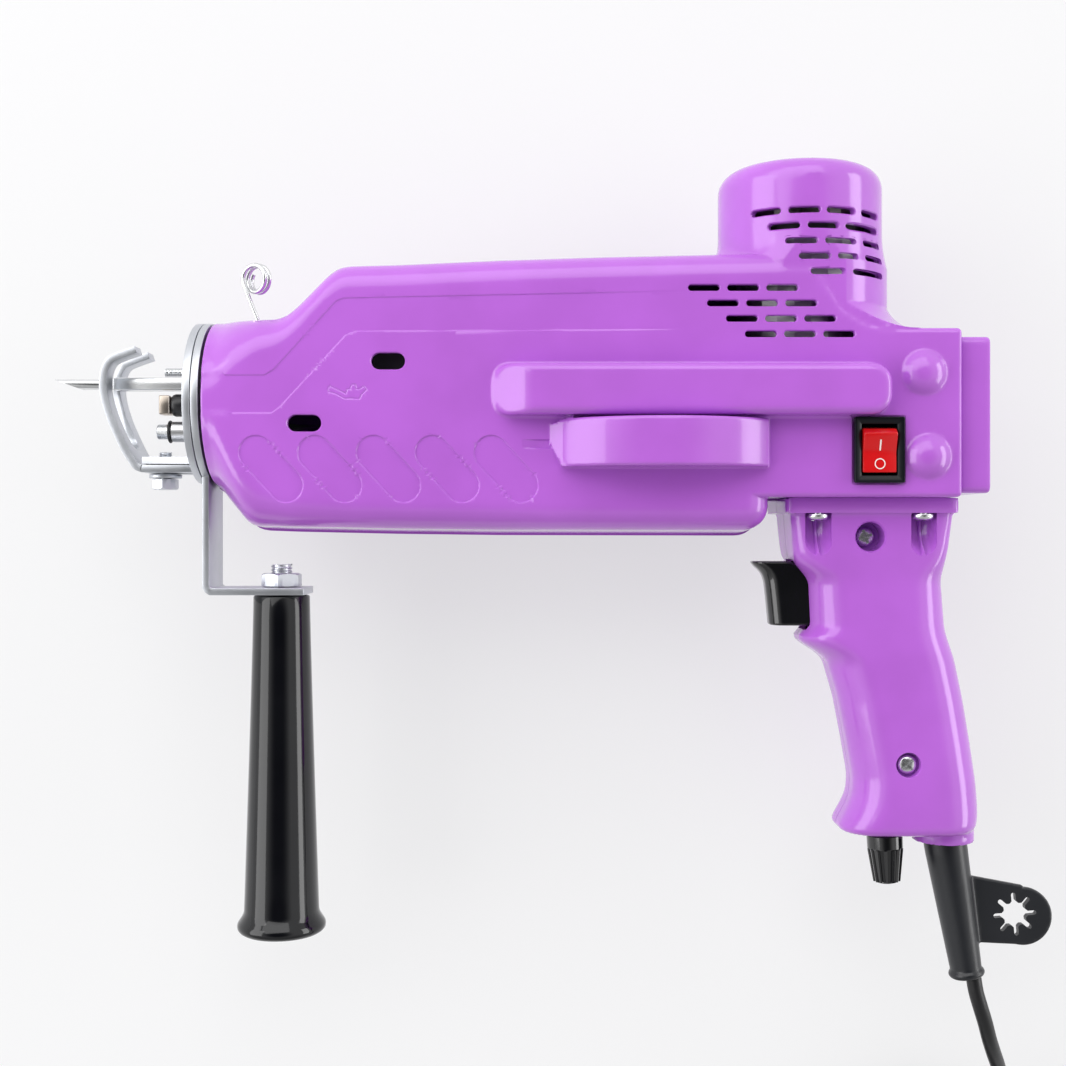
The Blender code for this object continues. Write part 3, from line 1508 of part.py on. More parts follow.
def make_gear_frame():
    """One casting: floor, front wall that holds the rods, two side walls and the motor shelf."""
    floor_low = FRAME_TOP_Y - FRAME_PLATE
    half = FRAME_HALF_WIDTH
    frame = box(
        "gear_frame",
        (FRAME_FRONT_X, floor_low, -half),
        (FRAME_REAR_X, FRAME_TOP_Y, half),
    )
    wall_rear = FRAME_FRONT_X + FRAME_PLATE
    wall_top = UPPER_ROD_Y + 2 * ROD_RADIUS
    front_wall = box(
        "frame_front_wall",
        (FRAME_FRONT_X, floor_low + GAP, -half + GAP),
        (wall_rear, wall_top, half - GAP),
    )
    join(frame, front_wall)
    wall_thickness = FRAME_PLATE * 0.6
    side_front = math.sqrt(GEAR_TIP_RADIUS**2 - (half - wall_thickness) ** 2) + FRAME_GEAR_GAP
    for label, side in (("near", 1), ("far", -1)):
        heights = sorted((side * (half - wall_thickness), side * (half - 2 * GAP)))
        wall = box(
            f"frame_side_{label}",
            (side_front, floor_low + GAP, heights[0]),
            (FRAME_REAR_X - GAP, SHELF_TOP_Y - GAP, heights[1]),
        )
        join(frame, wall)
    shelf = box(
        "frame_shelf",
        (TOWER_X - MOTOR_RADIUS, SHELF_TOP_Y - SHELF_THICKNESS, -half + GAP),
        (TOWER_X + MOTOR_RADIUS, SHELF_TOP_Y, half - GAP),
    )
    boss = rod(
        "frame_boss", (0, BOSS_BOTTOM_Y, 0), (0, floor_low + GAP, 0), BOSS_RADIUS, sides=24
    )
    join(frame, shelf, boss)
    window_half = STROKE_RADIUS + CONROD_HALF_WIDTH
    window_rise = CONROD_THICKNESS / 2 + RUNNING_GAP
    cut(
        frame,
        box(
            "frame_window",
            (FRAME_FRONT_X - OVERRUN, -window_rise, -window_half),
            (wall_rear + OVERRUN, window_rise, window_half),
        ),
        rod(
            "frame_bore",
            (0, BOSS_BOTTOM_Y - OVERRUN, 0),
            (0, FRAME_TOP_Y + OVERRUN, 0),
            BEARING_RADIUS + GAP,
            sides=20,
        ),
        rod(
            "frame_motor_bore",
            (TOWER_X, SHELF_TOP_Y - SHELF_THICKNESS - OVERRUN, 0),
            (TOWER_X, SHELF_TOP_Y + OVERRUN, 0),
            MOTOR_BOSS_RADIUS + GAP,
            sides=20,
        ),
    )
    for label, y in (("upper", UPPER_ROD_Y), ("lower", LOWER_ROD_Y)):
        cut(
            frame,
            rod(
                f"frame_{label}_rod_hole",
                (FRAME_FRONT_X - OVERRUN, y, 0),
                (wall_rear + OVERRUN, y, 0),
                ROD_RADIUS + GAP,
                sides=16,
            ),
        )
    paint(frame, CAST_METAL)


# Inside the motor
MOTOR_BOSS_RADIUS = 0.0075
ARMATURE_RADIUS = 0.0145
ARMATURE_LENGTH = 0.030
COMMUTATOR_RADIUS = 0.006
COMMUTATOR_LENGTH = 0.007
END_CAP_THICKNESS = 0.004
FAN_BLADES = 6
FAN_HUB_RADIUS = 0.005
FAN_BLADE_HALF_WIDTH = 0.0022


def fan_outline():
    """A hub with straight radial blades."""
    points = []
    root = math.asin(FAN_BLADE_HALF_WIDTH / FAN_HUB_RADIUS)
    tip = math.asin(FAN_BLADE_HALF_WIDTH / FAN_RADIUS)
    for blade in range(FAN_BLADES):
        centre = math.tau * blade / FAN_BLADES
        for radius, turn in (
            (FAN_HUB_RADIUS, centre - root),
            (FAN_RADIUS, centre - tip),
            (FAN_RADIUS, centre + tip),
            (FAN_HUB_RADIUS, centre + root),
        ):
            points.append((radius * math.cos(turn), radius * math.sin(turn)))
    return points


def make_motor():
    """The motor stands on the frame's shelf; its shaft carries pinion, armature and fan."""
    base = SHELF_TOP_Y + GAP
    bore = MOTOR_SHAFT_RADIUS + GAP
    top = MOTOR_LENGTH
    inner = MOTOR_RADIUS - MOTOR_WALL
    boss_depth = SHELF_THICKNESS
    profile = (
        (inner, top),
        (MOTOR_RADIUS, top),
        (MOTOR_RADIUS, 0),
        (MOTOR_BOSS_RADIUS, 0),
        (MOTOR_BOSS_RADIUS, -boss_depth),
        (bore, -boss_depth),
        (bore, MOTOR_WALL),
        (inner, MOTOR_WALL),
    )
    paint(
        turned("motor_can", profile, (TOWER_X, base, 0), Y_AXIS, steps=24, closed=True),
        BRIGHT_STEEL,
    )
    cap_base = base + top + GAP
    profile = (
        (bore, END_CAP_THICKNESS),
        (MOTOR_RADIUS, END_CAP_THICKNESS),
        (MOTOR_RADIUS, 0),
        (bore, 0),
    )
    paint(
        turned("motor_end_cap", profile, (TOWER_X, cap_base, 0), Y_AXIS, steps=24, closed=True),
        SATIN_BLACK,
    )
    core_base = base + 4 * MOTOR_WALL
    commutator_top = ARMATURE_LENGTH + COMMUTATOR_LENGTH
    profile = (
        (bore, commutator_top),
        (COMMUTATOR_RADIUS, commutator_top),
        (COMMUTATOR_RADIUS, ARMATURE_LENGTH),
        (ARMATURE_RADIUS, ARMATURE_LENGTH),
        (ARMATURE_RADIUS, 0),
        (bore, 0),
    )
    paint(
        turned("armature", profile, (TOWER_X, core_base, 0), Y_AXIS, steps=20, closed=True),
        COPPER,
    )
    fan_base = cap_base + END_CAP_THICKNESS + 2 * RUNNING_GAP
    fan_top = fan_base + FAN_HEIGHT
    paint(
        plate(
            "cooling_fan",
            [fan_outline(), circle(bore, 12)],
            FAN_HEIGHT,
            (TOWER_X, fan_base + FAN_HEIGHT / 2, 0),
            -Y_AXIS,
        ),
        NYLON,
    )
    paint(
        rod(
            "motor_shaft",
            (TOWER_X, GEAR_BOTTOM_Y, 0),
            (TOWER_X, fan_top + GAP, 0),
            MOTOR_SHAFT_RADIUS,
            sides=16,
        ),
        BRIGHT_STEEL,
    )


def make_rocker_switch():
    """A snap-in switch: its body hangs in the housing's cut-out and its rocker tips about X."""
    rim_base = HALF_WIDTH + GAP
    rim_top = rim_base + SWITCH_RIM_HEIGHT
    switch = box(
        "rocker_housing",
        (SWITCH_X - SWITCH_HALF_WIDTH, SWITCH_Y - SWITCH_HALF_LENGTH, rim_base),
        (SWITCH_X + SWITCH_HALF_WIDTH, SWITCH_Y + SWITCH_HALF_LENGTH, rim_top),
    )
    half_x = SWITCH_HALF_WIDTH - SWITCH_BODY_MARGIN
    half_y = SWITCH_HALF_LENGTH - SWITCH_BODY_MARGIN
    body = box(
        "switch_body",
        (SWITCH_X - half_x, SWITCH_Y - half_y, HALF_WIDTH - SWITCH_DEPTH),
        (SWITCH_X + half_x, SWITCH_Y + half_y, rim_base + SWITCH_RIM_HEIGHT / 2),
    )
    join(switch, body)
    well_x = SWITCH_HALF_WIDTH - SWITCH_RIM
    well_y = SWITCH_HALF_LENGTH - SWITCH_RIM
    pivot_z = rim_top - ROCKER_PIVOT_DEPTH - SWITCH_RIM_HEIGHT
    well_floor = pivot_z - 2 * ROCKER_BASE_DEPTH
    cut(
        switch,
        box(
            "switch_well",
            (SWITCH_X - well_x, SWITCH_Y - well_y, well_floor),
            (SWITCH_X + well_x, SWITCH_Y + well_y, rim_top + OVERRUN),
        ),
    )
    paint(switch, SATIN_BLACK)
    reach = well_y - 2 * RUNNING_GAP
    tilt = math.radians(ROCKER_TILT_DEGREES)
    crown = ROCKER_RISE - reach * math.tan(tilt)
    outline = (
        (-reach * 0.5, -ROCKER_BASE_DEPTH),
        (reach * 0.5, -ROCKER_BASE_DEPTH),
        (reach * 0.97, 0),
        (reach * 0.88, ROCKER_RISE),
        (0, crown),
        (-reach * 0.88, ROCKER_RISE),
        (-reach * 0.97, 0),
    )
    tilted = [
        (y * math.cos(tilt) - z * math.sin(tilt), y * math.sin(tilt) + z * math.cos(tilt))
        for y, z in outline
    ]
    rings = []
    for x in (-well_x + GAP, well_x - GAP):
        rings.append([Vector((SWITCH_X + x, SWITCH_Y + y, pivot_z + z)) for y, z in tilted])
    paint(loft("rocker", rings), SIGNAL_RED)


# Inside the grip
STRAIN_TOP_Y = GRIP_BOTTOM_Y + 0.2 * COLLAR_DEPTH
STRAIN_TILT_DEGREES = 9.4
STRAIN_LENGTH = 0.0490
STRAIN_TOP_RADIUS = 0.0068
STRAIN_END_RADIUS = 0.0049
STRAIN_BEAD_RADIUS = 0.00575
STRAIN_BEAD_WIDTH = 0.0026
STRAIN_TAB_X = 0.1191
STRAIN_TAB_Y = -0.1694
STRAIN_TAB_RADIUS = 0.0091
STRAIN_TAB_THICKNESS = 0.003
STAR_X = 0.1163
STAR_Y = -0.1686
STAR_HUB_RADIUS = 0.0035
STAR_ARM_RADIUS = 0.0069
STAR_ARM_HALF_WIDTH = 0.00058
STAR_ARMS = 8
UPPER_SCREW_DROP = 0.0075
LOWER_SCREW_RISE = 0.0238
UPPER_SCREW_REACH = 0.0262
LOWER_SCREW_REACH = 0.0383
GRIP_SCREW_UPPER = (GRIP_FRONT_X + UPPER_SCREW_REACH, GRIP_BODY_Y - UPPER_SCREW_DROP)
GRIP_SCREW_LOWER = (GRIP_FRONT_X + LOWER_SCREW_REACH, GRIP_BOTTOM_Y + LOWER_SCREW_RISE)
COUNTERBORE_RADIUS = 0.0046
UPPER_BORE_FLOOR_Z = 0.005
LOWER_BORE_FLOOR_Z = 0.0135
GRIP_SOLID_TOP = 0.014
GRIP_CHANNEL_HALF_WIDTH = 0.0085
GRIP_CHANNEL_REAR_SHARE = 0.945
KNOB_REACH = 0.0342
KNOB_X = GRIP_FRONT_X + KNOB_REACH
KNOB_TILT_DEGREES = 2.9
KNOB_TOP_RADIUS = 0.0058
KNOB_END_RADIUS = 0.0044
KNOB_LENGTH = 0.0162
SPINDLE_RADIUS = 0.0028
POT_RADIUS = 0.008
POT_HEIGHT = 0.008
TRIGGER_HALF_WIDTH = 0.006
TRIGGER_TRAVEL = 0.006
TRIGGER_OVERHANG = 0.0092
TRIGGER_FRONT_X = GRIP_FRONT_X - TRIGGER_OVERHANG
TRIGGER_DEPTH = 0.0229
TRIGGER_BACK_X = TRIGGER_FRONT_X + TRIGGER_DEPTH
SWITCH_BLOCK_HALF_WIDTH = GRIP_CHANNEL_HALF_WIDTH - GAP


def strain_direction():
    turn = math.radians(STRAIN_TILT_DEGREES)
    return Vector((math.sin(turn), -math.cos(turn), 0))


def knob_direction():
    turn = math.radians(KNOB_TILT_DEGREES)
    return Vector((math.sin(turn), -math.cos(turn), 0))


def grip_form(name, inset):
    """The outside of the grip with its flange, or with an inset the hollow inside it."""
    rings = []
    if inset:
        solid_y = GRIP_BODY_Y - GRIP_SOLID_TOP
        channel = rounded_rectangle(
            GRIP_FRONT_X + 2 * inset,
            GRIP_FRONT_X + GRIP_DEPTH * GRIP_CHANNEL_REAR_SHARE - 2 * inset,
            -GRIP_CHANNEL_HALF_WIDTH,
            GRIP_CHANNEL_HALF_WIDTH,
            inset,
        )
        for y in (GRIP_TOP_Y + OVERRUN, solid_y):
            rings.append([Vector((x, y, z)) for x, z in channel])
    else:
        flange = rounded_rectangle(
            GRIP_FRONT_X - FLANGE_MARGIN,
            GRIP_FRONT_X + GRIP_DEPTH + FLANGE_MARGIN,
            -FLANGE_HALF_WIDTH,
            FLANGE_HALF_WIDTH,
            FLANGE_CORNER,
        )
        for y in (GRIP_TOP_Y, GRIP_BODY_Y):
            rings.append([Vector((x, y, z)) for x, z in flange])
    for down, front, back, width, corner in GRIP_SECTION_SHARES:
        y = GRIP_BODY_Y - GRIP_LENGTH * down
        if inset:
            if y > solid_y - inset or y < GRIP_BOTTOM_Y + inset:
                continue
        half = GRIP_HALF_WIDTH * width - inset
        ring = rounded_rectangle(
            GRIP_FRONT_X + GRIP_DEPTH * front + inset,
            GRIP_FRONT_X + GRIP_DEPTH * back - inset,
            -half,
            half,
            GRIP_CORNER * corner - inset,
        )
        rings.append([Vector((x, y - GAP if down == 0 else y, z)) for x, z in ring])
    if inset:
        rings[-1] = [Vector((point.x, GRIP_BOTTOM_Y + inset, point.z)) for point in rings[-1]]
    return loft(name, rings)


def grip_half(name, side, outside, inside):
    near = side > 0
    heights = sorted((side * GAP / 2, side * (FLANGE_HALF_WIDTH + OVERRUN)))
    half = box(
        name,
        (GRIP_FRONT_X - GRIP_DEPTH, GRIP_BOTTOM_Y - 2 * COLLAR_DEPTH, heights[0]),
        (GRIP_FRONT_X + 2 * GRIP_DEPTH, GRIP_TOP_Y + OVERRUN, heights[1]),
    )
    combine(half, outside, "INTERSECT")
    cut(half, inside)
    for label, (x, y), floor in (
        ("upper", GRIP_SCREW_UPPER, UPPER_BORE_FLOOR_Z),
        ("lower", GRIP_SCREW_LOWER, LOWER_BORE_FLOOR_Z),
    ):
        radius = COUNTERBORE_RADIUS + WALL / 2 if near else POST_RADIUS
        post = rod(
            f"{name}_post_{label}",
            (x, y, side * GAP / 2),
            (x, y, side * (GRIP_HALF_WIDTH - WALL / 2)),
            radius,
            sides=16,
        )
        join(half, post)
        if near:
            hole = rod(
                f"{name}_hole_{label}",
                (x, y, -OVERRUN),
                (x, y, GRIP_HALF_WIDTH + OVERRUN),
                SCREW_HOLE_RADIUS,
                sides=10,
            )
            bore = rod(
                f"{name}_bore_{label}",
                (x, y, floor),
                (x, y, GRIP_HALF_WIDTH + OVERRUN),
                COUNTERBORE_RADIUS,
                sides=20,
            )
            cut(half, hole, bore)
        else:
            hole = rod(
                f"{name}_hole_{label}",
                (x, y, OVERRUN),
                (x, y, -GRIP_HALF_WIDTH + WALL),
                SCREW_HOLE_RADIUS,
                sides=10,
            )
            cut(half, hole)
    for label, x in (("front", FLANGE_SCREW_FRONT_X), ("rear", FLANGE_SCREW_REAR_X)):
        z = side * FLANGE_SCREW_Z
        recess = rod(
            f"{name}_recess_{label}",
            (x, GRIP_BODY_Y, z),
            (x, GRIP_BODY_Y - FLANGE_RECESS_LENGTH, z),
            FLANGE_RECESS_RADIUS,
            sides=16,
        )
        hole = rod(
            f"{name}_flange_hole_{label}",
            (x, GRIP_BODY_Y - OVERRUN, z),
            (x, GRIP_TOP_Y + OVERRUN, z),
            SCREW_HOLE_RADIUS,
            sides=10,
        )
        cut(half, recess, hole)
        pan_screw(
            f"flange_screw_{'near' if near else 'far'}_{label}",
            (x, GRIP_BODY_Y - GAP, z),
            -Y_AXIS,
            SMALL_HEAD_RADIUS,
            FLANGE_THICKNESS + WALL,
        )
    return half


def make_grip():
    """Two halves round a hollow, with the trigger's window, the collar and the knob's hole."""
    outside = grip_form("grip_outside", 0)
    collar_y = GRIP_BOTTOM_Y - COLLAR_DEPTH
    collar = rod(
        "grip_collar",
        (COLLAR_X, collar_y, 0),
        (COLLAR_X, GRIP_BOTTOM_Y + WALL, 0),
        COLLAR_RADIUS,
        sides=24,
    )
    join(outside, collar)
    inside = grip_form("grip_inside", WALL)
    window_top = GRIP_BODY_Y - GRIP_LENGTH * WINDOW_TOP_SHARE
    window_bottom = GRIP_BODY_Y - GRIP_LENGTH * WINDOW_BOTTOM_SHARE
    window = box(
        "trigger_window",
        (GRIP_FRONT_X - OVERRUN, window_bottom, -TRIGGER_HALF_WIDTH - RUNNING_GAP),
        (TRIGGER_BACK_X + TRIGGER_TRAVEL, window_top, TRIGGER_HALF_WIDTH + RUNNING_GAP),
    )
    strain_top = Vector((COLLAR_X, STRAIN_TOP_Y, 0))
    socket = rod(
        "strain_socket",
        strain_top - strain_direction() * GAP,
        strain_top + strain_direction() * 4 * COLLAR_DEPTH,
        STRAIN_TOP_RADIUS + GAP,
        sides=24,
    )
    wire_hole = rod(
        "grip_wire_hole",
        strain_top + strain_direction() * OVERRUN,
        strain_top - strain_direction() * 2 * COLLAR_DEPTH,
        CORD_RADIUS + RUNNING_GAP,
        sides=12,
    )
    pot_top = Vector((KNOB_X, GRIP_BOTTOM_Y + WALL + GAP + POT_HEIGHT, 0))
    knob_hole = rod(
        "knob_hole",
        pot_top - knob_direction() * OVERRUN + knob_direction() * POT_HEIGHT,
        pot_top + knob_direction() * (2 * POT_HEIGHT),
        SPINDLE_RADIUS + RUNNING_GAP,
        sides=16,
    )
    for name, side in (("grip_near", 1), ("grip_far", -1)):
        half = grip_half(name, side, outside, inside)
        cut(half, window, socket, wire_hole, knob_hole)
        paint(half, PURPLE)
    for label, (x, y), floor in (
        ("upper", GRIP_SCREW_UPPER, UPPER_BORE_FLOOR_Z),
        ("lower", GRIP_SCREW_LOWER, LOWER_BORE_FLOOR_Z),
    ):
        pan_screw(
            f"grip_screw_{label}",
            (x, y, floor + GAP),
            Z_AXIS,
            SCREW_HEAD_RADIUS,
            floor + POST_RADIUS * 2,
        )


def make_trigger():
    """The trigger slides into the grip against a spring inside its switch."""
    window_top = GRIP_BODY_Y - GRIP_LENGTH * WINDOW_TOP_SHARE
    window_bottom = GRIP_BODY_Y - GRIP_LENGTH * WINDOW_BOTTOM_SHARE
    top = window_top - RUNNING_GAP
    bottom = window_bottom + RUNNING_GAP
    height = top - bottom
    shares = (
        (0.00, 0.03),
        (1.00, 0.00),
        (1.00, 1.00),
        (0.30, 1.00),
        (0.23, 0.27),
        (0.13, 0.17),
        (0.01, 0.10),
    )
    outline = [(TRIGGER_FRONT_X + TRIGGER_DEPTH * across, top - height * down) for across, down in shares]
    trigger = plate("trigger", [outline], 2 * TRIGGER_HALF_WIDTH, (0, 0, 0))
    rounding = trigger.modifiers.new("Rounded edges", "BEVEL")
    rounding.width = TRIGGER_HALF_WIDTH * 0.2
    rounding.segments = 2
    rounding.limit_method = "ANGLE"
    paint(trigger, GLOSS_BLACK)
    # The switch reaches up to the solid top of the grip and sits between the walls of its channel
    front = TRIGGER_BACK_X + TRIGGER_TRAVEL + RUNNING_GAP
    rear = GRIP_FRONT_X + GRIP_DEPTH * GRIP_CHANNEL_REAR_SHARE - 3 * WALL
    block_top = GRIP_BODY_Y - GRIP_SOLID_TOP - GAP
    block = box(
        "trigger_switch",
        (front, window_bottom + WALL, -SWITCH_BLOCK_HALF_WIDTH),
        (rear, block_top, SWITCH_BLOCK_HALF_WIDTH),
    )
    paint(block, SATIN_BLACK)


def make_speed_control():
    """A potentiometer on the grip's floor, and the fluted knob with its spindle."""
    direction = knob_direction()
    pot_top = Vector((KNOB_X, GRIP_BOTTOM_Y + WALL + GAP + POT_HEIGHT, 0))
    bore = SPINDLE_RADIUS + GAP
    profile = (
        (bore, POT_HEIGHT * 0.9),
        (POT_RADIUS, POT_HEIGHT * 0.9),
        (POT_RADIUS, 0),
        (bore, 0),
    )
    pot = turned(
        "speed_pot",
        profile,
        pot_top + direction * (POT_HEIGHT * 0.9),
        -direction,
        steps=20,
        closed=True,
    )
    paint(pot, BRIGHT_STEEL)
    spindle_top = POT_HEIGHT + WALL + 2 * GAP + RUNNING_GAP
    knob_top = pot_top + direction * (spindle_top + GAP)
    profile = (
        (0, spindle_top * 0.9),
        (SPINDLE_RADIUS, spindle_top * 0.9),
        (SPINDLE_RADIUS, 0),
        (KNOB_TOP_RADIUS, 0),
        (KNOB_TOP_RADIUS * 0.97, -KNOB_LENGTH * 0.3),
        (KNOB_END_RADIUS, -KNOB_LENGTH),
        (0, -KNOB_LENGTH),
    )
    paint(turned("speed_knob", profile, knob_top, -direction, steps=18), GLOSS_BLACK)


def make_strain_relief():
    """A tapered rubber sleeve with a bead at its end and a flat tab with a star-shaped hole."""
    direction = strain_direction()
    top = Vector((COLLAR_X, STRAIN_TOP_Y, 0))
    bead_start = STRAIN_LENGTH - STRAIN_BEAD_WIDTH
    profile = (
        (0, 0),
        (STRAIN_TOP_RADIUS, 0),
        (STRAIN_TOP_RADIUS, -2 * COLLAR_DEPTH),
        (STRAIN_END_RADIUS, -bead_start),
        (STRAIN_BEAD_RADIUS, -bead_start - STRAIN_BEAD_WIDTH * 0.25),
        (STRAIN_BEAD_RADIUS, -STRAIN_LENGTH + STRAIN_BEAD_WIDTH * 0.25),
        (STRAIN_END_RADIUS, -STRAIN_LENGTH),
        (0, -STRAIN_LENGTH),
    )
    sleeve = turned("strain_relief", profile, top, -direction, steps=20)
    across = Vector((-direction.y, direction.x, 0))
    upper_root = top + direction * (STRAIN_LENGTH * 0.33)
    lower_root = top + direction * (STRAIN_LENGTH * 0.76)
    outline = [(upper_root.x, upper_root.y), (lower_root.x, lower_root.y)]
    toward = Vector((STRAIN_TAB_X, STRAIN_TAB_Y, 0))
    facing = math.atan2(across.y, across.x)
    for step in range(9):
        turn = facing + math.radians(-100 + 190 * step / 8)
        outline.append(
            (
                toward.x + STRAIN_TAB_RADIUS * math.cos(turn),
                toward.y + STRAIN_TAB_RADIUS * math.sin(turn),
            )
        )
    star = []
    half = math.asin(STAR_ARM_HALF_WIDTH / STAR_HUB_RADIUS)
    for arm in range(STAR_ARMS):
        turn = facing + math.tau * arm / STAR_ARMS
        outward = Vector((math.cos(turn), math.sin(turn)))
        aside = Vector((-outward.y, outward.x)) * STAR_ARM_HALF_WIDTH
        for reach, side in ((STAR_HUB_RADIUS * math.cos(half), -1), (STAR_ARM_RADIUS, -1),
                            (STAR_ARM_RADIUS, 1), (STAR_HUB_RADIUS * math.cos(half), 1)):
            point = Vector((STAR_X, STAR_Y)) + outward * reach + aside * side
            star.append((point.x, point.y))
    tab = plate("strain_tab", [outline, star], STRAIN_TAB_THICKNESS, (0, 0, 0))
    join(sleeve, tab)
    paint(sleeve, SATIN_BLACK)


# The cord's free route from the strain relief to the coil, above the surface that the machine lies on
CORD_OFFSET = 0.002
CORD_ROUTE = (
    (0.1053, -0.1985, 0.0412),
    (0.1077, -0.2050, 0.0392),
    (0.1101, -0.2115, 0.0360),
    (0.1131, -0.2180, 0.0315),
    (0.1163, -0.2242, 0.0260),
    (0.1190, -0.2302, 0.0198),
    (0.1216, -0.2360, 0.0138),
    (0.1240, -0.2418, 0.0088),
    (0.1260, -0.2476, 0.0052),
    (0.1276, -0.2535, 0.0032),
    (0.1286, -0.2600, 0.0027),
)
CORD_SPACING = 0.0065


def smooth_line(route, spacing):
    """Points at an even spacing along a smooth curve through the route."""
    line = [Vector(point) for point in route]
    dense = []
    for i in range(len(line) - 1):
        before = line[max(i - 1, 0)]
        start = line[i]
        end = line[i + 1]
        after = line[min(i + 2, len(line) - 1)]
        for step in range(16):
            t = step / 16
            dense.append(
                0.5
                * (
                    2 * start
                    + (end - before) * t
                    + (2 * before - 5 * start + 4 * end - after) * t * t
                    + (3 * start - before - 3 * end + after) * t * t * t
                )
            )
    dense.append(line[-1])
    total = sum((b - a).length for a, b in zip(dense, dense[1:]))
    count = max(2, round(total / spacing))
    points = [dense[0]]
    travelled = 0.0
    wanted = 1
    for a, b in zip(dense, dense[1:]):
        step = (b - a).length
        while wanted < count and travelled + step >= total * wanted / count:
            share = (total * wanted / count - travelled) / step
            points.append(a + (b - a) * share)
            wanted += 1
        travelled += step
    points.append(dense[-1])
    return points


def coil_points():
    """The coil winds in on the surface, climbs as it turns back, and winds out above itself."""
    turns = 2 * COIL_TURNS_PER_LAYER + 0.5
    reach = COIL_STEP * COIL_TURNS_PER_LAYER
    outer = COIL_INNER_RADIUS + reach
    total = round(turns * COIL_POINTS_PER_TURN)
    low = CORD_RADIUS + GAP
    points = []
    for i in range(total + 1):
        wound = turns * i / total
        if wound < COIL_TURNS_PER_LAYER:
            radius = outer - COIL_STEP * wound
            height = low
        elif wound < COIL_TURNS_PER_LAYER + 0.5:
            share = (wound - COIL_TURNS_PER_LAYER) * 2
            radius = COIL_INNER_RADIUS - COIL_CLIMB_DIP * math.sin(math.pi * share)
            height = low + COIL_LAYER_STEP * share * share * (3 - 2 * share)
        else:
            radius = COIL_INNER_RADIUS + COIL_STEP * (wound - COIL_TURNS_PER_LAYER - 0.5)
            height = low + COIL_LAYER_STEP
        angle = math.radians(COIL_START_DEGREES) - math.tau * wound
        points.append(
            Vector(
                (
                    COIL_CENTRE_X + radius * math.cos(angle),
                    COIL_CENTRE_Y + radius * math.sin(angle),
                    height,
                )
            )
        )
    return points


def make_cord():
    """The free cord, its coil on the surface, and the plug."""
    drop = Vector((0, 0, REST_HEIGHT))
    winding = coil_points()
    report_gap("cord_coil", winding, COIL_POINTS_PER_TURN, CORD_RADIUS)
    turn_in = math.radians(COIL_START_DEGREES)
    turn_out = turn_in - math.tau * (2 * COIL_TURNS_PER_LAYER + 0.5)
    lead_in = Vector((-math.sin(turn_in), math.cos(turn_in), 0))
    lead_out = Vector((math.sin(turn_out), -math.cos(turn_out), 0))
    start = winding[0] + lead_in * 2 * CORD_RADIUS
    end = winding[-1] + lead_out * COIL_TAIL
    whole = [start] + winding + [winding[-1] + lead_out * COIL_TAIL / 2, end]
    paint(tube("cord_coil", [point - drop for point in whole], CORD_RADIUS, 1), SATIN_BLACK)
    meeting = start + lead_in * GAP
    along = strain_direction()
    across = Vector((-along.y, along.x, 0))
    sleeve_end = Vector((COLLAR_X, STRAIN_TOP_Y, 0)) + along * (STRAIN_LENGTH + GAP) + drop
    leaving = sleeve_end + across * CORD_OFFSET
    straight_end = leaving + along * 2 * CORD_RADIUS
    straight_start = meeting + lead_in * 2 * CORD_RADIUS
    middle = smooth_line((tuple(straight_end), *CORD_ROUTE, tuple(straight_start)), CORD_SPACING)
    points = [leaving, *middle, meeting]
    paint(tube("cord", [point - drop for point in points], CORD_RADIUS, 2), SATIN_BLACK)
    free = sum((b - a).length for a, b in zip(points, points[1:]))
    coiled = sum((b - a).length for a, b in zip(whole, whole[1:]))
    print(f"cord: {free:.4f} m free and {coiled:.4f} m in the coil")

    axis_z = end.z
    face_x = end.x - GAP
    profile = (
        (0, 0),
        (CORD_RADIUS * 1.4, 0),
        (CORD_RADIUS * 2, -PLUG_LENGTH * 0.3),
        (CORD_RADIUS * 2, -PLUG_LENGTH * 0.4),
        (0, -PLUG_LENGTH * 0.4),
    )
    neck = Vector((face_x, end.y, axis_z)) - drop
    plug = turned("plug", profile, neck, X_AXIS, steps=12)
    stations = (
        (0.25, 0.35, 0.8),
        (0.55, 0.75, 1.0),
        (0.80, 1.0, 1.0),
        (1.00, 1.0, 1.0),
    )
    rings = []
    for along, wide, thick in stations:
        ring = rounded_rectangle(
            -PLUG_HALF_WIDTH * wide,
            PLUG_HALF_WIDTH * wide,
            -PLUG_HALF_THICKNESS * thick,
            PLUG_HALF_THICKNESS * thick,
            PLUG_HALF_THICKNESS * 0.6,
            steps=2,
        )
        x = face_x - PLUG_LENGTH * along
        rings.append([Vector((x, end.y + a, axis_z + b)) - drop for a, b in ring])
    join(plug, loft("plug_body", rings))
    for label, side in (("a", -1), ("b", 1)):
        y = end.y + side * PLUG_PIN_SPACING / 2
        start_point = Vector((face_x - PLUG_LENGTH * 0.9, y, axis_z)) - drop
        end_point = start_point - X_AXIS * (PLUG_LENGTH * 0.1 + PLUG_PIN_LENGTH)
        join(plug, rod(f"plug_pin_{label}", start_point, end_point, PLUG_PIN_RADIUS, sides=10))
    paint(plug, SATIN_BLACK)


make_housing()
make_rear_cover()
make_yarn_eye()
make_nose()
make_handle()
make_presser_foot()
make_needle_drive()
make_connecting_rod()
make_gears()
make_gear_frame()
make_motor()
make_rocker_switch()
make_grip()
make_trigger()
make_speed_control()
make_strain_relief()
make_cord()
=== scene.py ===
import math

import bmesh
import bpy
import numpy as np
from mathutils import Matrix, Vector


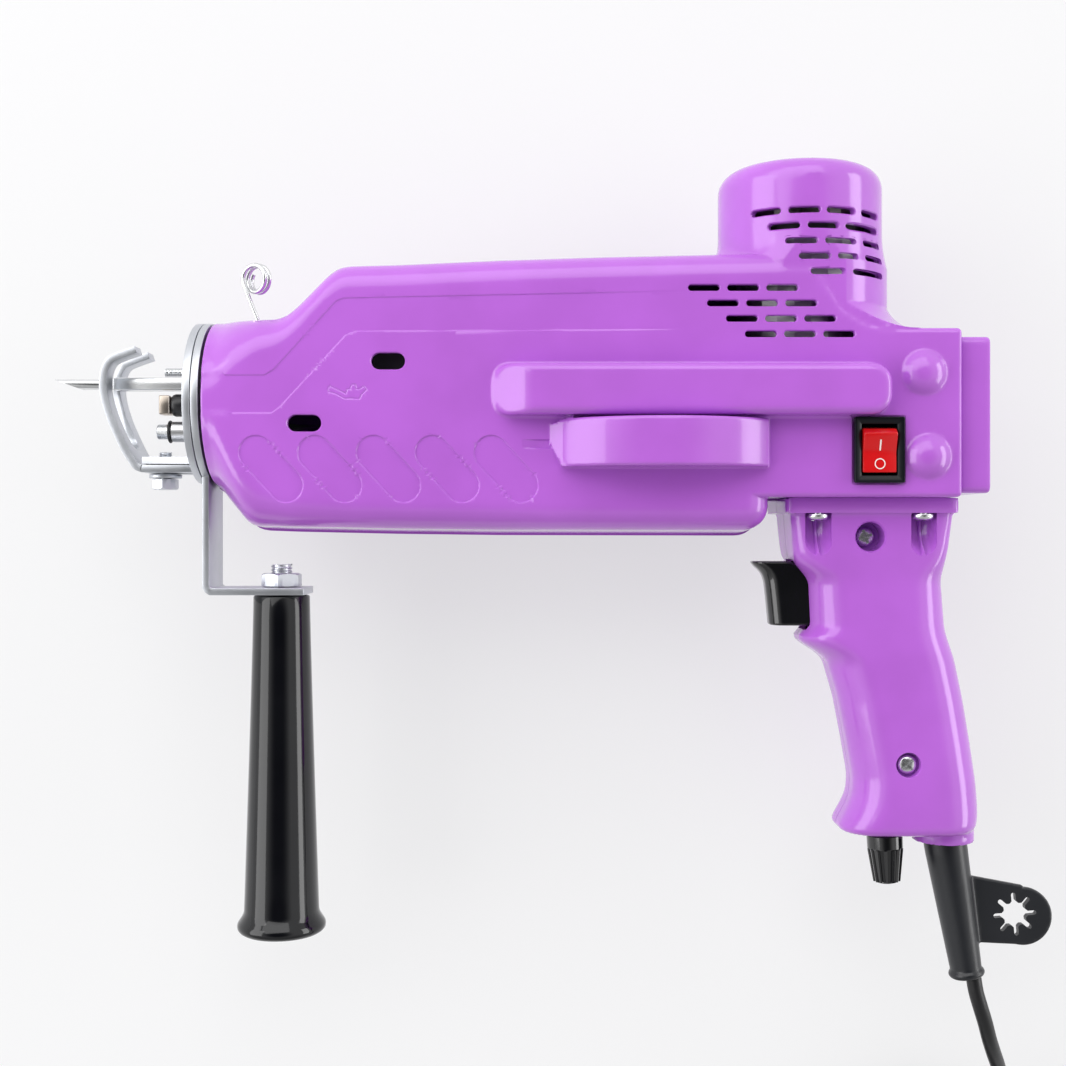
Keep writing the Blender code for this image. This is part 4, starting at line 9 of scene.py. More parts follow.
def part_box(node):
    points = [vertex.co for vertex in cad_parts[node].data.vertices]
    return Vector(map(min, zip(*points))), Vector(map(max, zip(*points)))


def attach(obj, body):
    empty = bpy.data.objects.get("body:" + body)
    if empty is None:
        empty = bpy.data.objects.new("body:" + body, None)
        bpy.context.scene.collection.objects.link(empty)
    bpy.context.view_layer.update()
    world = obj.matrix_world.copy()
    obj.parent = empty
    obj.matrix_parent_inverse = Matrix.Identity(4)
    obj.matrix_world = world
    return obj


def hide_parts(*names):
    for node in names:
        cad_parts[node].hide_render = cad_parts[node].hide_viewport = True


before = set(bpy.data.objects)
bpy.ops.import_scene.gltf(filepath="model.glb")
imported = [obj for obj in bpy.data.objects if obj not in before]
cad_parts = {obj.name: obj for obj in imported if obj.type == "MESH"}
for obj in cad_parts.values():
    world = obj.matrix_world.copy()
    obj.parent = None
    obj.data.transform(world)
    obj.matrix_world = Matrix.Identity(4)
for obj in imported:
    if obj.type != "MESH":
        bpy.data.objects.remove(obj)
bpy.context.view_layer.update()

# Camera. The photograph looks straight down at the machine, which lies on its far side on a white
# table. Machine coordinates: X and Y as in the frame, z from the parting plane, REST_HEIGHT above
# the table.
REST_HEIGHT = 0.0415
CAMERA_PLACE = (-0.0406, -0.0445, REST_HEIGHT + 0.457)
PHOTO_SIZE = 1066
FOCAL_PIXELS = 1400
SENSOR_WIDTH = 36


def linked(name, data):
    """A new object in the scene."""
    made = bpy.data.objects.new(name, data)
    bpy.context.scene.collection.objects.link(made)
    return made


camera_data = bpy.data.cameras.new("camera")
camera_data.sensor_width = SENSOR_WIDTH
camera_data.lens = SENSOR_WIDTH * FOCAL_PIXELS / PHOTO_SIZE
camera_data.clip_start, camera_data.clip_end = 0.01, 20
camera = linked("camera", camera_data)
camera.location = CAMERA_PLACE
bpy.context.scene.camera = camera
bpy.context.scene.view_settings.view_transform = "Standard"

# Table and light. A white table under a big soft lamp beyond the motor tower, with a paler fill
# from the needle's side, as in a product photograph.
TABLE_SIZE = 8.0
TABLE_GREY = 0.86
TABLE_WHITE = (0.905, 0.905, 0.915, 1)
TABLE_SHADE_SHARE = 0.62
TABLE_ROUGHNESS = 0.75
SKY_LEVELS = (0.98, 0.06)  # at the horizon and overhead
SKY_EDGE = (0.72, 0.985)  # the heights between which one turns into the other
SKY_FRONT = (0.45, -0.9, -0.1)  # share of light from the near side, and where it begins and ends
LAMP_AIM = (0.0, 0.0, 0.05)
LAMPS = (
    # name, place, width, height, power
    ("key", (-0.25, 0.90, 1.05), 1.7, 1.1, 9.0),
    ("fill", (-1.30, 0.10, 0.76), 1.5, 0.90, 11.0),
    ("rim", (1.35, 0.05, 0.44), 1.5, 0.46, 8.5),
)

half_table = TABLE_SIZE / 2
table_mesh = bpy.data.meshes.new("table")
table_corners = ((-1, -1, 0), (1, -1, 0), (1, 1, 0), (-1, 1, 0))
table_corners = [[half_table * along_side for along_side in corner] for corner in table_corners]
table_mesh.from_pydata(table_corners, [], [(0, 1, 2, 3)])
table = linked("table", table_mesh)


class Maths:
    """A shader socket that takes part in Python expressions."""

    def __init__(self, tree, socket):
        self.tree = tree
        self.socket = socket

    def node(self, kind, inputs=(), **settings):
        """Adds a node with its settings and its inputs, and returns it."""
        made = self.tree.nodes.new(kind)
        for name, value in settings.items():
            setattr(made, name, value)
        for key, value in dict(inputs).items():
            if isinstance(value, Maths):
                self.tree.links.new(value.socket, made.inputs[key])
            else:
                made.inputs[key].default_value = value
        return made

    def read(self, kind, output=0, inputs=(), **settings):
        """Adds a node and returns one of its outputs."""
        return Maths(self.tree, self.node(kind, inputs, **settings).outputs[output])

    def _math(self, operation, first, second=0.0):
        return self.read("ShaderNodeMath", inputs={0: first, 1: second}, operation=operation)

    def __add__(self, other):
        return self._math("ADD", self, other)

    __radd__ = __add__

    def __sub__(self, other):
        return self._math("SUBTRACT", self, other)

    def __rsub__(self, other):
        return self._math("SUBTRACT", other, self)

    def __mul__(self, other):
        return self._math("MULTIPLY", self, other)

    __rmul__ = __mul__

    def between(self, low, high):
        """0 below low and 1 above high, smooth in between."""
        ends = {"Value": self, "From Min": low, "From Max": high}
        return self.read("ShaderNodeMapRange", inputs=ends, interpolation_type="SMOOTHSTEP")

    def noise(self, scale, detail=2.0, roughness=0.5):
        """Noise over this vector."""
        sizes = {"Scale": scale, "Detail": detail, "Roughness": roughness}
        return self.read("ShaderNodeTexNoise", inputs={"Vector": self, **sizes})

    def stretched(self, scale):
        """This vector with its axes scaled."""
        return self.read("ShaderNodeMapping", inputs={"Vector": self, "Scale": scale})

    def mix(self, first, second):
        """Two colours mixed by this factor."""
        return self.read("ShaderNodeMix", 2, {0: self, 6: first, 7: second}, data_type="RGBA")

    def bump(self, distance, strength=1.0):
        """A normal from this height."""
        inputs = {"Height": self, "Distance": distance, "Strength": strength}
        return self.read("ShaderNodeBump", inputs=inputs)

    def feed(self, socket):
        """Links this to a node's input."""
        self.tree.links.new(self.socket, socket)


def finish_of(name, colour, roughness, **constants):
    """A Principled finish, and the object's own coordinates to pattern it by."""
    material = bpy.data.materials.new(name)
    material.use_nodes = True
    tree = material.node_tree
    shader = tree.nodes["Principled BSDF"]
    shader.inputs["Base Color"].default_value = (*colour, 1)
    shader.inputs["Roughness"].default_value = roughness
    for socket, value in constants.items():
        shader.inputs[socket.replace("_", " ")].default_value = value
    place = Maths(tree, tree.nodes.new("ShaderNodeTexCoord").outputs["Object"])
    return material, shader, place


table_finish, table_shader, table_place = finish_of("table", (TABLE_GREY,) * 3, TABLE_ROUGHNESS)
table_tree = table_finish.node_tree
table_glow = table_place.node("ShaderNodeEmission", {"Color": TABLE_WHITE, "Strength": 1.0})
seen_by = table_tree.nodes.new("ShaderNodeLightPath")
seen, mirrored, through = (
    Maths(table_tree, seen_by.outputs[f"Is {kind} Ray"])
    for kind in ("Camera", "Glossy", "Transmission")
)
table_mix = table_tree.nodes.new("ShaderNodeMixShader")
((seen + mirrored + through) * TABLE_SHADE_SHARE).feed(table_mix.inputs[0])
table_tree.links.new(table_shader.outputs[0], table_mix.inputs[1])
table_tree.links.new(table_glow.outputs[0], table_mix.inputs[2])
table_tree.links.new(table_mix.outputs[0], table_tree.nodes["Material Output"].inputs["Surface"])
table.data.materials.append(table_finish)

sky = bpy.data.worlds.new("sky")
sky.use_nodes = True
bpy.context.scene.world = sky
sky_tree = sky.node_tree
sky_path = sky_tree.nodes.new("ShaderNodeLightPath")
sky_seen = Maths(sky_tree, sky_path.outputs["Is Camera Ray"])
sky_way = Maths(sky_tree, sky_tree.nodes.new("ShaderNodeTexCoord").outputs["Generated"])
sky_height = sky_way.read("ShaderNodeSeparateXYZ", "Z", inputs={0: sky_way})
sky_depth = sky_way.read("ShaderNodeSeparateXYZ", "Y", inputs={0: sky_way})
sky_level = sky_height.between(*SKY_EDGE) * (SKY_LEVELS[1] - SKY_LEVELS[0]) + SKY_LEVELS[0]
sky_front = sky_depth.between(*SKY_FRONT[1:]) * (1 - SKY_FRONT[0]) + SKY_FRONT[0]
sky_level = sky_level * sky_front
sky_back = sky_tree.nodes["Background"]
sky_back.inputs["Color"].default_value = (1, 1, 1, 1)
(sky_seen * (1 - sky_level) + sky_level).feed(sky_back.inputs["Strength"])

for name, place, width, height, power in LAMPS:
    lamp_data = bpy.data.lights.new(name, "AREA")
    lamp_data.shape = "RECTANGLE"
    lamp_data.size = width
    lamp_data.size_y = height
    lamp_data.energy = power
    lamp = linked(name, lamp_data)
    lamp.location = place
    lamp.rotation_mode = "QUATERNION"
    lamp.rotation_quaternion = (Vector(LAMP_AIM) - Vector(place)).to_track_quat("-Z", "Y")

# Power cord. Round black vinyl mains lead, 5 mm thick. It leaves the rubber sleeve, drops to the
# table, and its spare length is put away as a coil of two layers.
CORD_RADIUS = 0.0025
CORD_GAP = 0.0003
CORD_OFFSET = 0.002
CORD_BLACK = (0.007, 0.007, 0.008)
SLEEVE_X = 0.0931
SLEEVE_TOP_Y = -0.14068
SLEEVE_TILT = math.radians(9.4)
SLEEVE_LENGTH = 0.0490
CORD_ROUTE = (
    (0.1053, -0.1985, 0.0412), (0.1077, -0.2050, 0.0392), (0.1101, -0.2115, 0.0360),
    (0.1131, -0.2180, 0.0315), (0.1163, -0.2242, 0.0260), (0.1190, -0.2302, 0.0198),
    (0.1216, -0.2360, 0.0138), (0.1240, -0.2418, 0.0088), (0.1260, -0.2476, 0.0052),
    (0.1276, -0.2535, 0.0032), (0.1286, -0.2600, 0.0027),
)
COIL_TURNS_PER_LAYER = 3.379
COIL_INNER_RADIUS = 0.020
COIL_STEP = 0.006
COIL_LAYER_STEP = 0.0064
COIL_CENTRE = (0.0888, -0.280)
COIL_START = math.radians(3.0)
COIL_POINTS_PER_TURN = 32
COIL_CLIMB_DIP = 0.0007
COIL_TAIL = 0.022
COIL_CLIMB = 0.5  # of a turn, from one layer to the next


def coil_point(wound):
    """The cord's centre after so many turns: in on the table, up, and out again above itself."""
    reach = COIL_STEP * COIL_TURNS_PER_LAYER
    height = CORD_RADIUS + CORD_GAP
    if wound < COIL_TURNS_PER_LAYER:
        radius = COIL_INNER_RADIUS + reach - COIL_STEP * wound
    elif wound < COIL_TURNS_PER_LAYER + COIL_CLIMB:
        share = (wound - COIL_TURNS_PER_LAYER) / COIL_CLIMB
        radius = COIL_INNER_RADIUS - COIL_CLIMB_DIP * math.sin(math.pi * share)
        height += COIL_LAYER_STEP * share * share * (3 - 2 * share)
    else:
        radius = COIL_INNER_RADIUS + COIL_STEP * (wound - COIL_TURNS_PER_LAYER - COIL_CLIMB)
        height += COIL_LAYER_STEP
    turn = COIL_START - math.tau * wound
    x = COIL_CENTRE[0] + radius * math.cos(turn)
    y = COIL_CENTRE[1] + radius * math.sin(turn)
    return Vector((x, y, height))


def smooth_through(route, steps):
    """Points on a smooth curve through the route."""
    line = [Vector(point) for point in route]
    points = []
    for i, (start, end) in enumerate(zip(line, line[1:])):
        before = line[max(i - 1, 0)]
        after = line[min(i + 2, len(line) - 1)]
        for step in range(steps):
            t = step / steps
            linear = 2 * start + (end - before) * t
            square = (2 * before - 5 * start + 4 * end - after) * t * t
            cube = (3 * start - before - 3 * end + after) * t * t * t
            points.append(0.5 * (linear + square + cube))
    points.append(line[-1])
    return points


sleeve_axis = Vector((math.sin(SLEEVE_TILT), -math.cos(SLEEVE_TILT), 0))
sleeve_side = Vector((math.cos(SLEEVE_TILT), math.sin(SLEEVE_TILT), 0))
sleeve_top = Vector((SLEEVE_X, SLEEVE_TOP_Y, REST_HEIGHT))
cord_exit = sleeve_top + sleeve_axis * (SLEEVE_LENGTH + CORD_GAP) + sleeve_side * CORD_OFFSET
coil_turns = 2 * COIL_TURNS_PER_LAYER + COIL_CLIMB
coil_count = round(coil_turns * COIL_POINTS_PER_TURN)
winding = [coil_point(coil_turns * i / coil_count) for i in range(coil_count + 1)]
way_in = Vector((-math.sin(COIL_START), math.cos(COIL_START), 0))
coil_end_turn = COIL_START - math.tau * coil_turns
way_out = Vector((math.sin(coil_end_turn), -math.cos(coil_end_turn), 0))
coil_start = winding[0] + way_in * 4 * CORD_RADIUS
free_route = [cord_exit, cord_exit + sleeve_axis * 2 * CORD_RADIUS, *CORD_ROUTE, coil_start]
cord_end = winding[-1] + way_out * COIL_TAIL
cord_points = [
    *smooth_through(free_route, steps=3)[:-1],
    coil_start,
    winding[0] + way_in * 2 * CORD_RADIUS,
    *winding,
    winding[-1] + way_out * COIL_TAIL / 2,
    cord_end,
]

cord_curve = bpy.data.curves.new("power_cord", "CURVE")
cord_curve.dimensions = "3D"
cord_curve.bevel_depth = CORD_RADIUS
cord_curve.bevel_resolution = 5
cord_curve.use_fill_caps = True
cord_spline = cord_curve.splines.new("POLY")
cord_spline.points.add(len(cord_points) - 1)
for point, place in zip(cord_spline.points, cord_points):
    point.co = (*place, 1)
cord = linked("power_cord", cord_curve)
cord_spline.use_smooth = True
cord_finish, cord_shader, cord_place = finish_of(
    "cord_vinyl", CORD_BLACK, 0.38, Specular_IOR_Level=0.45
)
cord_cloud = cord_place.noise(900, detail=3)
(cord_cloud * 0.18 + 0.30).feed(cord_shader.inputs["Roughness"])
cord_cloud.bump(0.00004, 0.5).feed(cord_shader.inputs["Normal"])
cord_curve.materials.append(cord_finish)
cord_length = sum((b - a).length for a, b in zip(cord_points, cord_points[1:]))
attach(cord, "machine")
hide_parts("cord", "cord_coil")

# Housing. Two glossy purple mouldings, near and far, meet on the parting plane and are screwed
# together from the far side. Nose, ramp, belly, motor tower, side rails and crank bulges are one
# skin with a wall of even thickness.
PURPLE = (0.43, 0.120, 0.60)
WALL = 0.0023
SEAM_GAP = 0.0003
HALF_WIDTH = 0.0265
NOSE_X = -0.1437
TAIL_X = 0.0916
NOSE_EDGE = 0.0014
TOP_LINE = (
    (-0.1437, 0.0236), (-0.1350, 0.0233), (-0.1265, 0.0227), (-0.1208, 0.0227),
    (-0.1172, 0.0239), (-0.1139, 0.0265), (-0.1043, 0.0361), (-0.1010, 0.0383),
    (-0.0975, 0.0389), (-0.0823, 0.0393), (-0.0509, 0.0407), (-0.0196, 0.0417),
    (0.0463, 0.0432), (0.0543, 0.0268), (0.0620, 0.0215), (0.0700, 0.0192), (0.0750, 0.0188),
    (0.0916, 0.0188),
)
BOTTOM_LINE = (
    (-0.1437, -0.0290), (-0.1410, -0.0306), (-0.1306, -0.0420), (-0.1274, -0.0431),
    (-0.1167, -0.0435), (-0.0840, -0.0442), (-0.0514, -0.0446), (0.0916, -0.0449),
)
BOTTOM_DRAFT = 0.0016
DRAFT_ENDS = ((-0.1400, 0.0), (-0.1250, 1.0))
BELLY_END_X = 0.0328
BELLY_ROUND = 0.0078
TAIL_BOTTOM_Y = -0.0334
TAIL_EDGE = 0.0016
FAR_LIP = 0.0006
LIP_HEIGHT = 0.0040
CORNER_LINE = (
    (-0.1437, 0.0263), (-0.1405, 0.0263), (-0.1335, 0.0180), (-0.1265, 0.0120),
    (-0.1150, 0.0090), (-0.0993, 0.0080), (0.0463, 0.0080), (0.0543, 0.0040), (0.0750, 0.0018),
    (0.0916, 0.0018),
)
LINE_EASE = 0.0012
TOWER_X = 0.04625
TOWER_RADIUS = 0.0263
TOWER_TOP = 0.0726
TOWER_EDGE = 0.0068
TOWER_FLARE = 0.0150
TOWER_SKIRT = (0.0016, 0.0400, 0.0520)
DECK_Y = 0.0188
TOWER_FOOT_FILLET = 0.0060
RAIL_X = (-0.0534, 0.0684)
RAIL_Y = (-0.0084, 0.0072)
RAIL_HEIGHT = 0.0345
RAIL_CORNER = 0.0060
RAIL_EDGE = 0.0026
RAIL_SLOPE_RUN = 0.011
BULGE_RADIUS = 0.0413
BULGE_HALF_LENGTH = 0.0317
BULGE_Y = (-0.0242, -0.0094)
BULGE_RISE = 0.0123
BULGE_EDGE = 0.0010
WING_X = -0.0355
WING_SLANT_Y = -0.0165
WING_FALL = -0.0012
FOLD_Y = -0.0178
FOLD_SLOPE = 0.035
FOLD_ENDS = ((-0.140, 0.0), (-0.128, 1.0), (-0.046, 1.0), (-0.034, 0.0))
PAD_HALF_LENGTH = 0.024
DOMES = ((0.0798, 0.0049), (0.0811, -0.0210))
DOME_RADIUS = 0.0069
DOME_HEIGHT = 0.0035
CREASE = 0.0006
FILLET_FADE = (1.6, 0.3, 0.02)  # how the tower's fillet thins out towards the side faces
NET_LOW_Y = -0.048
NET_HIGH_Z = 0.045
NET_MARGIN = 0.004
NET_OVERLAP = 0.003
NEAR_STEP = 0.00135
FAR_STEP = 0.0017
BEND_ANGLE = 14


def along(stations, place, ease=LINE_EASE):
    """A value through (place, value) stations, its corners eased."""
    places, values = zip(*stations)
    shifts = (-1, -0.5, 0, 0.5, 1)
    return sum(np.interp(place + shift * ease, places, values) for shift in shifts) / len(shifts)


def rounded_box(a, b, half_a, half_b, corner):
    """Distance to a rectangle with round corners, centred on the origin."""
    over_a = np.abs(a) - (half_a - corner)
    over_b = np.abs(b) - (half_b - corner)
    outside = np.hypot(np.maximum(over_a, 0), np.maximum(over_b, 0))
    return outside + np.minimum(np.maximum(over_a, over_b), 0) - corner


def both(first, second, edge):
    """What lies in two shapes, with the edge between them rounded."""
    outside = np.hypot(np.maximum(first + edge, 0), np.maximum(second + edge, 0))
    return np.minimum(np.maximum(first, second), -edge) + outside


def either(first, second, fillet):
    """What lies in one shape or the other, with a fillet between them."""
    inside = np.hypot(np.maximum(fillet - first, 0), np.maximum(fillet - second, 0))
    return np.maximum(np.minimum(first, second), fillet) - inside


def body(x, y, z):
    """The long body: a circle at the nose that turns into a rectangle with round corners."""
    top = along(TOP_LINE, x)
    bottom = along(BOTTOM_LINE, x)
    half = (top - bottom) / 2
    corner = np.minimum(along(CORNER_LINE, x), half - CREASE / 4)
    lean = FOLD_SLOPE * np.maximum(FOLD_Y - y, 0) * along(FOLD_ENDS, x) * (z > 0)
    low = np.clip(((top + bottom) / 2 - y) / half, 0, 1) * along(DRAFT_ENDS, x)
    draft = BOTTOM_DRAFT * low * np.minimum(np.abs(z) / HALF_WIDTH, 1)
    section = rounded_box(y - draft - (top + bottom) / 2, z + lean, half, HALF_WIDTH, corner)
    belly = both(section, x - BELLY_END_X, BELLY_ROUND)
    tail = both(section, TAIL_BOTTOM_Y - y, TAIL_EDGE)
    return both(np.minimum(belly, tail), np.maximum(NOSE_X - x, x - TAIL_X), NOSE_EDGE)


def tower(x, y, z):
    """The motor tower: round, with a soft top edge and a foot that flares into the deck."""
    height = np.clip((DECK_Y + TOWER_FLARE - y) / TOWER_FLARE, 0, 1)
    skirt, skirt_low, skirt_high = TOWER_SKIRT
    widening = np.clip((skirt_high - y) / (skirt_high - skirt_low), 0, 1) ** 2
    flare = TOWER_FLARE * (1 - np.sqrt(1 - height * height))
    radius = TOWER_RADIUS + np.maximum(skirt * widening, flare)
    wall = np.hypot(x - TOWER_X, z) - radius
    round_part = both(wall, y - TOWER_TOP, TOWER_EDGE)
    return np.maximum(np.maximum(round_part, np.abs(z) - HALF_WIDTH + CREASE / 2), -y)


def middle_and_half(ends):
    """The middle between two ends, and half of what lies between them."""
    return sum(ends) / 2, (ends[1] - ends[0]) / 2


def rail(x, y, z, height):
    """A long raised rail on one side, with a sloping front end."""
    middle_x, half_x = middle_and_half(RAIL_X)
    middle_y, half_y = middle_and_half(RAIL_Y)
    plan = rounded_box(x - middle_x, y - middle_y, half_x, half_y, RAIL_CORNER)
    raised = both(plan, z - height, RAIL_EDGE)
    rise = height - HALF_WIDTH
    slope = math.hypot(rise, RAIL_SLOPE_RUN)
    front = ((z - HALF_WIDTH) * RAIL_SLOPE_RUN - (x - RAIL_X[0]) * rise) / slope
    return np.maximum(both(raised, front, NOSE_EDGE), -z)


def bulge(x, y, z):
    """The drum over the crank gear, cut off flat at both ends."""
    middle, half = middle_and_half(BULGE_Y)
    radius = (BULGE_HALF_LENGTH**2 + BULGE_RISE**2) / (2 * BULGE_RISE)
    reach = np.hypot(x, np.abs(z) - BULGE_RADIUS + radius) - radius
    drum = both(reach, np.abs(y - middle) - half, BULGE_EDGE)
    return np.maximum(both(drum, np.abs(x) - BULGE_HALF_LENGTH, BULGE_EDGE / 2), -z)


def wing(x, y, z):
    """The sloping facet in front of the bulge, which narrows towards its lower edge."""
    run = -BULGE_HALF_LENGTH - WING_X
    rise = BULGE_RADIUS - BULGE_RISE - HALF_WIDTH
    slope = math.hypot(run, rise)
    top = ((z - HALF_WIDTH) * run - (x - WING_X) * rise) / slope
    lower = (WING_SLANT_Y - y) * run - (x - WING_X) * (WING_SLANT_Y - BULGE_Y[0])
    lower = lower / math.hypot(run, WING_SLANT_Y - BULGE_Y[0])
    upper = y - BULGE_Y[1] + (x - WING_X) / run * WING_FALL - WING_FALL
    sides = np.maximum(upper + BULGE_EDGE / 2, BULGE_Y[0] - y)
    block = np.maximum(np.maximum(top, lower), sides)
    return np.maximum(np.maximum(block, np.abs(x - WING_X - run) - run), -z)


def dome(x, y, z, centre):
    """A low round boss over a screw post."""
    ball = (DOME_RADIUS**2 + DOME_HEIGHT**2) / (2 * DOME_HEIGHT)
    sunk = HALF_WIDTH + DOME_HEIGHT - ball
    return np.sqrt((x - centre[0]) ** 2 + (y - centre[1]) ** 2 + (z - sunk) ** 2) - ball


PILL_FIRST = (-0.1213, -0.0248)
PILL_PITCH = 0.0181
PILL_COUNT = 5
PILL_HALF_RUN = (0.00455, -0.0050)
PILL_RADIUS = 0.00535
PILL_DEPTH = 0.00045
BAND_DEPTH = 0.0003
BAND_FADE = 0.03
RELIEF_SLOPE = 0.0004
DENT_CORNER_SHARE = 0.9
RELIEF_SIZES = (0.0008, 0.00045, 0.00026)
CAN_LINE = (
    (-0.1038, -0.0002), (-0.1031, 0.0008), (-0.1023, 0.0004), (-0.0982, -0.0016),
    (-0.0977, -0.0002), (-0.0969, -0.0002), (-0.0964, 0.0012), (-0.0953, 0.0012),
    (-0.0950, -0.0001), (-0.0943, -0.0003), (-0.0926, 0.0007), (-0.0918, -0.0004),
    (-0.0932, -0.0017), (-0.0939, -0.0032), (-0.0986, -0.0031), (-0.1012, -0.0017),
    (-0.1035, -0.0010), (-0.1038, -0.0002),
)
CAN_DEPTH = 0.00022
CAN_HALF_LINE = 0.00016
DENT_CENTRE = (-0.0388, -0.0171)
DENT_HALF = (0.0052, 0.0013)
DENT_DEPTH = 0.0007
BAND_UPPER = (
    (-0.1350, 0.0041), (-0.1233, 0.0041), (-0.1206, 0.0057), (-0.1012, 0.0269),
    (-0.0988, 0.0278), (0.0066, 0.0300),
)
BAND_LOWER = (
    (-0.1330, -0.0076), (-0.1210, -0.0076), (-0.1182, -0.0054), (-0.0982, 0.0164),
    (-0.0949, 0.0175), (0.0066, 0.0181),
)


def to_line(x, y, start, end):
    """Distance to a straight piece of line."""
    run = (end[0] - start[0], end[1] - start[1])
    share = ((x - start[0]) * run[0] + (y - start[1]) * run[1]) / (run[0] ** 2 + run[1] ** 2)
    share = np.clip(share, 0, 1)
    return np.hypot(x - start[0] - run[0] * share, y - start[1] - run[1] * share)


def above_line(x, y, line):
    """Distance to a line of several pieces, less than nothing below it."""
    near = np.minimum.reduce([to_line(x, y, a, b) for a, b in zip(line, line[1:])])
    places, values = zip(*line)
    return np.where(y > np.interp(x, places, values), near, -near)


def pills(x, y):
    """Distance to the row of slanting pills."""
    a, b = PILL_HALF_RUN
    rows = []
    for i in range(PILL_COUNT):
        middle = (PILL_FIRST[0] + PILL_PITCH * i, PILL_FIRST[1])
        start = (middle[0] - a, middle[1] - b)
        end = (middle[0] + a, middle[1] + b)
        rows.append(to_line(x, y, start, end) - PILL_RADIUS)
    return np.minimum.reduce(rows)


def band(x, y):
    """Distance to the shallow band that climbs from the nose to the top of the body."""
    between = np.maximum(above_line(x, y, BAND_UPPER), -above_line(x, y, BAND_LOWER))
    return np.maximum(between, x - BAND_UPPER[-1][0])


def oil_can(x, y):
    """Distance to the drawn line of the oil can, the sign for the slots below and above it."""
    sides = zip(CAN_LINE, CAN_LINE[1:])
    return np.minimum.reduce([to_line(x, y, a, b) for a, b in sides]) - CAN_HALF_LINE


def dent(x, y):
    """Distance to the small dent in front of the bulge."""
    corner = DENT_HALF[1] * DENT_CORNER_SHARE
    return rounded_box(x - DENT_CENTRE[0], y - DENT_CENTRE[1], *DENT_HALF, corner)


def sunk(distance):
    """1 inside an outline and 0 outside it, with a soft slope between."""
    share = np.clip(0.5 - distance / RELIEF_SLOPE, 0, 1)
    return share * share * (3 - 2 * share)


def relief(x, y):
    """How deep the near side is sunk."""
    tail = np.clip((BAND_UPPER[-1][0] - x) / BAND_FADE, 0, 1)
    depth = PILL_DEPTH * sunk(pills(x, y)) + BAND_DEPTH * tail * sunk(band(x, y))
    run_in = np.clip((x - DENT_CENTRE[0] + DENT_HALF[0]) / DENT_HALF[0], 0, 1)
    return depth + CAN_DEPTH * sunk(oil_can(x, y)) + DENT_DEPTH * run_in * sunk(dent(x, y))


def housing_shape(x, y, z):
    """The outside of the whole housing, without its openings."""
    share, offset, least = FILLET_FADE
    fade = np.clip((HALF_WIDTH - np.abs(z)) / HALF_WIDTH * share - offset, least, 1)
    shape = body(x, y, z) + relief(x, y) * (z > HALF_WIDTH / 2)
    shape = either(shape, tower(x, y, z), TOWER_FOOT_FILLET * fade)
    shape = either(shape, rail(x, y, z, RAIL_HEIGHT), 2 * CREASE)
    shape = either(shape, rail(x, y, -z, REST_HEIGHT), 2 * CREASE)
    shape = either(shape, bulge(x, y, z), CREASE)
    shape = np.minimum(shape, wing(x, y, z))
    middle, half = middle_and_half(BULGE_Y)
    pad = rounded_box(x, y - middle, PAD_HALF_LENGTH, half, BULGE_EDGE)
    pad = np.maximum(both(pad, -z - REST_HEIGHT, BULGE_EDGE), z)
    shape = np.minimum(shape, pad)
    for centre in DOMES:
        shape = either(shape, dome(x, y, z, centre), CREASE)
    return shape


def far_housing_shape(x, y, z):
    """The far half's outside: the same, with a lip under the near half's lower edge."""
    lip = np.maximum(housing_shape(x, y + FAR_LIP, z), -LIP_HEIGHT - z)
    return np.minimum(housing_shape(x, y, z), lip)


NUDGE = 1e-5
LEAST_STEEP = 0.05
SETTLE_ROUNDS = 4
ON_SKIN = 2e-5
LEAST_SLOPE = 1e-6
MERGE = 1e-6  # points nearer than this are one


def slope_of(shape, points):
    """How fast the distance grows along each axis."""
    parts = []
    for axis in range(3):
        ahead = points.copy()
        ahead[:, axis] += NUDGE
        behind = points.copy()
        behind[:, axis] -= NUDGE
        parts.append((shape(*ahead.T) - shape(*behind.T)) / (2 * NUDGE))
    return np.stack(parts, axis=1)


def settle(shape, points, limit):
    """Moves points onto the shape's surface."""
    for _ in range(SETTLE_ROUNDS):
        slope = slope_of(shape, points)
        steep = np.maximum((slope**2).sum(axis=1), LEAST_STEEP)
        move = np.clip(shape(*points.T) / steep, -limit, limit)
        points = points - slope * move[:, None]
    return points


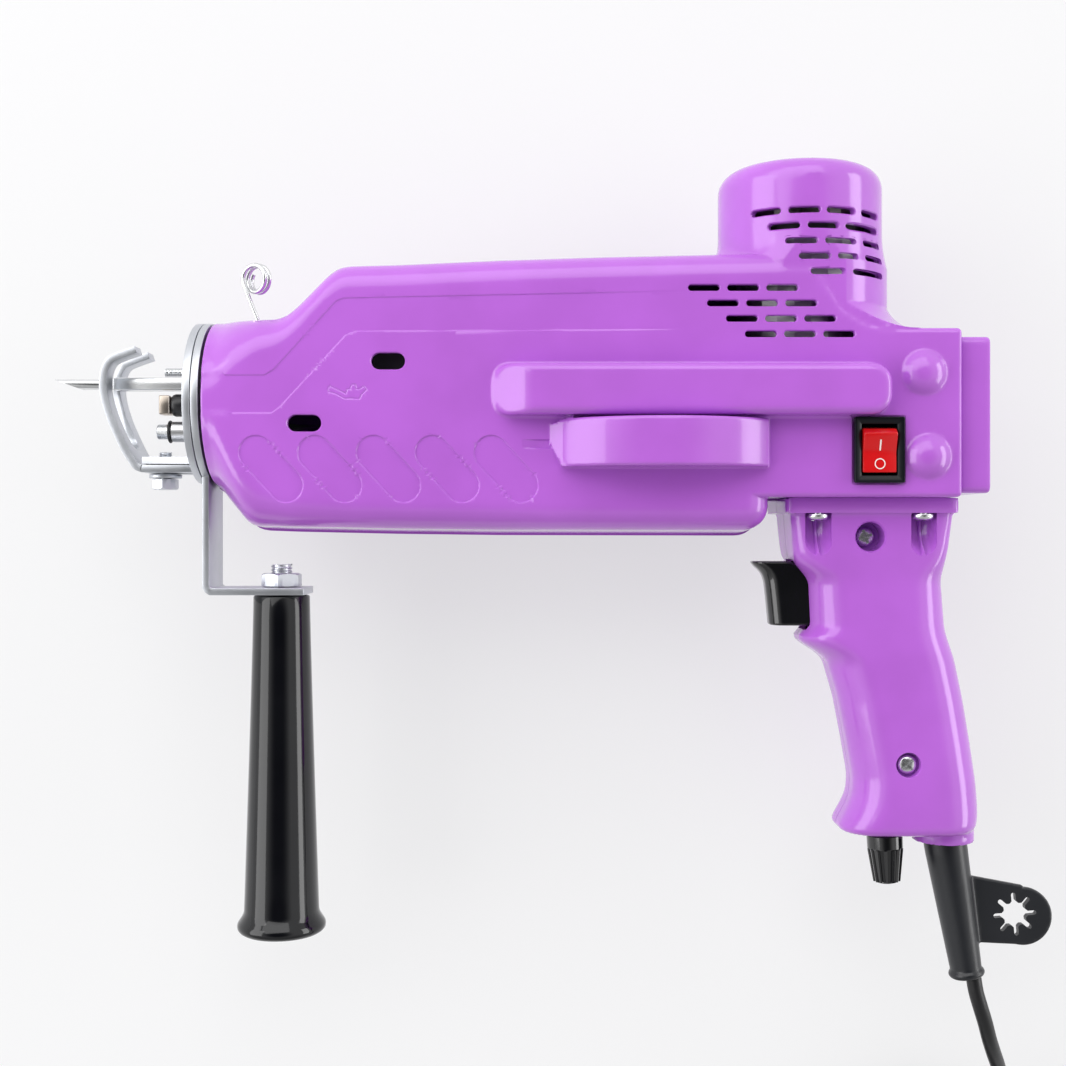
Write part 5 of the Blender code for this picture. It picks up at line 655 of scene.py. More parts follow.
def net_over(shape, low, high, step):
    """Points and four-sided faces of an even net over the shape's surface."""
    counts = [math.ceil((b - a) / step) + 1 for a, b in zip(low, high)]
    grid = np.meshgrid(*(a + step * np.arange(n) for a, n in zip(low, counts)), indexing="ij")
    value = shape(*grid)
    inside = value < 0
    cells = tuple(n - 1 for n in counts)
    total = np.zeros((*cells, 3))
    crossings = np.zeros(cells)

    def at(values, corner):
        return values[tuple(slice(c, c + n) for c, n in zip(corner, cells))]

    for corner in np.ndindex(2, 2, 2):
        for axis in range(3):
            if corner[axis]:
                continue
            other = tuple(1 if i == axis else c for i, c in enumerate(corner))
            crossed = at(inside, corner) != at(inside, other)
            near_value = at(value, corner)
            share = near_value / np.where(crossed, near_value - at(value, other), 1)
            for i in range(3):
                total[..., i] += np.where(crossed, share if i == axis else corner[i], 0)
            crossings += crossed
    active = crossings > 0
    number = np.zeros(cells, int)
    number[active] = np.arange(active.sum())
    average = total[active] / crossings[active][:, None]
    points = np.array(low) + step * (np.argwhere(active) + average)
    faces = []
    for axis in range(3):
        order = (axis, (axis + 1) % 3, (axis + 2) % 3)
        solid = np.transpose(inside, order)
        numbers = np.transpose(number, order)
        i, j, k = np.nonzero(solid[:-1, 1:-1, 1:-1] != solid[1:, 1:-1, 1:-1])
        corners = ((j, k), (j + 1, k), (j + 1, k + 1), (j, k + 1))
        quads = np.stack([numbers[i, b, c] for b, c in corners], axis=1)
        leaving = solid[i, j + 1, k + 1]
        faces.append(np.where(leaving[:, None], quads, quads[:, ::-1]))
    return settle(shape, points, step), np.concatenate(faces)


def points_of(mesh):
    """A mesh's points, a row each."""
    points = np.empty(len(mesh.vertices) * 3)
    mesh.vertices.foreach_get("co", points)
    return points.reshape(-1, 3)


def opened(*meshes):
    """A net of these meshes, to work on."""
    net = bmesh.new()
    for mesh in meshes:
        net.from_mesh(mesh)
    return net


def written(net, mesh):
    """Puts a net into a mesh, or into a new one of that name."""
    if isinstance(mesh, str):
        mesh = bpy.data.meshes.new(mesh)
    net.to_mesh(mesh)
    net.free()
    return mesh


def refine(mesh, shape, step, wanted):
    """Splits the edges that are wanted, and sets the new points on the shape."""
    points = points_of(mesh)
    ends = np.empty(len(mesh.edges) * 2, int)
    mesh.edges.foreach_get("vertices", ends)
    ends = ends.reshape(-1, 2)
    on_skin = np.abs(shape(*points.T)) < ON_SKIN
    chosen = wanted(points, ends) & on_skin[ends].all(axis=1)
    net = opened(mesh)
    net.edges.ensure_lookup_table()
    before = len(net.verts)
    split = [net.edges[i] for i in np.nonzero(chosen)[0]]
    bmesh.ops.subdivide_edges(net, edges=split, cuts=1, use_grid_fill=True, use_only_quads=False)
    bmesh.ops.triangulate(net, faces=[face for face in net.faces if len(face.verts) > 4])
    written(net, mesh)
    points = points_of(mesh)
    fresh = points[before:]
    near_skin = np.abs(shape(*fresh.T)) < step
    fresh[near_skin] = settle(shape, fresh[near_skin], step)
    points[before:] = fresh
    mesh.vertices.foreach_set("co", points.ravel())
    mesh.update()


def bent(shape, angle):
    """Marks the edges where the surface turns by more than the angle."""

    def wanted(points, ends):
        slope = slope_of(shape, points)
        slope /= np.maximum(np.linalg.norm(slope, axis=1), LEAST_SLOPE)[:, None]
        turn = (slope[ends[:, 0]] * slope[ends[:, 1]]).sum(axis=1)
        return turn < math.cos(math.radians(angle))

    return wanted


def net_mesh(name, shape, low, high, step, passes=0, angle=BEND_ANGLE):
    """A closed mesh over a shape, finer where it bends."""
    points, faces = net_over(shape, low, high, step)
    mesh = bpy.data.meshes.new(name)
    mesh.from_pydata(points, [], faces.tolist())
    for _ in range(passes):
        refine(mesh, shape, step, bent(shape, angle))
    return mesh


def cut_flat(net, place, out):
    """Takes away what lies beyond a plane."""
    everything = net.verts[:] + net.edges[:] + net.faces[:]
    bmesh.ops.bisect_plane(
        net, geom=everything, plane_co=place, plane_no=out, clear_outer=True, dist=MERGE
    )


def half_of(name, shape, low, high, step, side, passes):
    """One moulding: the skin on one side of the parting plane, open at the nose, and its wall."""
    mesh = net_mesh(name, shape, low, high, step)
    net = opened(mesh)
    cut_flat(net, (0, 0, side * SEAM_GAP / 2), (0, 0, -side))
    cut_flat(net, (NOSE_X + NOSE_EDGE / 2, 0, 0), (-1, 0, 0))
    bmesh.ops.solidify(net, geom=net.faces[:], thickness=WALL)
    written(net, mesh)
    for _ in range(passes):
        refine(mesh, shape, step, bent(shape, BEND_ANGLE))
    return mesh


def relief_edges(size):
    """Marks the edges that are still too long to show the relief's outlines."""

    def wanted(points, ends):
        middle = points[ends].mean(axis=1)
        x, y, z = middle.T
        lines = (pills(x, y), band(x, y), oil_can(x, y), dent(x, y))
        near_line = np.minimum.reduce([np.abs(line) for line in lines])
        length = np.linalg.norm(points[ends[:, 0]] - points[ends[:, 1]], axis=1)
        return (near_line < RELIEF_SLOPE + size / 2) & (length > size) & (z > HALF_WIDTH / 2)

    return wanted


def made_real(piece):
    """A plain mesh of an object as its modifiers leave it."""
    bpy.context.view_layer.update()
    whole = piece.evaluated_get(bpy.context.evaluated_depsgraph_get())
    return bpy.data.meshes.new_from_object(whole)


def carve(mesh, *cutters):
    """Cuts meshes out of a mesh."""
    piece = linked("carved", mesh)
    for cutter_mesh in cutters:
        cutter = linked("cutter", cutter_mesh)
        cutting = piece.modifiers.new("cut", "BOOLEAN")
        cutting.operation = "DIFFERENCE"
        cutting.solver = "MANIFOLD"
        cutting.object = cutter
        cut_mesh = made_real(piece)
        piece.modifiers.remove(cutting)
        piece.data = cut_mesh
        bpy.data.objects.remove(cutter)
    result = piece.data
    bpy.data.objects.remove(piece)
    return result


near_low = (NOSE_X - NET_MARGIN, NET_LOW_Y, -NET_OVERLAP)
near_high = (TAIL_X + NET_MARGIN, TOWER_TOP + NET_MARGIN, NET_HIGH_Z)
near_mesh = half_of("housing_near", housing_shape, near_low, near_high, NEAR_STEP, 1, 2)
for size in RELIEF_SIZES:
    refine(near_mesh, housing_shape, size, relief_edges(size))
far_low = (*near_low[:2], -NET_HIGH_Z)
far_high = (*near_high[:2], NET_OVERLAP)
far_mesh = half_of("housing_far", far_housing_shape, far_low, far_high, FAR_STEP, -1, 1)

# Openings of the housing. Rows of long vents let the motor's air out, two oil slots show the guide
# rods, and the switch, the yarn eye and the screws have their holes. Each slot has a slightly
# flared rim.
SLOT_SIDES = 20
VENT_LENGTH = 0.0098
VENT_RADIUS = 0.0010
VENT_PITCH = 0.01205
VENT_ROW_STEP = 0.00475
VENT_ROW_SHIFT = 0.00584
VENT_FIRST = (0.012, 0.0310)
VENT_ROWS = 4
VENTS_IN_ROW = 3
TOWER_VENT_Y = 0.0552
TOWER_VENTS = (
    ((-45, -23), (-18, 4), (8, 30), (36, 57)),
    ((-32, -10), (-5, 17), (22, 57)),
    ((-20, 2), (7, 30), (36, 57)),
    ((-11, 11), (15, 30), (36, 57)),
    ((-3, 20), (25, 57)),
)
OIL_SLOT_LENGTH = 0.0105
OIL_SLOT_RADIUS = 0.0026
OIL_SLOTS = ((-0.0852, 0.0084), (-0.1110, -0.0107))
RIM = 0.0003
SWITCH_CENTRE = (0.06575, -0.01895)
SWITCH_BODY_HALF = (0.00675, 0.00915)
SWITCH_HALF = (0.00775, 0.01015)
EYE_X = -0.1302
EYE_HOLE_RADIUS = 0.0011
FAR_SCREWS = ((0.0805, -0.0080), (-0.1080, -0.0340), (-0.0600, 0.0300))
FAR_SCREW_RECESS_RADIUS = 0.0034
FAR_SCREW_RECESS_DEPTH = 0.0060
SWITCH_HOLE_CORNER = 0.0005


def tree_of(name, sizes):
    """A Geometry Nodes tree with named sizes and a finish, and its inputs by name."""
    tree = bpy.data.node_groups.new(name, "GeometryNodeTree")
    kinds = [("Geometry", "NodeSocketGeometry")]
    kinds += [(size, "NodeSocketFloat") for size in sizes]
    kinds += [("Piece", "NodeSocketObject"), ("Finish", "NodeSocketMaterial")]
    for label, kind in kinds:
        tree.interface.new_socket(name=label, in_out="INPUT", socket_type=kind)
    tree.interface.new_socket(name="Geometry", in_out="OUTPUT", socket_type="NodeSocketGeometry")
    inlet = tree.nodes.new("NodeGroupInput")
    return tree, {label: Maths(tree, inlet.outputs[label]) for label, _ in kinds}


def on_points(given, piece):
    """Copies of a piece on the base mesh's points, turned and stretched as each point says."""
    points = given["Geometry"]
    kind = "GeometryNodeInputNamedAttribute"
    stretch, turn = (
        points.read(kind, inputs={"Name": label}, data_type="FLOAT_VECTOR")
        for label in ("stretch", "turn")
    )
    rotation = points.read("FunctionNodeEulerToRotation", inputs={"Euler": turn})
    sockets = {"Points": points, "Instance": piece, "Rotation": rotation, "Scale": stretch}
    return points.read("GeometryNodeInstanceOnPoints", inputs=sockets)


def close_tree(given, shape):
    """Ends a tree in real, painted mesh."""
    real = shape.read("GeometryNodeRealizeInstances", inputs={"Geometry": shape})
    sockets = {"Geometry": real, "Material": given["Finish"]}
    painted = real.read("GeometryNodeSetMaterial", inputs=sockets)
    painted.feed(real.tree.nodes.new("NodeGroupOutput").inputs["Geometry"])


def made_by(tree, name, base, **values):
    """The plain mesh that a tree makes of a base mesh."""
    holder = linked(name, base)
    modifier = holder.modifiers.new(name, "NODES")
    modifier.node_group = tree
    for item in tree.interface.items_tree:
        label = item.name.replace(" ", "_").lower()
        if item.in_out == "INPUT" and label in values:
            modifier[item.identifier] = values[label]
    mesh = made_real(holder)
    mesh.name = name
    holder.modifiers.remove(modifier)
    bpy.data.objects.remove(holder)
    return mesh


def places_mesh(name, places, stretches=None, turns=None):
    """Loose points, each with the stretch and the turn of the copy that it carries."""
    mesh = bpy.data.meshes.new(name)
    mesh.from_pydata([tuple(place) for place in places], [], [])
    values = {
        "stretch": stretches or [(1, 1, 1)] * len(places),
        "turn": turns or [(0, 0, 0)] * len(places),
    }
    for label, rows in values.items():
        layer = mesh.attributes.new(label, "FLOAT_VECTOR", "POINT")
        layer.data.foreach_set("vector", [float(v) for row in rows for v in row])
    return mesh


def cone_of(sides, bottom, top, depth):
    """A cone with its middle on the origin."""
    sizes = {"Vertices": sides, "Radius Bottom": bottom, "Radius Top": top, "Depth": depth}
    return depth.read("GeometryNodeMeshCone", inputs=sizes)


def shifted(shape, turn=(0, 0, 0), **offsets):
    """A shape turned, and moved along X, Y or Z."""
    way = shape.read("ShaderNodeCombineXYZ", inputs=offsets)
    sockets = {"Geometry": shape, "Translation": way, "Rotation": turn}
    return shape.read("GeometryNodeTransform", inputs=sockets)


def together(*shapes):
    """Several shapes as one."""
    gathered = shapes[0].node("GeometryNodeJoinGeometry")
    for shape in shapes:
        shape.feed(gathered.inputs[0])
    return Maths(shapes[0].tree, gathered.outputs[0])


def hull_of(*shapes):
    """The tight skin round several shapes."""
    whole = together(*shapes)
    return whole.read("GeometryNodeConvexHull", inputs={"Geometry": whole})


slot_tree, slot_given = tree_of("slot", ("Length", "Bottom Radius", "Top Radius", "Depth"))
slot_ends = []
for side in (-0.5, 0.5):
    slot_radii = (slot_given["Bottom Radius"], slot_given["Top Radius"])
    cone = cone_of(SLOT_SIDES, *slot_radii, slot_given["Depth"])
    centre_to_centre = slot_given["Length"] - slot_radii[0] * 2
    slot_ends.append(shifted(cone, X=centre_to_centre * side, Z=slot_given["Depth"] * -0.5))
slot_hull = hull_of(*slot_ends)
slot_fine = slot_hull.read("GeometryNodeSubdivideMesh", inputs={"Mesh": slot_hull, "Level": 1})
close_tree(slot_given, on_points(slot_given, slot_fine))


def slots(name, places, length, radius, flared, stretches=None):
    """Cutters for slots at these places on a flat face at height zero."""
    base = places_mesh(name, places, stretches)
    sizes = {"length": length, "bottom_radius": radius, "top_radius": radius, "depth": 4 * WALL}
    if flared:
        sizes["top_radius"] = radius + 2 * RIM
        sizes["depth"] = 2 * RIM
    return made_by(slot_tree, name, base, **sizes)


def joined(name, *meshes):
    """One mesh of several."""
    return written(opened(*meshes), name)


def slab(low, high):
    """A plain block, as a cutter."""
    shape = bmesh.new()
    bmesh.ops.create_cube(shape, size=1)
    middle = [(a + b) / 2 for a, b in zip(low, high)]
    size = [b - a for a, b in zip(low, high)]
    shape.transform(Matrix.Translation(middle) @ Matrix.Diagonal((*size, 1)))
    return written(shape, "slab")


def aimed(axis, place):
    """The matrix that turns Z along an axis, at a place."""
    turn = Vector(axis).to_track_quat("Z", "Y").to_matrix().to_4x4()
    return Matrix.Translation(place) @ turn


def drill(start, end, radius, sides=24):
    """A round bar between two points, as a cutter."""
    shape = bmesh.new()
    axis = Vector(end) - Vector(start)
    bmesh.ops.create_cone(
        shape, cap_ends=True, segments=sides, radius1=radius, radius2=radius, depth=axis.length
    )
    shape.transform(aimed(axis, (Vector(start) + Vector(end)) / 2))
    return written(shape, "drill")


def loft_of(name, rings, closed_ends=True):
    """A skin over rings with the same number of points each, capped or running into itself."""
    shape = bmesh.new()
    rows = [[shape.verts.new(point) for point in ring] for ring in rings]
    for first, second in zip(rows, rows[1:]):
        for i in range(len(first)):
            j = (i + 1) % len(first)
            shape.faces.new((first[i], first[j], second[j], second[i]))
    if closed_ends:
        shape.faces.new(rows[0])
        shape.faces.new(rows[-1])
    else:
        bmesh.ops.remove_doubles(shape, verts=shape.verts[:], dist=MERGE)
    bmesh.ops.recalc_face_normals(shape, faces=shape.faces[:])
    return written(shape, name)


def rounded_ring(half_a, half_b, corner, height, steps=5):
    """Points round a rectangle with round corners, at a height."""
    ring = []
    for quarter in range(4):
        start = quarter * math.pi / 2
        side_a = 1 if quarter in (0, 3) else -1
        side_b = 1 if quarter in (0, 1) else -1
        for i in range(steps + 1):
            turn = start + math.pi / 2 * i / steps
            a = side_a * (half_a - corner) + corner * math.cos(turn)
            b = side_b * (half_b - corner) + corner * math.sin(turn)
            ring.append((a, b, height))
    return ring


first_x, first_y = VENT_FIRST
flat_vents = [
    (first_x + VENT_ROW_SHIFT * row + VENT_PITCH * i, first_y - VENT_ROW_STEP * row, 0)
    for row in range(VENT_ROWS)
    for i in range(VENTS_IN_ROW)
]
bent_vents = []
bent_stretches = []
for row, ranges in enumerate(TOWER_VENTS):
    for start, end in ranges:
        middle = math.radians((start + end) / 2) * TOWER_RADIUS
        bent_vents.append((middle, TOWER_VENT_Y - VENT_ROW_STEP * row, 0))
        share = math.radians(end - start) * TOWER_RADIUS / VENT_LENGTH
        bent_stretches.append((share, 1, 1))


def bend_round_tower(mesh):
    """Bends flat cutters round the tower."""
    points = points_of(mesh)
    turn = points[:, 0] / TOWER_RADIUS
    reach = TOWER_RADIUS + points[:, 2]
    around = np.stack([TOWER_X + reach * np.sin(turn), points[:, 1], reach * np.cos(turn)], 1)
    mesh.vertices.foreach_set("co", around.ravel())
    return mesh


near_cuts = []
for flared in (False, True):
    side_slots = joined(
        "side_slots",
        slots("vent_slots", flat_vents, VENT_LENGTH, VENT_RADIUS, flared),
        slots("oil_slots", [(*p, 0) for p in OIL_SLOTS], OIL_SLOT_LENGTH, OIL_SLOT_RADIUS, flared),
    )
    side_slots.transform(Matrix.Translation((0, 0, HALF_WIDTH)))
    tower_slots = bend_round_tower(
        slots("tower_slots", bent_vents, VENT_LENGTH, VENT_RADIUS, flared, bent_stretches)
    )
    near_cuts.append(joined("near_slots", side_slots, tower_slots))
switch_low, switch_high = (
    [centre + side * half for centre, half in zip(SWITCH_CENTRE, SWITCH_BODY_HALF)]
    for side in (-1, 1)
)
switch_hole = slab((*switch_low, HALF_WIDTH / 2), (*switch_high, 2 * HALF_WIDTH))
mouth_rings = []
for out, up in ((-2 * RIM, -4 * RIM), (8 * RIM, 6 * RIM)):
    sides = [half + out for half in SWITCH_HALF]
    mouth_rings.append(rounded_ring(*sides, SWITCH_HOLE_CORNER, HALF_WIDTH + up))
switch_mouth = loft_of("switch_mouth", mouth_rings)
switch_mouth.transform(Matrix.Translation((*SWITCH_CENTRE, 0)))
eye_hole = drill((EYE_X, 0, 0), (EYE_X, TOWER_RADIUS, 0), EYE_HOLE_RADIUS)
near_holes = joined("near_holes", switch_hole, eye_hole)
near_mesh = carve(near_mesh, *near_cuts, switch_mouth, near_holes)
far_holes = [eye_hole]
for x, y in FAR_SCREWS:
    floor = (x, y, FAR_SCREW_RECESS_DEPTH - HALF_WIDTH)
    far_holes.append(drill((x, y, -REST_HEIGHT), floor, FAR_SCREW_RECESS_RADIUS))
far_mesh = carve(far_mesh, joined("far_holes", *far_holes))

# Purple plastic. Glossy moulded ABS, with faint flow clouds in its colour and its gloss, and one
# whitish scuff below the oil slots where the side has rubbed on something.
SCUFF_CENTRE = (-0.0710, -0.0120, 0.068)
SCUFF_SIZE = (0.0046, 0.0028)
SCUFF_STRENGTH = 0.75
SCUFF_WHITE = (0.86, 0.72, 0.86, 1)
CLOUD_LIGHT = 1.09


def purple_plastic(name):
    """The moulded purple finish."""
    finish, shader, place = finish_of(
        name, PURPLE, 0.2, Specular_IOR_Level=0.5, Coat_Weight=0.35, Coat_Roughness=0.06
    )
    cloud = place.noise(38, detail=3)
    speck = place.noise(2600, detail=2)
    colour = cloud.between(0.3, 0.7).mix((*PURPLE, 1), (*(c * CLOUD_LIGHT for c in PURPLE), 1))
    location = [-c / s for c, s in zip(SCUFF_CENTRE, (*SCUFF_SIZE, 1))]
    scale = (1 / SCUFF_SIZE[0], 1 / SCUFF_SIZE[1], 0)
    centred = place.read("ShaderNodeMapping", inputs={"Location": location, "Scale": scale})
    reach = centred.read("ShaderNodeVectorMath", "Value", {0: centred}, operation="LENGTH")
    streaks = place.stretched((500, 1900, 40)).noise(1, detail=4, roughness=0.65)
    scuff = (1.0 - reach.between(0.35, 1.15)) * streaks.between(0.46, 0.6) * SCUFF_STRENGTH
    scuff.mix(colour, SCUFF_WHITE).feed(shader.inputs["Base Color"])
    (cloud * 0.06 + speck * 0.05 + scuff * 0.4 + 0.13).feed(shader.inputs["Roughness"])
    (speck * 0.5 + cloud).bump(0.00003, 0.35).feed(shader.inputs["Normal"])
    return finish


def shade(mesh, angle):
    """Smooth shading that breaks at edges sharper than the angle."""
    mesh.polygons.foreach_set("use_smooth", [True] * len(mesh.polygons))
    mesh.set_sharp_from_angle(angle=math.radians(angle))


def put(name, mesh, finish, slot, *nodes, body="machine", angle=32):
    """Shades and paints a mesh made round the parting plane, and puts it on its body."""
    shade(mesh, angle)
    mesh.materials.clear()
    mesh.materials.append(finish)
    mesh.transform(Matrix.Translation((0, 0, REST_HEIGHT)))
    mesh.update()
    piece = linked(name, mesh)
    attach(piece, body)
    if nodes:
        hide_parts(*nodes)


purple = purple_plastic("purple_plastic")
put("housing_near_shell", near_mesh, purple, "purple_plastic", "housing_near")
put("housing_far_shell", far_mesh, purple, "purple_plastic", "housing_far")

# Grip. Two halves of the purple plastic, crowned to fill the hand and screwed together across it.
# Their flange bolts up to the tail, the trigger slides in their window, and a collar holds the
# cord's sleeve.
GRIP_TOP_Y = -0.03345
GRIP_BODY_Y = -0.0382
GRIP_BOTTOM_Y = -0.1406
GRIP_STATIONS = (
    # how far down, front X, rear X, half width, corner
    (0.0382, 0.0410, 0.0925, 0.0172, 0.0034),
    (0.0499, 0.0420, 0.0913, 0.0172, 0.0048),
    (0.0531, 0.0426, 0.0908, 0.0171, 0.0056),
    (0.0595, 0.0478, 0.0906, 0.0166, 0.0108),
    (0.0752, 0.0483, 0.0921, 0.0166, 0.0118),
    (0.0768, 0.0448, 0.0925, 0.0166, 0.0118),
    (0.0793, 0.0451, 0.0933, 0.0166, 0.0118),
    (0.0822, 0.0500, 0.0943, 0.0166, 0.0118),
    (0.0853, 0.0543, 0.0953, 0.0166, 0.0118),
    (0.0980, 0.0580, 0.0979, 0.0167, 0.0118),
    (0.1109, 0.0605, 0.1000, 0.0168, 0.0118),
    (0.1236, 0.0627, 0.1019, 0.0168, 0.0118),
    (0.1290, 0.0624, 0.1024, 0.0168, 0.0118),
    (0.1334, 0.0606, 0.1026, 0.0168, 0.0116),
    (0.1365, 0.0588, 0.1024, 0.0168, 0.0112),
    (0.1388, 0.0578, 0.1019, 0.0166, 0.0108),
    (0.1410, 0.0576, 0.1012, 0.0164, 0.0104),
)
GRIP_EASE = 0.0016
GRIP_CROWN = 0.0012
GRIP_FOOT_EDGE = 0.0027
GRIP_WALL = 0.0025
FLANGE_X = (0.0388, 0.0931)
FLANGE_HALF_WIDTH = 0.019
FLANGE_CORNER = 0.0022
FLANGE_EDGE = 0.0005
COLLAR_RADIUS = 0.0098
COLLAR_DEPTH = 0.0040
WINDOW = ((0.030, -0.0757, -0.0065), (0.0592, -0.0530, 0.0065))
CHANNEL = ((0.0462, -0.0530, -0.0085), (0.0852, -0.0330, 0.0070))
HOLLOW_TOP_Y = -0.0545
GRIP_WELLS = (
    # X, Y, floor, radius
    (0.0655, -0.0457, 0.0082, 0.0046),
    (0.0776, -0.1176, 0.0132, 0.0039),
)
WELL_RIM = ((0.0160, -0.0003), (0.0190, 0.0016))
POST_RADIUS = 0.0060
RECESS_X = (0.0492, 0.0824)
RECESS_RADIUS = 0.0041
RECESS_SIDES = 36
RECESS_RIB = 0.0010
RECESS_RIB_STEPS = 1.5  # to each side of its middle
RECESS_STEPS = (
    # how far below the flange, and the height of the well's axis
    (0.0000, 0.0150), (0.0060, 0.0151), (0.0082, 0.0160), (0.0102, 0.0176), (0.0122, 0.0195),
    (0.0138, 0.0209), (0.0150, 0.0222),
)
KNOB_AXIS_X = 0.0735
KNOB_TILT = math.radians(2.9)
KNOB_HOLE_RADIUS = 0.0033
KNOB_HOLE_REACH = 0.01
SLEEVE_BORE = 0.0071
GRIP_NET = ((0.034, GRIP_BOTTOM_Y - 0.008), (0.108, GRIP_TOP_Y + 0.004))
GRIP_NET_Z = 0.023
GRIP_STEP = 0.0011
HOLLOW_NET_Z = 0.0231
HOLLOW_STEP = 0.0022


def grip_body(x, y, z):
    """The crowned grip below its flange, with a round foot."""
    downs, *columns = zip(*GRIP_STATIONS)
    lines = [along(list(zip(downs, column)), -y, GRIP_EASE) for column in columns]
    front, rear, half_width, corner = lines
    middle = (front + rear) / 2
    half = (rear - front) / 2
    crown = GRIP_CROWN * ((x - middle) / half) ** 2
    section = rounded_box(x - middle, np.abs(z) + crown, half, half_width, corner)
    return np.maximum(both(section, GRIP_BOTTOM_Y - y, GRIP_FOOT_EDGE), y - GRIP_TOP_Y + CREASE)


def grip_shape(x, y, z):
    """The outside of the grip, its flange and its collar."""
    middle, half_length = middle_and_half(FLANGE_X)
    plan = rounded_box(x - middle, z, half_length, FLANGE_HALF_WIDTH, FLANGE_CORNER)
    half = (GRIP_TOP_Y - GRIP_BODY_Y) / 2
    flange = both(plan, np.abs(y - GRIP_TOP_Y + half) - half, FLANGE_EDGE)
    ring = np.hypot(x - SLEEVE_X, z) - COLLAR_RADIUS
    ends = np.maximum(GRIP_BOTTOM_Y - COLLAR_DEPTH - y, y - GRIP_BOTTOM_Y - WALL)
    ring = both(ring, ends, CREASE)
    return either(either(grip_body(x, y, z), flange, CREASE), ring, 2 * CREASE)


def grip_hollow(x, y, z):
    """The space inside the grip, round the screw posts."""
    space = np.maximum(grip_body(x, y, z) + GRIP_WALL, y - HOLLOW_TOP_Y)
    for well_x, well_y, *_ in GRIP_WELLS:
        space = np.maximum(space, POST_RADIUS - np.hypot(x - well_x, y - well_y))
    return space


def solid_half(name, side):
    """One solid half of the grip, flat on the parting plane."""
    low_z, high_z = sorted((-side * NET_OVERLAP, side * GRIP_NET_Z))
    mesh = net_mesh(name, grip_shape, (*GRIP_NET[0], low_z), (*GRIP_NET[1], high_z), GRIP_STEP)
    net = opened(mesh)
    cut_flat(net, (0, 0, side * SEAM_GAP / 2), (0, 0, -side))
    bmesh.ops.edgenet_fill(net, edges=[edge for edge in net.edges if edge.is_boundary])
    bmesh.ops.recalc_face_normals(net, faces=net.faces[:])
    return written(net, mesh)


def recess_cutter(x, side):
    """A well with round back that runs out of the grip's side, with a thin rib down its back."""
    rings = []
    for down, height in RECESS_STEPS:
        ring = []
        for i in range(RECESS_SIDES + 1):
            turn = math.pi * i / RECESS_SIDES
            on_rib = abs(i - RECESS_SIDES / 2) < RECESS_RIB_STEPS
            reach = RECESS_RADIUS - RECESS_RIB * on_rib
            ring.append((x + reach * math.cos(turn), height - reach * math.sin(turn)))
        ring += [(x - RECESS_RADIUS, 2 * HALF_WIDTH), (x + RECESS_RADIUS, 2 * HALF_WIDTH)]
        rings.append([(a, GRIP_BODY_Y - down, side * b) for a, b in ring])
    return loft_of("recess", rings)


def well_cutters(x, y, floor, radius):
    """The well of a grip screw and its flared rim."""
    rim_steps = [(radius + out, up) for up, out in WELL_RIM]
    rim = loft_of("well_rim", [rounded_ring(r, r, r, up, steps=12) for r, up in rim_steps])
    rim.transform(Matrix.Translation((x, y, 0)))
    return [drill((x, y, floor), (x, y, 2 * HALF_WIDTH), radius, sides=48), rim]


knob_axis = Vector((math.sin(KNOB_TILT), -math.cos(KNOB_TILT), 0))
knob_root = Vector((KNOB_AXIS_X, GRIP_BOTTOM_Y, 0))
sleeve_root = Vector((SLEEVE_X, SLEEVE_TOP_Y, 0))
for name, side in (("grip_near", 1), ("grip_far", -1)):
    hollow_low, hollow_high = (*GRIP_NET[0], -HOLLOW_NET_Z), (*GRIP_NET[1], HOLLOW_NET_Z)
    spindle_ends = (knob_root - knob_axis * 3 * GRIP_WALL, knob_root + knob_axis * KNOB_HOLE_REACH)
    cuts = [
        net_mesh("grip_hollow", grip_hollow, hollow_low, hollow_high, HOLLOW_STEP),
        slab(*CHANNEL),
        slab(*WINDOW),
        drill(sleeve_root, sleeve_root + sleeve_axis * 4 * COLLAR_DEPTH, SLEEVE_BORE, sides=32),
        drill(*spindle_ends, KNOB_HOLE_RADIUS),
        *(recess_cutter(x, side) for x in RECESS_X),
    ]
    if side > 0:
        for well in GRIP_WELLS:
            cuts += well_cutters(*well)
    grip_mesh = carve(solid_half(name, side), *cuts)
    put(name + "_half", grip_mesh, purple, "purple_plastic", name)

# Rear cover. A shallow cap of the purple plastic that closes the tail. It is pressed on over the
# tail's edge, and its rims are softened.
COVER_LOW = (0.0919, -0.0321, -0.0230)
COVER_HIGH = (0.1014, 0.0166, 0.0230)
COVER_CORNER = 0.0022
COVER_EDGE = 0.0009
COVER_STEP = 0.0012


def cover_shape(x, y, z):
    """The outside of the cap."""
    ends = zip(COVER_LOW, COVER_HIGH)
    (middle_x, half_x), (middle_y, half_y), (middle_z, half_z) = map(middle_and_half, ends)
    plan = rounded_box(y - middle_y, z - middle_z, half_y, half_z, COVER_CORNER)
    return both(plan, np.abs(x - middle_x) - half_x, COVER_EDGE)


cover_low = [a - NET_OVERLAP for a in COVER_LOW]
cover_high = [b + NET_OVERLAP for b in COVER_HIGH]
cover_mesh = net_mesh("rear_cover", cover_shape, cover_low, cover_high, COVER_STEP, passes=1)
hollow_low = (COVER_LOW[0] - WALL, *(a + WALL for a in COVER_LOW[1:]))
cover_mesh = carve(cover_mesh, slab(hollow_low, [b - WALL for b in COVER_HIGH]))
put("rear_cap", cover_mesh, purple, "purple_plastic", "rear_cover")

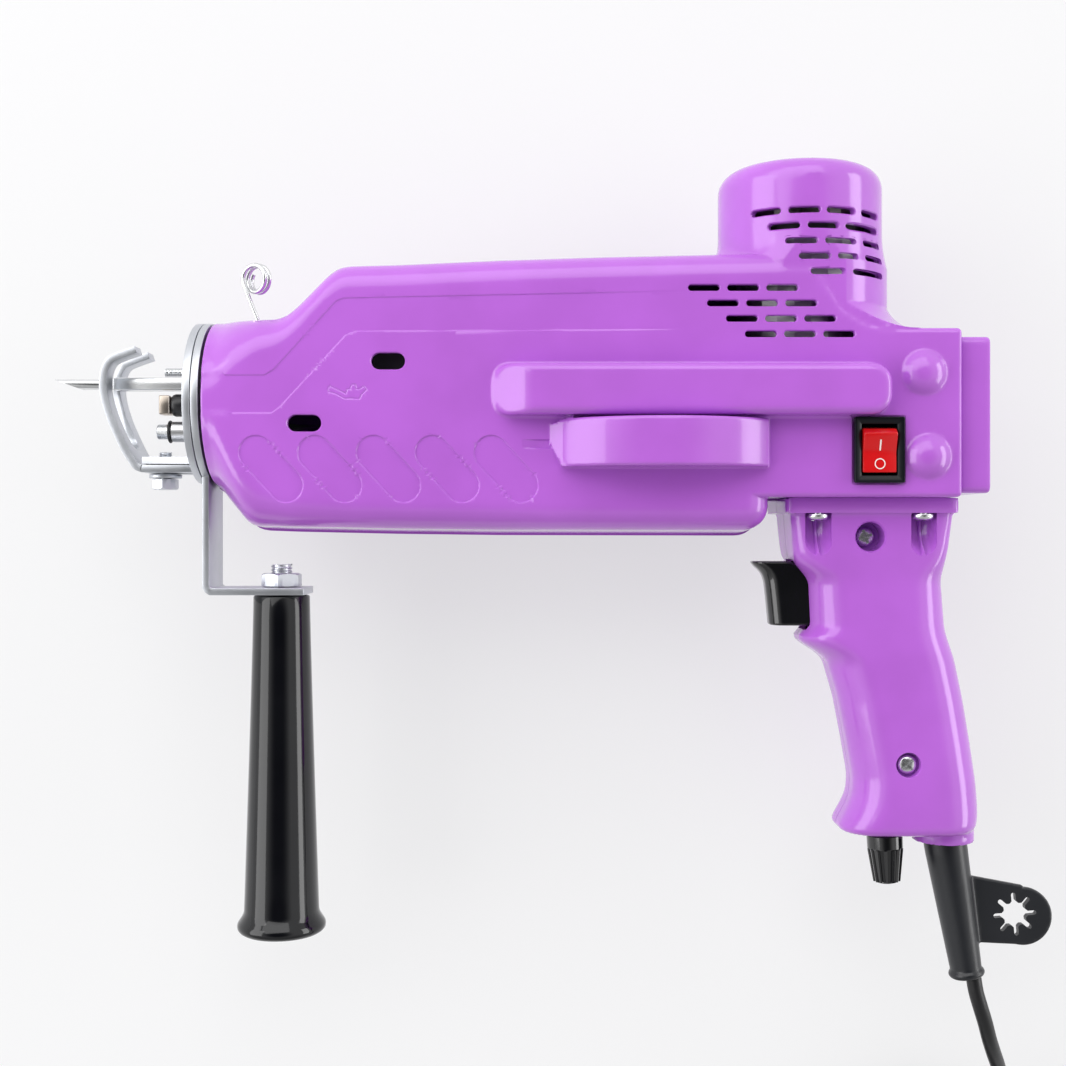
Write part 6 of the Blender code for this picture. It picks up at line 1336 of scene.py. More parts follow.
# Screws. Zinc-plated pan heads with a cross recess: two clamp the grip, four hang it from the
# tail, and three close the housing from its far side.
SCREW_SIDES = 32
GRIP_SCREW = {"head_radius": 0.0031, "head_height": 0.0020, "shank_length": 0.0120}
SMALL_SCREW = {"head_radius": 0.0034, "head_height": 0.0021, "shank_length": 0.0042}
SCREW_SHANK_RADIUS = 0.00145
SCREW_CROSS_SHARE = 0.31
FLANGE_SCREW_HEIGHT = 0.0150
HEAD_PROFILE = ((0.97, 0.0), (1.0, 0.12), (1.0, 0.42), (0.93, 0.68), (0.76, 0.88), (0.5, 1.0))
CROSS_LENGTH = 1.45  # of the head's radius
CROSS_DEPTH = (1.3, 1.05)  # the blade's height and its middle, of the head's height
SOCKET_CONE = (0.12, 0.27, 1.2, 0.35)  # its radii, its height and its middle
GRIP_SCREW_TURNS = (0.35, 0.7)
FLANGE_SCREW_TURNS = (0.5, 1.5)
HOUSING_SCREW_TURNS = (0, 0.4, 0.8)
BRIGHT_STEEL = (0.78, 0.79, 0.80)
GRIP_SCREWS = ("grip_screw_upper", "grip_screw_lower")
FLANGE_SCREWS = (
    "flange_screw_near_front",
    "flange_screw_near_rear",
    "flange_screw_far_front",
    "flange_screw_far_rear",
)
HOUSING_SCREWS = ("housing_screw_front", "housing_screw_rear", "housing_screw_top")


def bar_of(sides, radius, length):
    """A round bar with its middle on the origin."""
    sizes = {"Vertices": sides, "Radius": radius, "Depth": length}
    return length.read("GeometryNodeMeshCylinder", inputs=sizes)


def cut_by(shape, cutter):
    """A shape with another taken out of it."""
    sockets = {"Mesh 1": shape, "Mesh 2": cutter}
    way = {"operation": "DIFFERENCE", "solver": "EXACT"}
    return shape.read("GeometryNodeMeshBoolean", inputs=sockets, **way)


screw_tree, screw_given = tree_of(
    "pan_screw", ("Head Radius", "Head Height", "Shank Radius", "Shank Length", "Cross Share")
)
head_radius = screw_given["Head Radius"]
head_height = screw_given["Head Height"]
head_rings = []
for across, up in HEAD_PROFILE:
    sizes = {"Vertices": SCREW_SIDES, "Radius": head_radius * across}
    ring = head_radius.read("GeometryNodeMeshCircle", inputs=sizes)
    head_rings.append(shifted(ring, Z=head_height * up))
head = hull_of(*head_rings)
blade_width = head_radius * screw_given["Cross Share"]
blade_size = {"X": head_radius * CROSS_LENGTH, "Y": blade_width, "Z": head_height * CROSS_DEPTH[0]}
blade_size = head_radius.read("ShaderNodeCombineXYZ", inputs=blade_size)
for turn in (0.0, math.pi / 2):
    blade = head_radius.read("GeometryNodeMeshCube", inputs={"Size": blade_size})
    head = cut_by(head, shifted(blade, (0, 0, turn), Z=head_height * CROSS_DEPTH[1]))
bottom, top, depth, middle = SOCKET_CONE
socket_cone = cone_of(12, head_radius * bottom, head_radius * top, head_height * depth)
head = cut_by(head, shifted(socket_cone, Z=head_height * middle))
shank = bar_of(16, screw_given["Shank Radius"], screw_given["Shank Length"])
shank = shifted(shank, Z=screw_given["Shank Length"] * -0.5)
close_tree(screw_given, on_points(screw_given, together(head, shank)))


def metal(name, colour, roughness, grain=0.06, scale=(900, 900, 900), **constants):
    """A metal finish with fine grain in its gloss."""
    finish, shader, place = finish_of(name, colour, roughness, Metallic=1.0, **constants)
    fine = place.stretched(scale).noise(1, detail=4, roughness=0.6)
    patch = place.noise(60, detail=2)
    tone = patch.between(0.3, 0.7).mix((*(c * 0.93 for c in colour), 1), (*colour, 1))
    tone.feed(shader.inputs["Base Color"])
    gloss = fine * grain + patch * 0.06 + (roughness - grain / 2 - 0.03)
    gloss.feed(shader.inputs["Roughness"])
    fine.bump(0.00002, 0.4).feed(shader.inputs["Normal"])
    return finish


bright_steel = metal("bright_steel", BRIGHT_STEEL, 0.26)
grip_places = [(x, y, floor + SEAM_GAP) for x, y, floor, _ in GRIP_WELLS]
flange_places = []
flange_turns = []
for side in (1, -1):
    for x, turn in zip(RECESS_X, FLANGE_SCREW_TURNS):
        flange_places.append((x, GRIP_BODY_Y - SEAM_GAP, side * FLANGE_SCREW_HEIGHT))
        flange_turns.append((math.pi / 2, turn, 0))
far_places = []
for node in HOUSING_SCREWS:
    low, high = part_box(node)
    foot = low[2] - REST_HEIGHT + GRIP_SCREW["head_height"]
    far_places.append(((low[0] + high[0]) / 2, (low[1] + high[1]) / 2, foot))
grip_turns = [(0, 0, turn) for turn in GRIP_SCREW_TURNS]
far_turns = [(math.pi, 0, turn) for turn in HOUSING_SCREW_TURNS]
screw_meshes = []
for name, places, turns, sizes in (
    ("grip_screws", grip_places, grip_turns, GRIP_SCREW),
    ("flange_screws", flange_places, flange_turns, SMALL_SCREW),
    ("housing_screws", far_places, far_turns, GRIP_SCREW),
):
    base = places_mesh(name, places, turns=turns)
    sizes = {**sizes, "shank_radius": SCREW_SHANK_RADIUS, "cross_share": SCREW_CROSS_SHARE}
    screw_meshes.append(made_by(screw_tree, name, base, finish=bright_steel, **sizes))
screws_mesh = joined("pan_screws", *screw_meshes)
screw_nodes = (*GRIP_SCREWS, *FLANGE_SCREWS, *HOUSING_SCREWS)
put("pan_screws", screws_mesh, bright_steel, "bright_steel", *screw_nodes, angle=40)

# Switch. A snap-in mains rocker: a satin black frame with a bevelled mouth, and a glossy red
# rocker with white I and O that rests tipped to one side.
SWITCH_RIM = 0.0022
SWITCH_TOP = 0.0283
SWITCH_BASE = 0.0268
SWITCH_DEEP = 0.0085
SWITCH_BEVEL = (0.0012, 0.0008)
SWITCH_LIP = 0.0013
SWITCH_CHAMFER = (0.0003, 0.0004)
SWITCH_CORNERS = (0.0003, 0.0004, 0.0005)
ROCKER_PIVOT = 0.0238
ROCKER_TILT = math.radians(9)
ROCKER_RISE = 0.0052
ROCKER_BASE = 0.0040
ROCKER_GAP = 0.0004
ROCKER_EDGE = 0.0004
ROCKER_FRONT = (
    # share of its half length, height
    (-0.5, -ROCKER_BASE), (0.5, -ROCKER_BASE), (0.99, 0), (0.98, ROCKER_RISE * 0.62),
)
ROCKER_BACK = (-0.97, 0)
ROCKER_SADDLE = (0.88, 1.25)  # where the top's hollow ends, as a share of its length, and how full
ROCKER_TOP_ENDS = (0.82, -0.88)
ROCKER_TOP_STEPS = 12
MARK_I = (0.0021, 0.0034, 0.00022)  # middle, length, half width
MARK_O = (-0.0036, 0.0015, 0.00030)  # middle, radius, line
MARK_I_STEPS = 6
MARK_O_STEPS = 40
MARK_RISE = 0.00012
MARK_SINK = 0.0002
SWITCH_BLACK = (0.0025, 0.0035, 0.0060)
ROCKER_RED = (0.55, 0.006, 0.008)
MARK_WHITE = (0.80, 0.74, 0.72)


def soften(mesh, width, segments=2, angle=35):
    """Rounds the sharp edges of a mesh."""
    net = opened(mesh)
    limit = math.radians(angle)
    inner = [edge for edge in net.edges if len(edge.link_faces) == 2]
    sharp = [edge for edge in inner if edge.calc_face_angle(0) > limit]
    shape = {"offset": width, "segments": segments, "profile": 0.5, "affect": "EDGES"}
    bmesh.ops.bevel(net, geom=sharp, clamp_overlap=True, **shape)
    return written(net, mesh)


def plastic(name, colour, roughness, grain=0.04, scale=700, **constants):
    """A moulded finish with faint clouds in its gloss and its colour."""
    finish, shader, place = finish_of(name, colour, roughness, **constants)
    cloud = place.noise(45, detail=3)
    fine = place.noise(scale, detail=3)
    light = (*(min(1, c * 1.12 + 0.002) for c in colour), 1)
    cloud.between(0.3, 0.7).mix((*colour, 1), light).feed(shader.inputs["Base Color"])
    gloss = cloud * 0.05 + fine * grain + (roughness - 0.025 - grain / 2)
    gloss.feed(shader.inputs["Roughness"])
    (fine * 0.6 + cloud).bump(0.00003, 0.4).feed(shader.inputs["Normal"])
    return finish


switch_black = plastic("switch_black", SWITCH_BLACK, 0.30, Specular_IOR_Level=0.25)
rocker_red = plastic(
    "rocker_red", ROCKER_RED, 0.17, Specular_IOR_Level=0.3, Coat_Weight=0.15, Coat_Roughness=0.08
)
mark_white = plastic("mark_white", MARK_WHITE, 0.4)
half_a, half_b = SWITCH_HALF
small, mid, large = SWITCH_CORNERS
bevel, bevel_depth = SWITCH_BEVEL
frame_steps = (
    # how far inside the outline, corner, height
    (SWITCH_LIP, mid, SWITCH_DEEP),
    (SWITCH_LIP, mid, SWITCH_BASE),
    (0, large, SWITCH_BASE),
    (0, large, SWITCH_TOP - SWITCH_CHAMFER[1]),
    (SWITCH_CHAMFER[0], large, SWITCH_TOP),
    (SWITCH_RIM - bevel, mid, SWITCH_TOP),
    (SWITCH_RIM, small, SWITCH_TOP - bevel_depth),
    (SWITCH_RIM, small, ROCKER_PIVOT - 2 * ROCKER_BASE),
)
frame_rings = [rounded_ring(half_a - i, half_b - i, corner, up) for i, corner, up in frame_steps]
switch_frame = loft_of("switch_frame", frame_rings)
switch_frame.transform(Matrix.Translation((*SWITCH_CENTRE, 0)))
put("switch_frame", switch_frame, switch_black, "satin_black_plastic", "rocker_housing")

inner_a, inner_b = half_a - SWITCH_RIM, half_b - SWITCH_RIM
reach = inner_b - 2 * ROCKER_GAP
crown = ROCKER_RISE - reach * math.tan(ROCKER_TILT)


def top_of_rocker(b):
    """The height of the rocker's top, which is hollow like a saddle."""
    end, fullness = ROCKER_SADDLE
    share = min(abs(b) / reach, end)
    return ROCKER_RISE - (ROCKER_RISE - crown) * (1 - share / end) ** fullness


rocker_line = [(reach * b, height) for b, height in ROCKER_FRONT]
top_start, top_end = ROCKER_TOP_ENDS
for i in range(ROCKER_TOP_STEPS + 1):
    b = reach * (top_start + (top_end - top_start) * i / ROCKER_TOP_STEPS)
    rocker_line.append((b, top_of_rocker(b)))
rocker_line.append((reach * ROCKER_BACK[0], ROCKER_BACK[1]))
rocker_rings = []
for x in (-inner_a + ROCKER_GAP, inner_a - ROCKER_GAP):
    rocker_rings.append([(x, b, c) for b, c in rocker_line])
rocker_mesh = soften(loft_of("rocker", rocker_rings), ROCKER_EDGE, segments=3, angle=40)
rocker_place = Matrix.Translation((*SWITCH_CENTRE, ROCKER_PIVOT))
rocker_place @= Matrix.Rotation(ROCKER_TILT, 4, "X")
rocker_mesh.transform(rocker_place)
put("rocker_key", rocker_mesh, rocker_red, "red_plastic", "rocker", body="rocker_button", angle=28)

middle, length, wide = MARK_I
mark_rings = []
for i in range(MARK_I_STEPS + 1):
    b = middle - length / 2 + length * i / MARK_I_STEPS
    low, high = top_of_rocker(b) - MARK_SINK, top_of_rocker(b) + MARK_RISE
    mark_rings.append([(-wide, b, low), (wide, b, low), (wide, b, high), (-wide, b, high)])
mark_line = loft_of("mark_line", mark_rings)
middle, radius, wide = MARK_O
mark_rings = []
for i in range(MARK_O_STEPS):
    turn = math.tau * i / MARK_O_STEPS
    ring = []
    for side, rise in ((-1, -MARK_SINK), (1, -MARK_SINK), (1, MARK_RISE), (-1, MARK_RISE)):
        r = radius + side * wide / 2
        b = middle + r * math.sin(turn)
        ring.append((r * math.cos(turn), b, top_of_rocker(b) + rise))
    mark_rings.append(ring)
mark_circle = loft_of("mark_circle", [*mark_rings, mark_rings[0]], closed_ends=False)
marks = joined("rocker_marks", mark_line, mark_circle)
marks.transform(rocker_place)
put("rocker_marks", marks, mark_white, "nylon", body="rocker_button")

# Trigger. Glossy black moulding, hooked at the top for the finger and hollowed down its front. It
# slides in the grip's window.
TRIGGER_BLACK = (0.0022, 0.0024, 0.0035)
TRIGGER_STATIONS = (
    # how far down, front X
    (0.0534, 0.0303), (0.0544, 0.0303), (0.0556, 0.0318), (0.0575, 0.0337), (0.0600, 0.0347),
    (0.0660, 0.0354), (0.0744, 0.0362),
)
TRIGGER_BACK_X = 0.0530
TRIGGER_TOP_Y = -0.0536
TRIGGER_FOOT_Y = -0.0744
TRIGGER_HALF_WIDTH = 0.0060
TRIGGER_ROUND = 0.0048
TRIGGER_EDGE = 0.0007
TRIGGER_EASE = 0.0010
TRIGGER_RUN_ON = 0.006  # of the round plan, past the flat back
TRIGGER_NET = ((0.028, -0.077, -0.008), (0.056, -0.051, 0.008))
TRIGGER_STEP = 0.0007
FORM_BEND_ANGLE = 12


def trigger_shape(x, y, z):
    """A block with a round, hooked front and a soft ridge where the finger lies."""
    front = along(TRIGGER_STATIONS, -y, TRIGGER_EASE)
    half = (TRIGGER_BACK_X + TRIGGER_RUN_ON - front) / 2
    plan = rounded_box(x - front - half, z, half, TRIGGER_HALF_WIDTH, TRIGGER_ROUND)
    plan = np.maximum(plan, x - TRIGGER_BACK_X)
    middle, half_height = middle_and_half((TRIGGER_FOOT_Y, TRIGGER_TOP_Y))
    return both(plan, np.abs(y - middle) - half_height, TRIGGER_EDGE)


gloss_black = plastic(
    "gloss_black", TRIGGER_BLACK, 0.12, grain=0.03, Coat_Weight=0.5, Coat_Roughness=0.05
)
trigger_mesh = net_mesh(
    "trigger", trigger_shape, *TRIGGER_NET, TRIGGER_STEP, passes=1, angle=FORM_BEND_ANGLE
)
put(
    "trigger_key", trigger_mesh, gloss_black, "gloss_black_plastic", "trigger", body="trigger_lever"
)

# Speed knob. A black moulded knob under the grip, pressed on its spindle: a plain band at its root,
# then flutes that run down its taper to a rounded end.
KNOB_DROP = 0.0119
KNOB_START_Y = -0.1306
KNOB_LENGTH = 0.0162
KNOB_RADII = (0.0058, 0.0044)
KNOB_BAND = 0.0048
KNOB_EDGE = 0.0004
KNOB_BAND_LEAN = (0.985, 0.93)  # its radius before its edge, and after
KNOB_RIBS = 14
KNOB_RIB_RADIUS = 0.00085
KNOB_RIB_TAPER = 0.7
KNOB_RIB_SINK = (0.0008, 0.0006, 0.0002)  # into the band, the end and the root
KNOB_END = ((0.90, 0.0016), (0.78, 0.0005), (0.5, 0.0001))
SPINDLE_RADIUS = 0.0028
SPINDLE_LENGTH = 0.006


def lathe(name, profile, start, axis, sides=48):
    """A turned piece: (radius, distance along the axis) pairs spun round the axis."""
    axis = Vector(axis).normalized()
    across = axis.orthogonal().normalized()
    other = axis.cross(across)
    turns = [math.tau * i / sides for i in range(sides)]
    ways = [across * math.cos(turn) + other * math.sin(turn) for turn in turns]
    shape = bmesh.new()
    rows = []
    for radius, along_axis in profile:
        centre = Vector(start) + axis * along_axis
        places = [centre + way * radius for way in ways] if radius else [centre]
        rows.append([shape.verts.new(place) for place in places])
    for first, second in zip(rows, rows[1:]):
        for i in range(sides):
            j = (i + 1) % sides
            if len(first) == 1:
                shape.faces.new((first[0], second[j], second[i]))
            elif len(second) == 1:
                shape.faces.new((first[i], first[j], second[0]))
            else:
                shape.faces.new((first[i], first[j], second[j], second[i]))
    for row in (rows[0], rows[-1]):
        if len(row) > 1:
            shape.faces.new(row)
    bmesh.ops.recalc_face_normals(shape, faces=shape.faces[:])
    return written(shape, name)


rib_tree, rib_given = tree_of("knob_ribs", ("Count", "Ring Radius", "Rib Radius", "Length", "Lean"))
rib_count = rib_given["Count"]
rib_radius = rib_given["Rib Radius"]
rib_ring = {"Vertices": rib_count, "Radius": rib_given["Ring Radius"]}
rib_ring = rib_count.read("GeometryNodeMeshCircle", inputs=rib_ring)
rib_lean = rib_count.read("ShaderNodeCombineXYZ", inputs={"Y": rib_given["Lean"]})
rib_cone = cone_of(8, rib_radius, rib_radius * KNOB_RIB_TAPER, rib_given["Length"])
rib = shifted(rib_cone, rib_lean)
rib_place = rib_count.read("GeometryNodeInputPosition")
rib_turn = rib_place.read(
    "FunctionNodeAlignRotationToVector", inputs={"Vector": rib_place}, axis="X", pivot_axis="Z"
)
rib_copies = {"Points": rib_ring, "Instance": rib, "Rotation": rib_turn}
close_tree(rib_given, rib_ring.read("GeometryNodeInstanceOnPoints", inputs=rib_copies))

band_radius, end_radius = KNOB_RADII
band_sink, end_sink, root_sink = KNOB_RIB_SINK
knob_profile = [
    (0, -SPINDLE_LENGTH),
    (SPINDLE_RADIUS, -SPINDLE_LENGTH),
    (SPINDLE_RADIUS, 0),
    (band_radius - KNOB_EDGE, 0),
    (band_radius, KNOB_EDGE),
    (band_radius * KNOB_BAND_LEAN[0], KNOB_BAND - KNOB_EDGE),
    (band_radius * KNOB_BAND_LEAN[1], KNOB_BAND),
    *((end_radius * across, KNOB_LENGTH - up) for across, up in KNOB_END),
    (0, KNOB_LENGTH),
]
knob_mesh = lathe("knob", knob_profile, (0, 0, 0), (0, 0, 1))
rib_length = KNOB_LENGTH - KNOB_BAND - end_sink
rib_rings = (band_radius - band_sink, end_radius - end_sink)
ribs_mesh = made_by(
    rib_tree,
    "ribs",
    bpy.data.meshes.new("rib_base"),
    finish=gloss_black,
    count=KNOB_RIBS,
    ring_radius=rib_rings[0],
    rib_radius=KNOB_RIB_RADIUS,
    length=rib_length,
    lean=-math.atan2(rib_rings[0] - rib_rings[1], rib_length),
)
ribs_mesh.transform(Matrix.Translation((0, 0, KNOB_BAND - root_sink)))
knob_whole = joined("speed_dial", knob_mesh, ribs_mesh)
knob_start = Vector((KNOB_AXIS_X, KNOB_START_Y, 0)) + knob_axis * KNOB_DROP
knob_whole.transform(aimed(knob_axis, knob_start))
put(
    "speed_dial", knob_whole, gloss_black, "gloss_black_plastic", "speed_knob", body="speed_dial"
)

# Cord sleeve. Satin charcoal rubber that tapers to a bead, moulded in one with a flat hanging tab.
# A round hole with eight slots in the tab holds the cord's end when it is wound up.
SLEEVE_BLACK = (0.009, 0.010, 0.013)
SLEEVE_RADII = (0.0068, 0.0049)
SLEEVE_PLAIN = 0.0072  # the straight part inside the collar
SLEEVE_EDGE = 0.0006
SLEEVE_BEAD_RADIUS = 0.00575
SLEEVE_BEAD_ROUND = 0.0013
SLEEVE_BEAD_FILLET = 0.0004
TAB_CENTRE = (0.1191, -0.1694)
TAB_RADIUS = 0.0094
TAB_UPPER = ((0.1014, -0.1561), (0.184, 0.983))
TAB_LOWER = ((0.1043, -0.1779), (-0.048, -0.999))
TAB_HALF_THICKNESS = 0.0012
TAB_EDGE = 0.0006
TAB_FILLET = 0.0008
STAR_CENTRE = (0.1163, -0.1686)
STAR_HUB = 0.0037
STAR_REACH = 0.0070
STAR_ARM_RADIUS = 0.00072
STAR_ARMS = 8
STAR_FILLET = 0.0008
STAR_FILLET_SHARES = (0.8, 0.7)  # outward, and to the side
STAR_FIRST = math.radians(5)
STAR_FILLET_STEPS = 3
STAR_END_STEPS = 4
SLEEVE_NET = ((0.080, -0.194, -0.009), (0.132, -0.136, 0.009))
SLEEVE_STEP = 0.0009


def sleeve_parts(x, y, z):
    """Distance along the sleeve's axis and away from it."""
    offset_x = x - sleeve_root.x
    offset_y = y - sleeve_root.y
    down = offset_x * sleeve_axis.x + offset_y * sleeve_axis.y
    aside = offset_x * sleeve_side.x + offset_y * sleeve_side.y
    return down, aside, np.hypot(aside, z)


def sleeve_shape(x, y, z):
    """The tapered sleeve with its bead and tab, and the star-shaped hole."""
    down, aside, away = sleeve_parts(x, y, z)
    share = np.clip((down - SLEEVE_PLAIN) / (SLEEVE_LENGTH - SLEEVE_PLAIN), 0, 1)
    radius = SLEEVE_RADII[0] + (SLEEVE_RADII[1] - SLEEVE_RADII[0]) * share
    half = SLEEVE_LENGTH / 2
    cone = both(away - radius, np.abs(down - half) - half, SLEEVE_EDGE)
    bead_reach = SLEEVE_BEAD_RADIUS - SLEEVE_BEAD_ROUND
    bead_middle = SLEEVE_LENGTH - SLEEVE_BEAD_ROUND
    bead = np.hypot(away - bead_reach, down - bead_middle) - SLEEVE_BEAD_ROUND
    shape = either(cone, bead, SLEEVE_BEAD_FILLET)
    plan = np.hypot(x - TAB_CENTRE[0], y - TAB_CENTRE[1]) - TAB_RADIUS
    root = np.maximum(-aside, x - TAB_CENTRE[0])
    for (edge_x, edge_y), (out_x, out_y) in (TAB_UPPER, TAB_LOWER):
        root = np.maximum(root, (x - edge_x) * out_x + (y - edge_y) * out_y)
    plan = np.minimum(plan, root)
    tab = both(plan, np.abs(z) - TAB_HALF_THICKNESS, TAB_EDGE)
    return either(shape, tab, TAB_FILLET)


def star_outline():
    """Points round the hole: a hub, and eight arms with round ends and soft roots."""
    points = []
    half = math.asin(STAR_ARM_RADIUS / STAR_HUB)
    root = STAR_HUB * math.cos(half)
    shoulder = STAR_REACH - STAR_ARM_RADIUS
    run, spread = STAR_FILLET_SHARES
    path = []
    for i in range(STAR_FILLET_STEPS + 1):
        bend = math.sin(math.pi / 2 * i / STAR_FILLET_STEPS)
        out = root + STAR_FILLET * bend * run
        path.append((out, STAR_ARM_RADIUS + STAR_FILLET * (1 - bend) * spread))
    for i in range(STAR_END_STEPS + 1):
        bend = math.pi / 2 * i / STAR_END_STEPS
        out = shoulder + STAR_ARM_RADIUS * math.sin(bend)
        path.append((out, STAR_ARM_RADIUS * math.cos(bend)))
    for arm in range(STAR_ARMS):
        turn = STAR_FIRST + math.tau * arm / STAR_ARMS
        outward = Vector((math.cos(turn), math.sin(turn)))
        aside = Vector((-outward.y, outward.x))
        points += [outward * out - aside * away for out, away in path]
        points += [outward * out + aside * away for out, away in path[-2::-1]]
    return [Vector(STAR_CENTRE) + point for point in points]


sleeve_rubber = plastic("sleeve_rubber", SLEEVE_BLACK, 0.33, grain=0.10, scale=1500)
sleeve_mesh = net_mesh(
    "sleeve", sleeve_shape, *SLEEVE_NET, SLEEVE_STEP, passes=1, angle=FORM_BEND_ANGLE
)
star_rings = []
for z in (-2 * TAB_HALF_THICKNESS, 2 * TAB_HALF_THICKNESS):
    star_rings.append([(point.x, point.y, z) for point in star_outline()])
sleeve_mesh = carve(sleeve_mesh, loft_of("star", star_rings))
put("cord_sleeve", sleeve_mesh, sleeve_rubber, "black_rubber", "strain_relief", angle=40)

# Side handle. A turned black grip with a high gloss that flares to a lip at its foot, held up to
# the bracket by a threaded stud and a nut.
HANDLE_X = -0.1226
HANDLE_TOP_Y = -0.0647
HANDLE_LENGTH = 0.1095
HANDLE_RADII = (0.0091, 0.0121, 0.0143)
HANDLE_BORE = 0.0035
STUD_RADIUS = 0.0034
STUD_TOP_Y = -0.0548
NUT_RADIUS = 0.0069
NUT_HEIGHT = 0.0042
THREAD_PITCH = 0.0011
THREAD_DEPTH = 0.00032
HANDLE_EDGE = ((0.0006, 0), (0.0002, 0.0002), (0, 0.0006))
HANDLE_FLARE = 1.12
HANDLE_FLARE_END = 0.935  # of the handle's length
HANDLE_LIP = (
    # share of the flare from the waist to the lip, and how far down
    (0.12, 0.945), (0.40, 0.956), (0.78, 0.967), (0.96, 0.974),
    (1.00, 0.981), (0.96, 0.988), (0.70, 0.995), (0.30, 1.0),
)
HANDLE_FLARE_STEPS = 16
HANDLE_DISH = 0.998  # the middle of its end, as a share of its length
THREAD_SINK = 0.75  # of its depth
HEX_FOOT = 0.985  # of the corners' reach
HEX_FACE = 0.94  # of the flats' reach
HEX_LAND = 0.15  # of the chamfer, in the middle of a flat
HEX_FOOT_DROP = 0.5  # of the chamfer's drop
LEG_INNER_Y = -0.0621
HANDLE_BLACK = (0.0012, 0.0014, 0.0028)

handle_black = plastic(
    "handle_black", HANDLE_BLACK, 0.10, grain=0.02, Specular_IOR_Level=0.4, Coat_Weight=0.2
)
root, waist, lip = HANDLE_RADII
bore_end = HANDLE_LENGTH / 3
handle_profile = [(0, bore_end), (HANDLE_BORE, bore_end), (HANDLE_BORE, 0)]
handle_profile += [(root - inside, down) for inside, down in HANDLE_EDGE]
edge_end = HANDLE_EDGE[-1][1]
flare_length = HANDLE_LENGTH * HANDLE_FLARE_END - edge_end
for i in range(1, HANDLE_FLARE_STEPS + 1):
    share = i / HANDLE_FLARE_STEPS
    radius = root + (waist - root) * share**HANDLE_FLARE
    handle_profile.append((radius, edge_end + flare_length * share))
for across, down in HANDLE_LIP:
    handle_profile.append((waist + (lip - waist) * across, HANDLE_LENGTH * down))
handle_profile.append((0, HANDLE_LENGTH * HANDLE_DISH))
handle_start = (HANDLE_X, HANDLE_TOP_Y, 0)
handle_mesh = lathe("side_grip", handle_profile, handle_start, (0, -1, 0), sides=72)
put("side_grip", handle_mesh, handle_black, "gloss_black_plastic", "side_handle")


def swept(line, sides, radius):
    """A wire along a curve."""
    ring = {"Resolution": sides, "Radius": radius}
    ring = radius.read("GeometryNodeCurvePrimitiveCircle", inputs=ring)
    sockets = {"Curve": line, "Profile Curve": ring, "Fill Caps": True}
    return line.read("GeometryNodeCurveToMesh", inputs=sockets)


thread_tree, thread_given = tree_of("thread", ("Radius", "Length", "Pitch", "Thread Depth"))
outer, depth = thread_given["Radius"], thread_given["Thread Depth"]
thread_length = thread_given["Length"]
core = bar_of(32, outer - depth, thread_length)
ratio = {0: thread_length, 1: thread_given["Pitch"]}
turns = outer.read("ShaderNodeMath", inputs=ratio, operation="DIVIDE")
helix_radius = outer - depth * THREAD_SINK
helix = {
    "Resolution": 28,
    "Rotations": turns,
    "Start Radius": helix_radius,
    "End Radius": helix_radius,
    "Height": thread_length,
}
helix = outer.read("GeometryNodeCurveSpiral", inputs=helix)
ridge = shifted(swept(helix, 6, depth), Z=thread_length * -0.5)
close_tree(thread_given, on_points(thread_given, together(core, ridge)))


def threaded(name, middle, turn, finish, radius, length, pitch, thread_depth):
    """A threaded rod round a point."""
    sizes = {"radius": radius, "length": length, "pitch": pitch, "thread_depth": thread_depth}
    return made_by(
        thread_tree, name, places_mesh(name, [middle], turns=[turn]), finish=finish, **sizes
    )


ZINC = (0.62, 0.64, 0.68)
zinc = metal("zinc_plate", ZINC, 0.40, grain=0.10, scale=(500, 500, 500))
stud_length = STUD_TOP_Y - HANDLE_TOP_Y + bore_end - SEAM_GAP
stud_middle = (HANDLE_X, STUD_TOP_Y - stud_length / 2, 0)
upright = (math.pi / 2, 0, 0)
stud_mesh = threaded(
    "handle_stud", stud_middle, upright, zinc, STUD_RADIUS, stud_length, THREAD_PITCH, THREAD_DEPTH
)
put("handle_thread", stud_mesh, zinc, "zinc_plated_steel", "handle_stud", angle=50)


def hexagon(name, radius, height, bore, start, axis, chamfer=0.0005):
    """A six-sided nut or bolt head, its corners turned off at the top."""
    sides = 48
    flat = radius * math.cos(math.pi / 6)
    turns = [math.tau * i / sides for i in range(sides)]
    bends = [(turn + math.pi / 6) % (math.pi / 3) - math.pi / 6 for turn in turns]
    reaches = [flat / math.cos(bend) for bend in bends]
    drops = [chamfer * (r - flat) / (radius - flat) + chamfer * HEX_LAND for r in reaches]

    def ring(reaches, heights):
        rows = zip(turns, reaches, heights)
        return [(r * math.cos(turn), r * math.sin(turn), up) for turn, r, up in rows]

    foot, face = [0] * sides, [height] * sides
    rings = [
        ring([r * HEX_FOOT for r in reaches], foot),
        ring(reaches, [drop * HEX_FOOT_DROP for drop in drops]),
        ring(reaches, [height - drop for drop in drops]),
        ring([flat * HEX_FACE] * sides, face),
    ]
    if bore:
        bore_foot = ring([bore] * sides, foot)
        rings = [bore_foot, *rings, ring([bore] * sides, face), bore_foot]
    mesh = loft_of(name, rings, closed_ends=not bore)
    mesh.transform(aimed(axis, Vector(start)))
    return mesh


nut_start = (HANDLE_X, LEG_INNER_Y + SEAM_GAP, 0)
nut_mesh = hexagon("handle_nut", NUT_RADIUS, NUT_HEIGHT, STUD_RADIUS, nut_start, (0, 1, 0))
put("handle_hex", nut_mesh, zinc, "zinc_plated_steel", "handle_nut", angle=25)

# Nose plates. A zinc-plated bracket of 2.3 mm sheet carries the side handle on a bent strap, and
# the front plate with its tab carries the presser foot. Their edges are broken and catch the light.
PLATE_EDGE = 0.00018


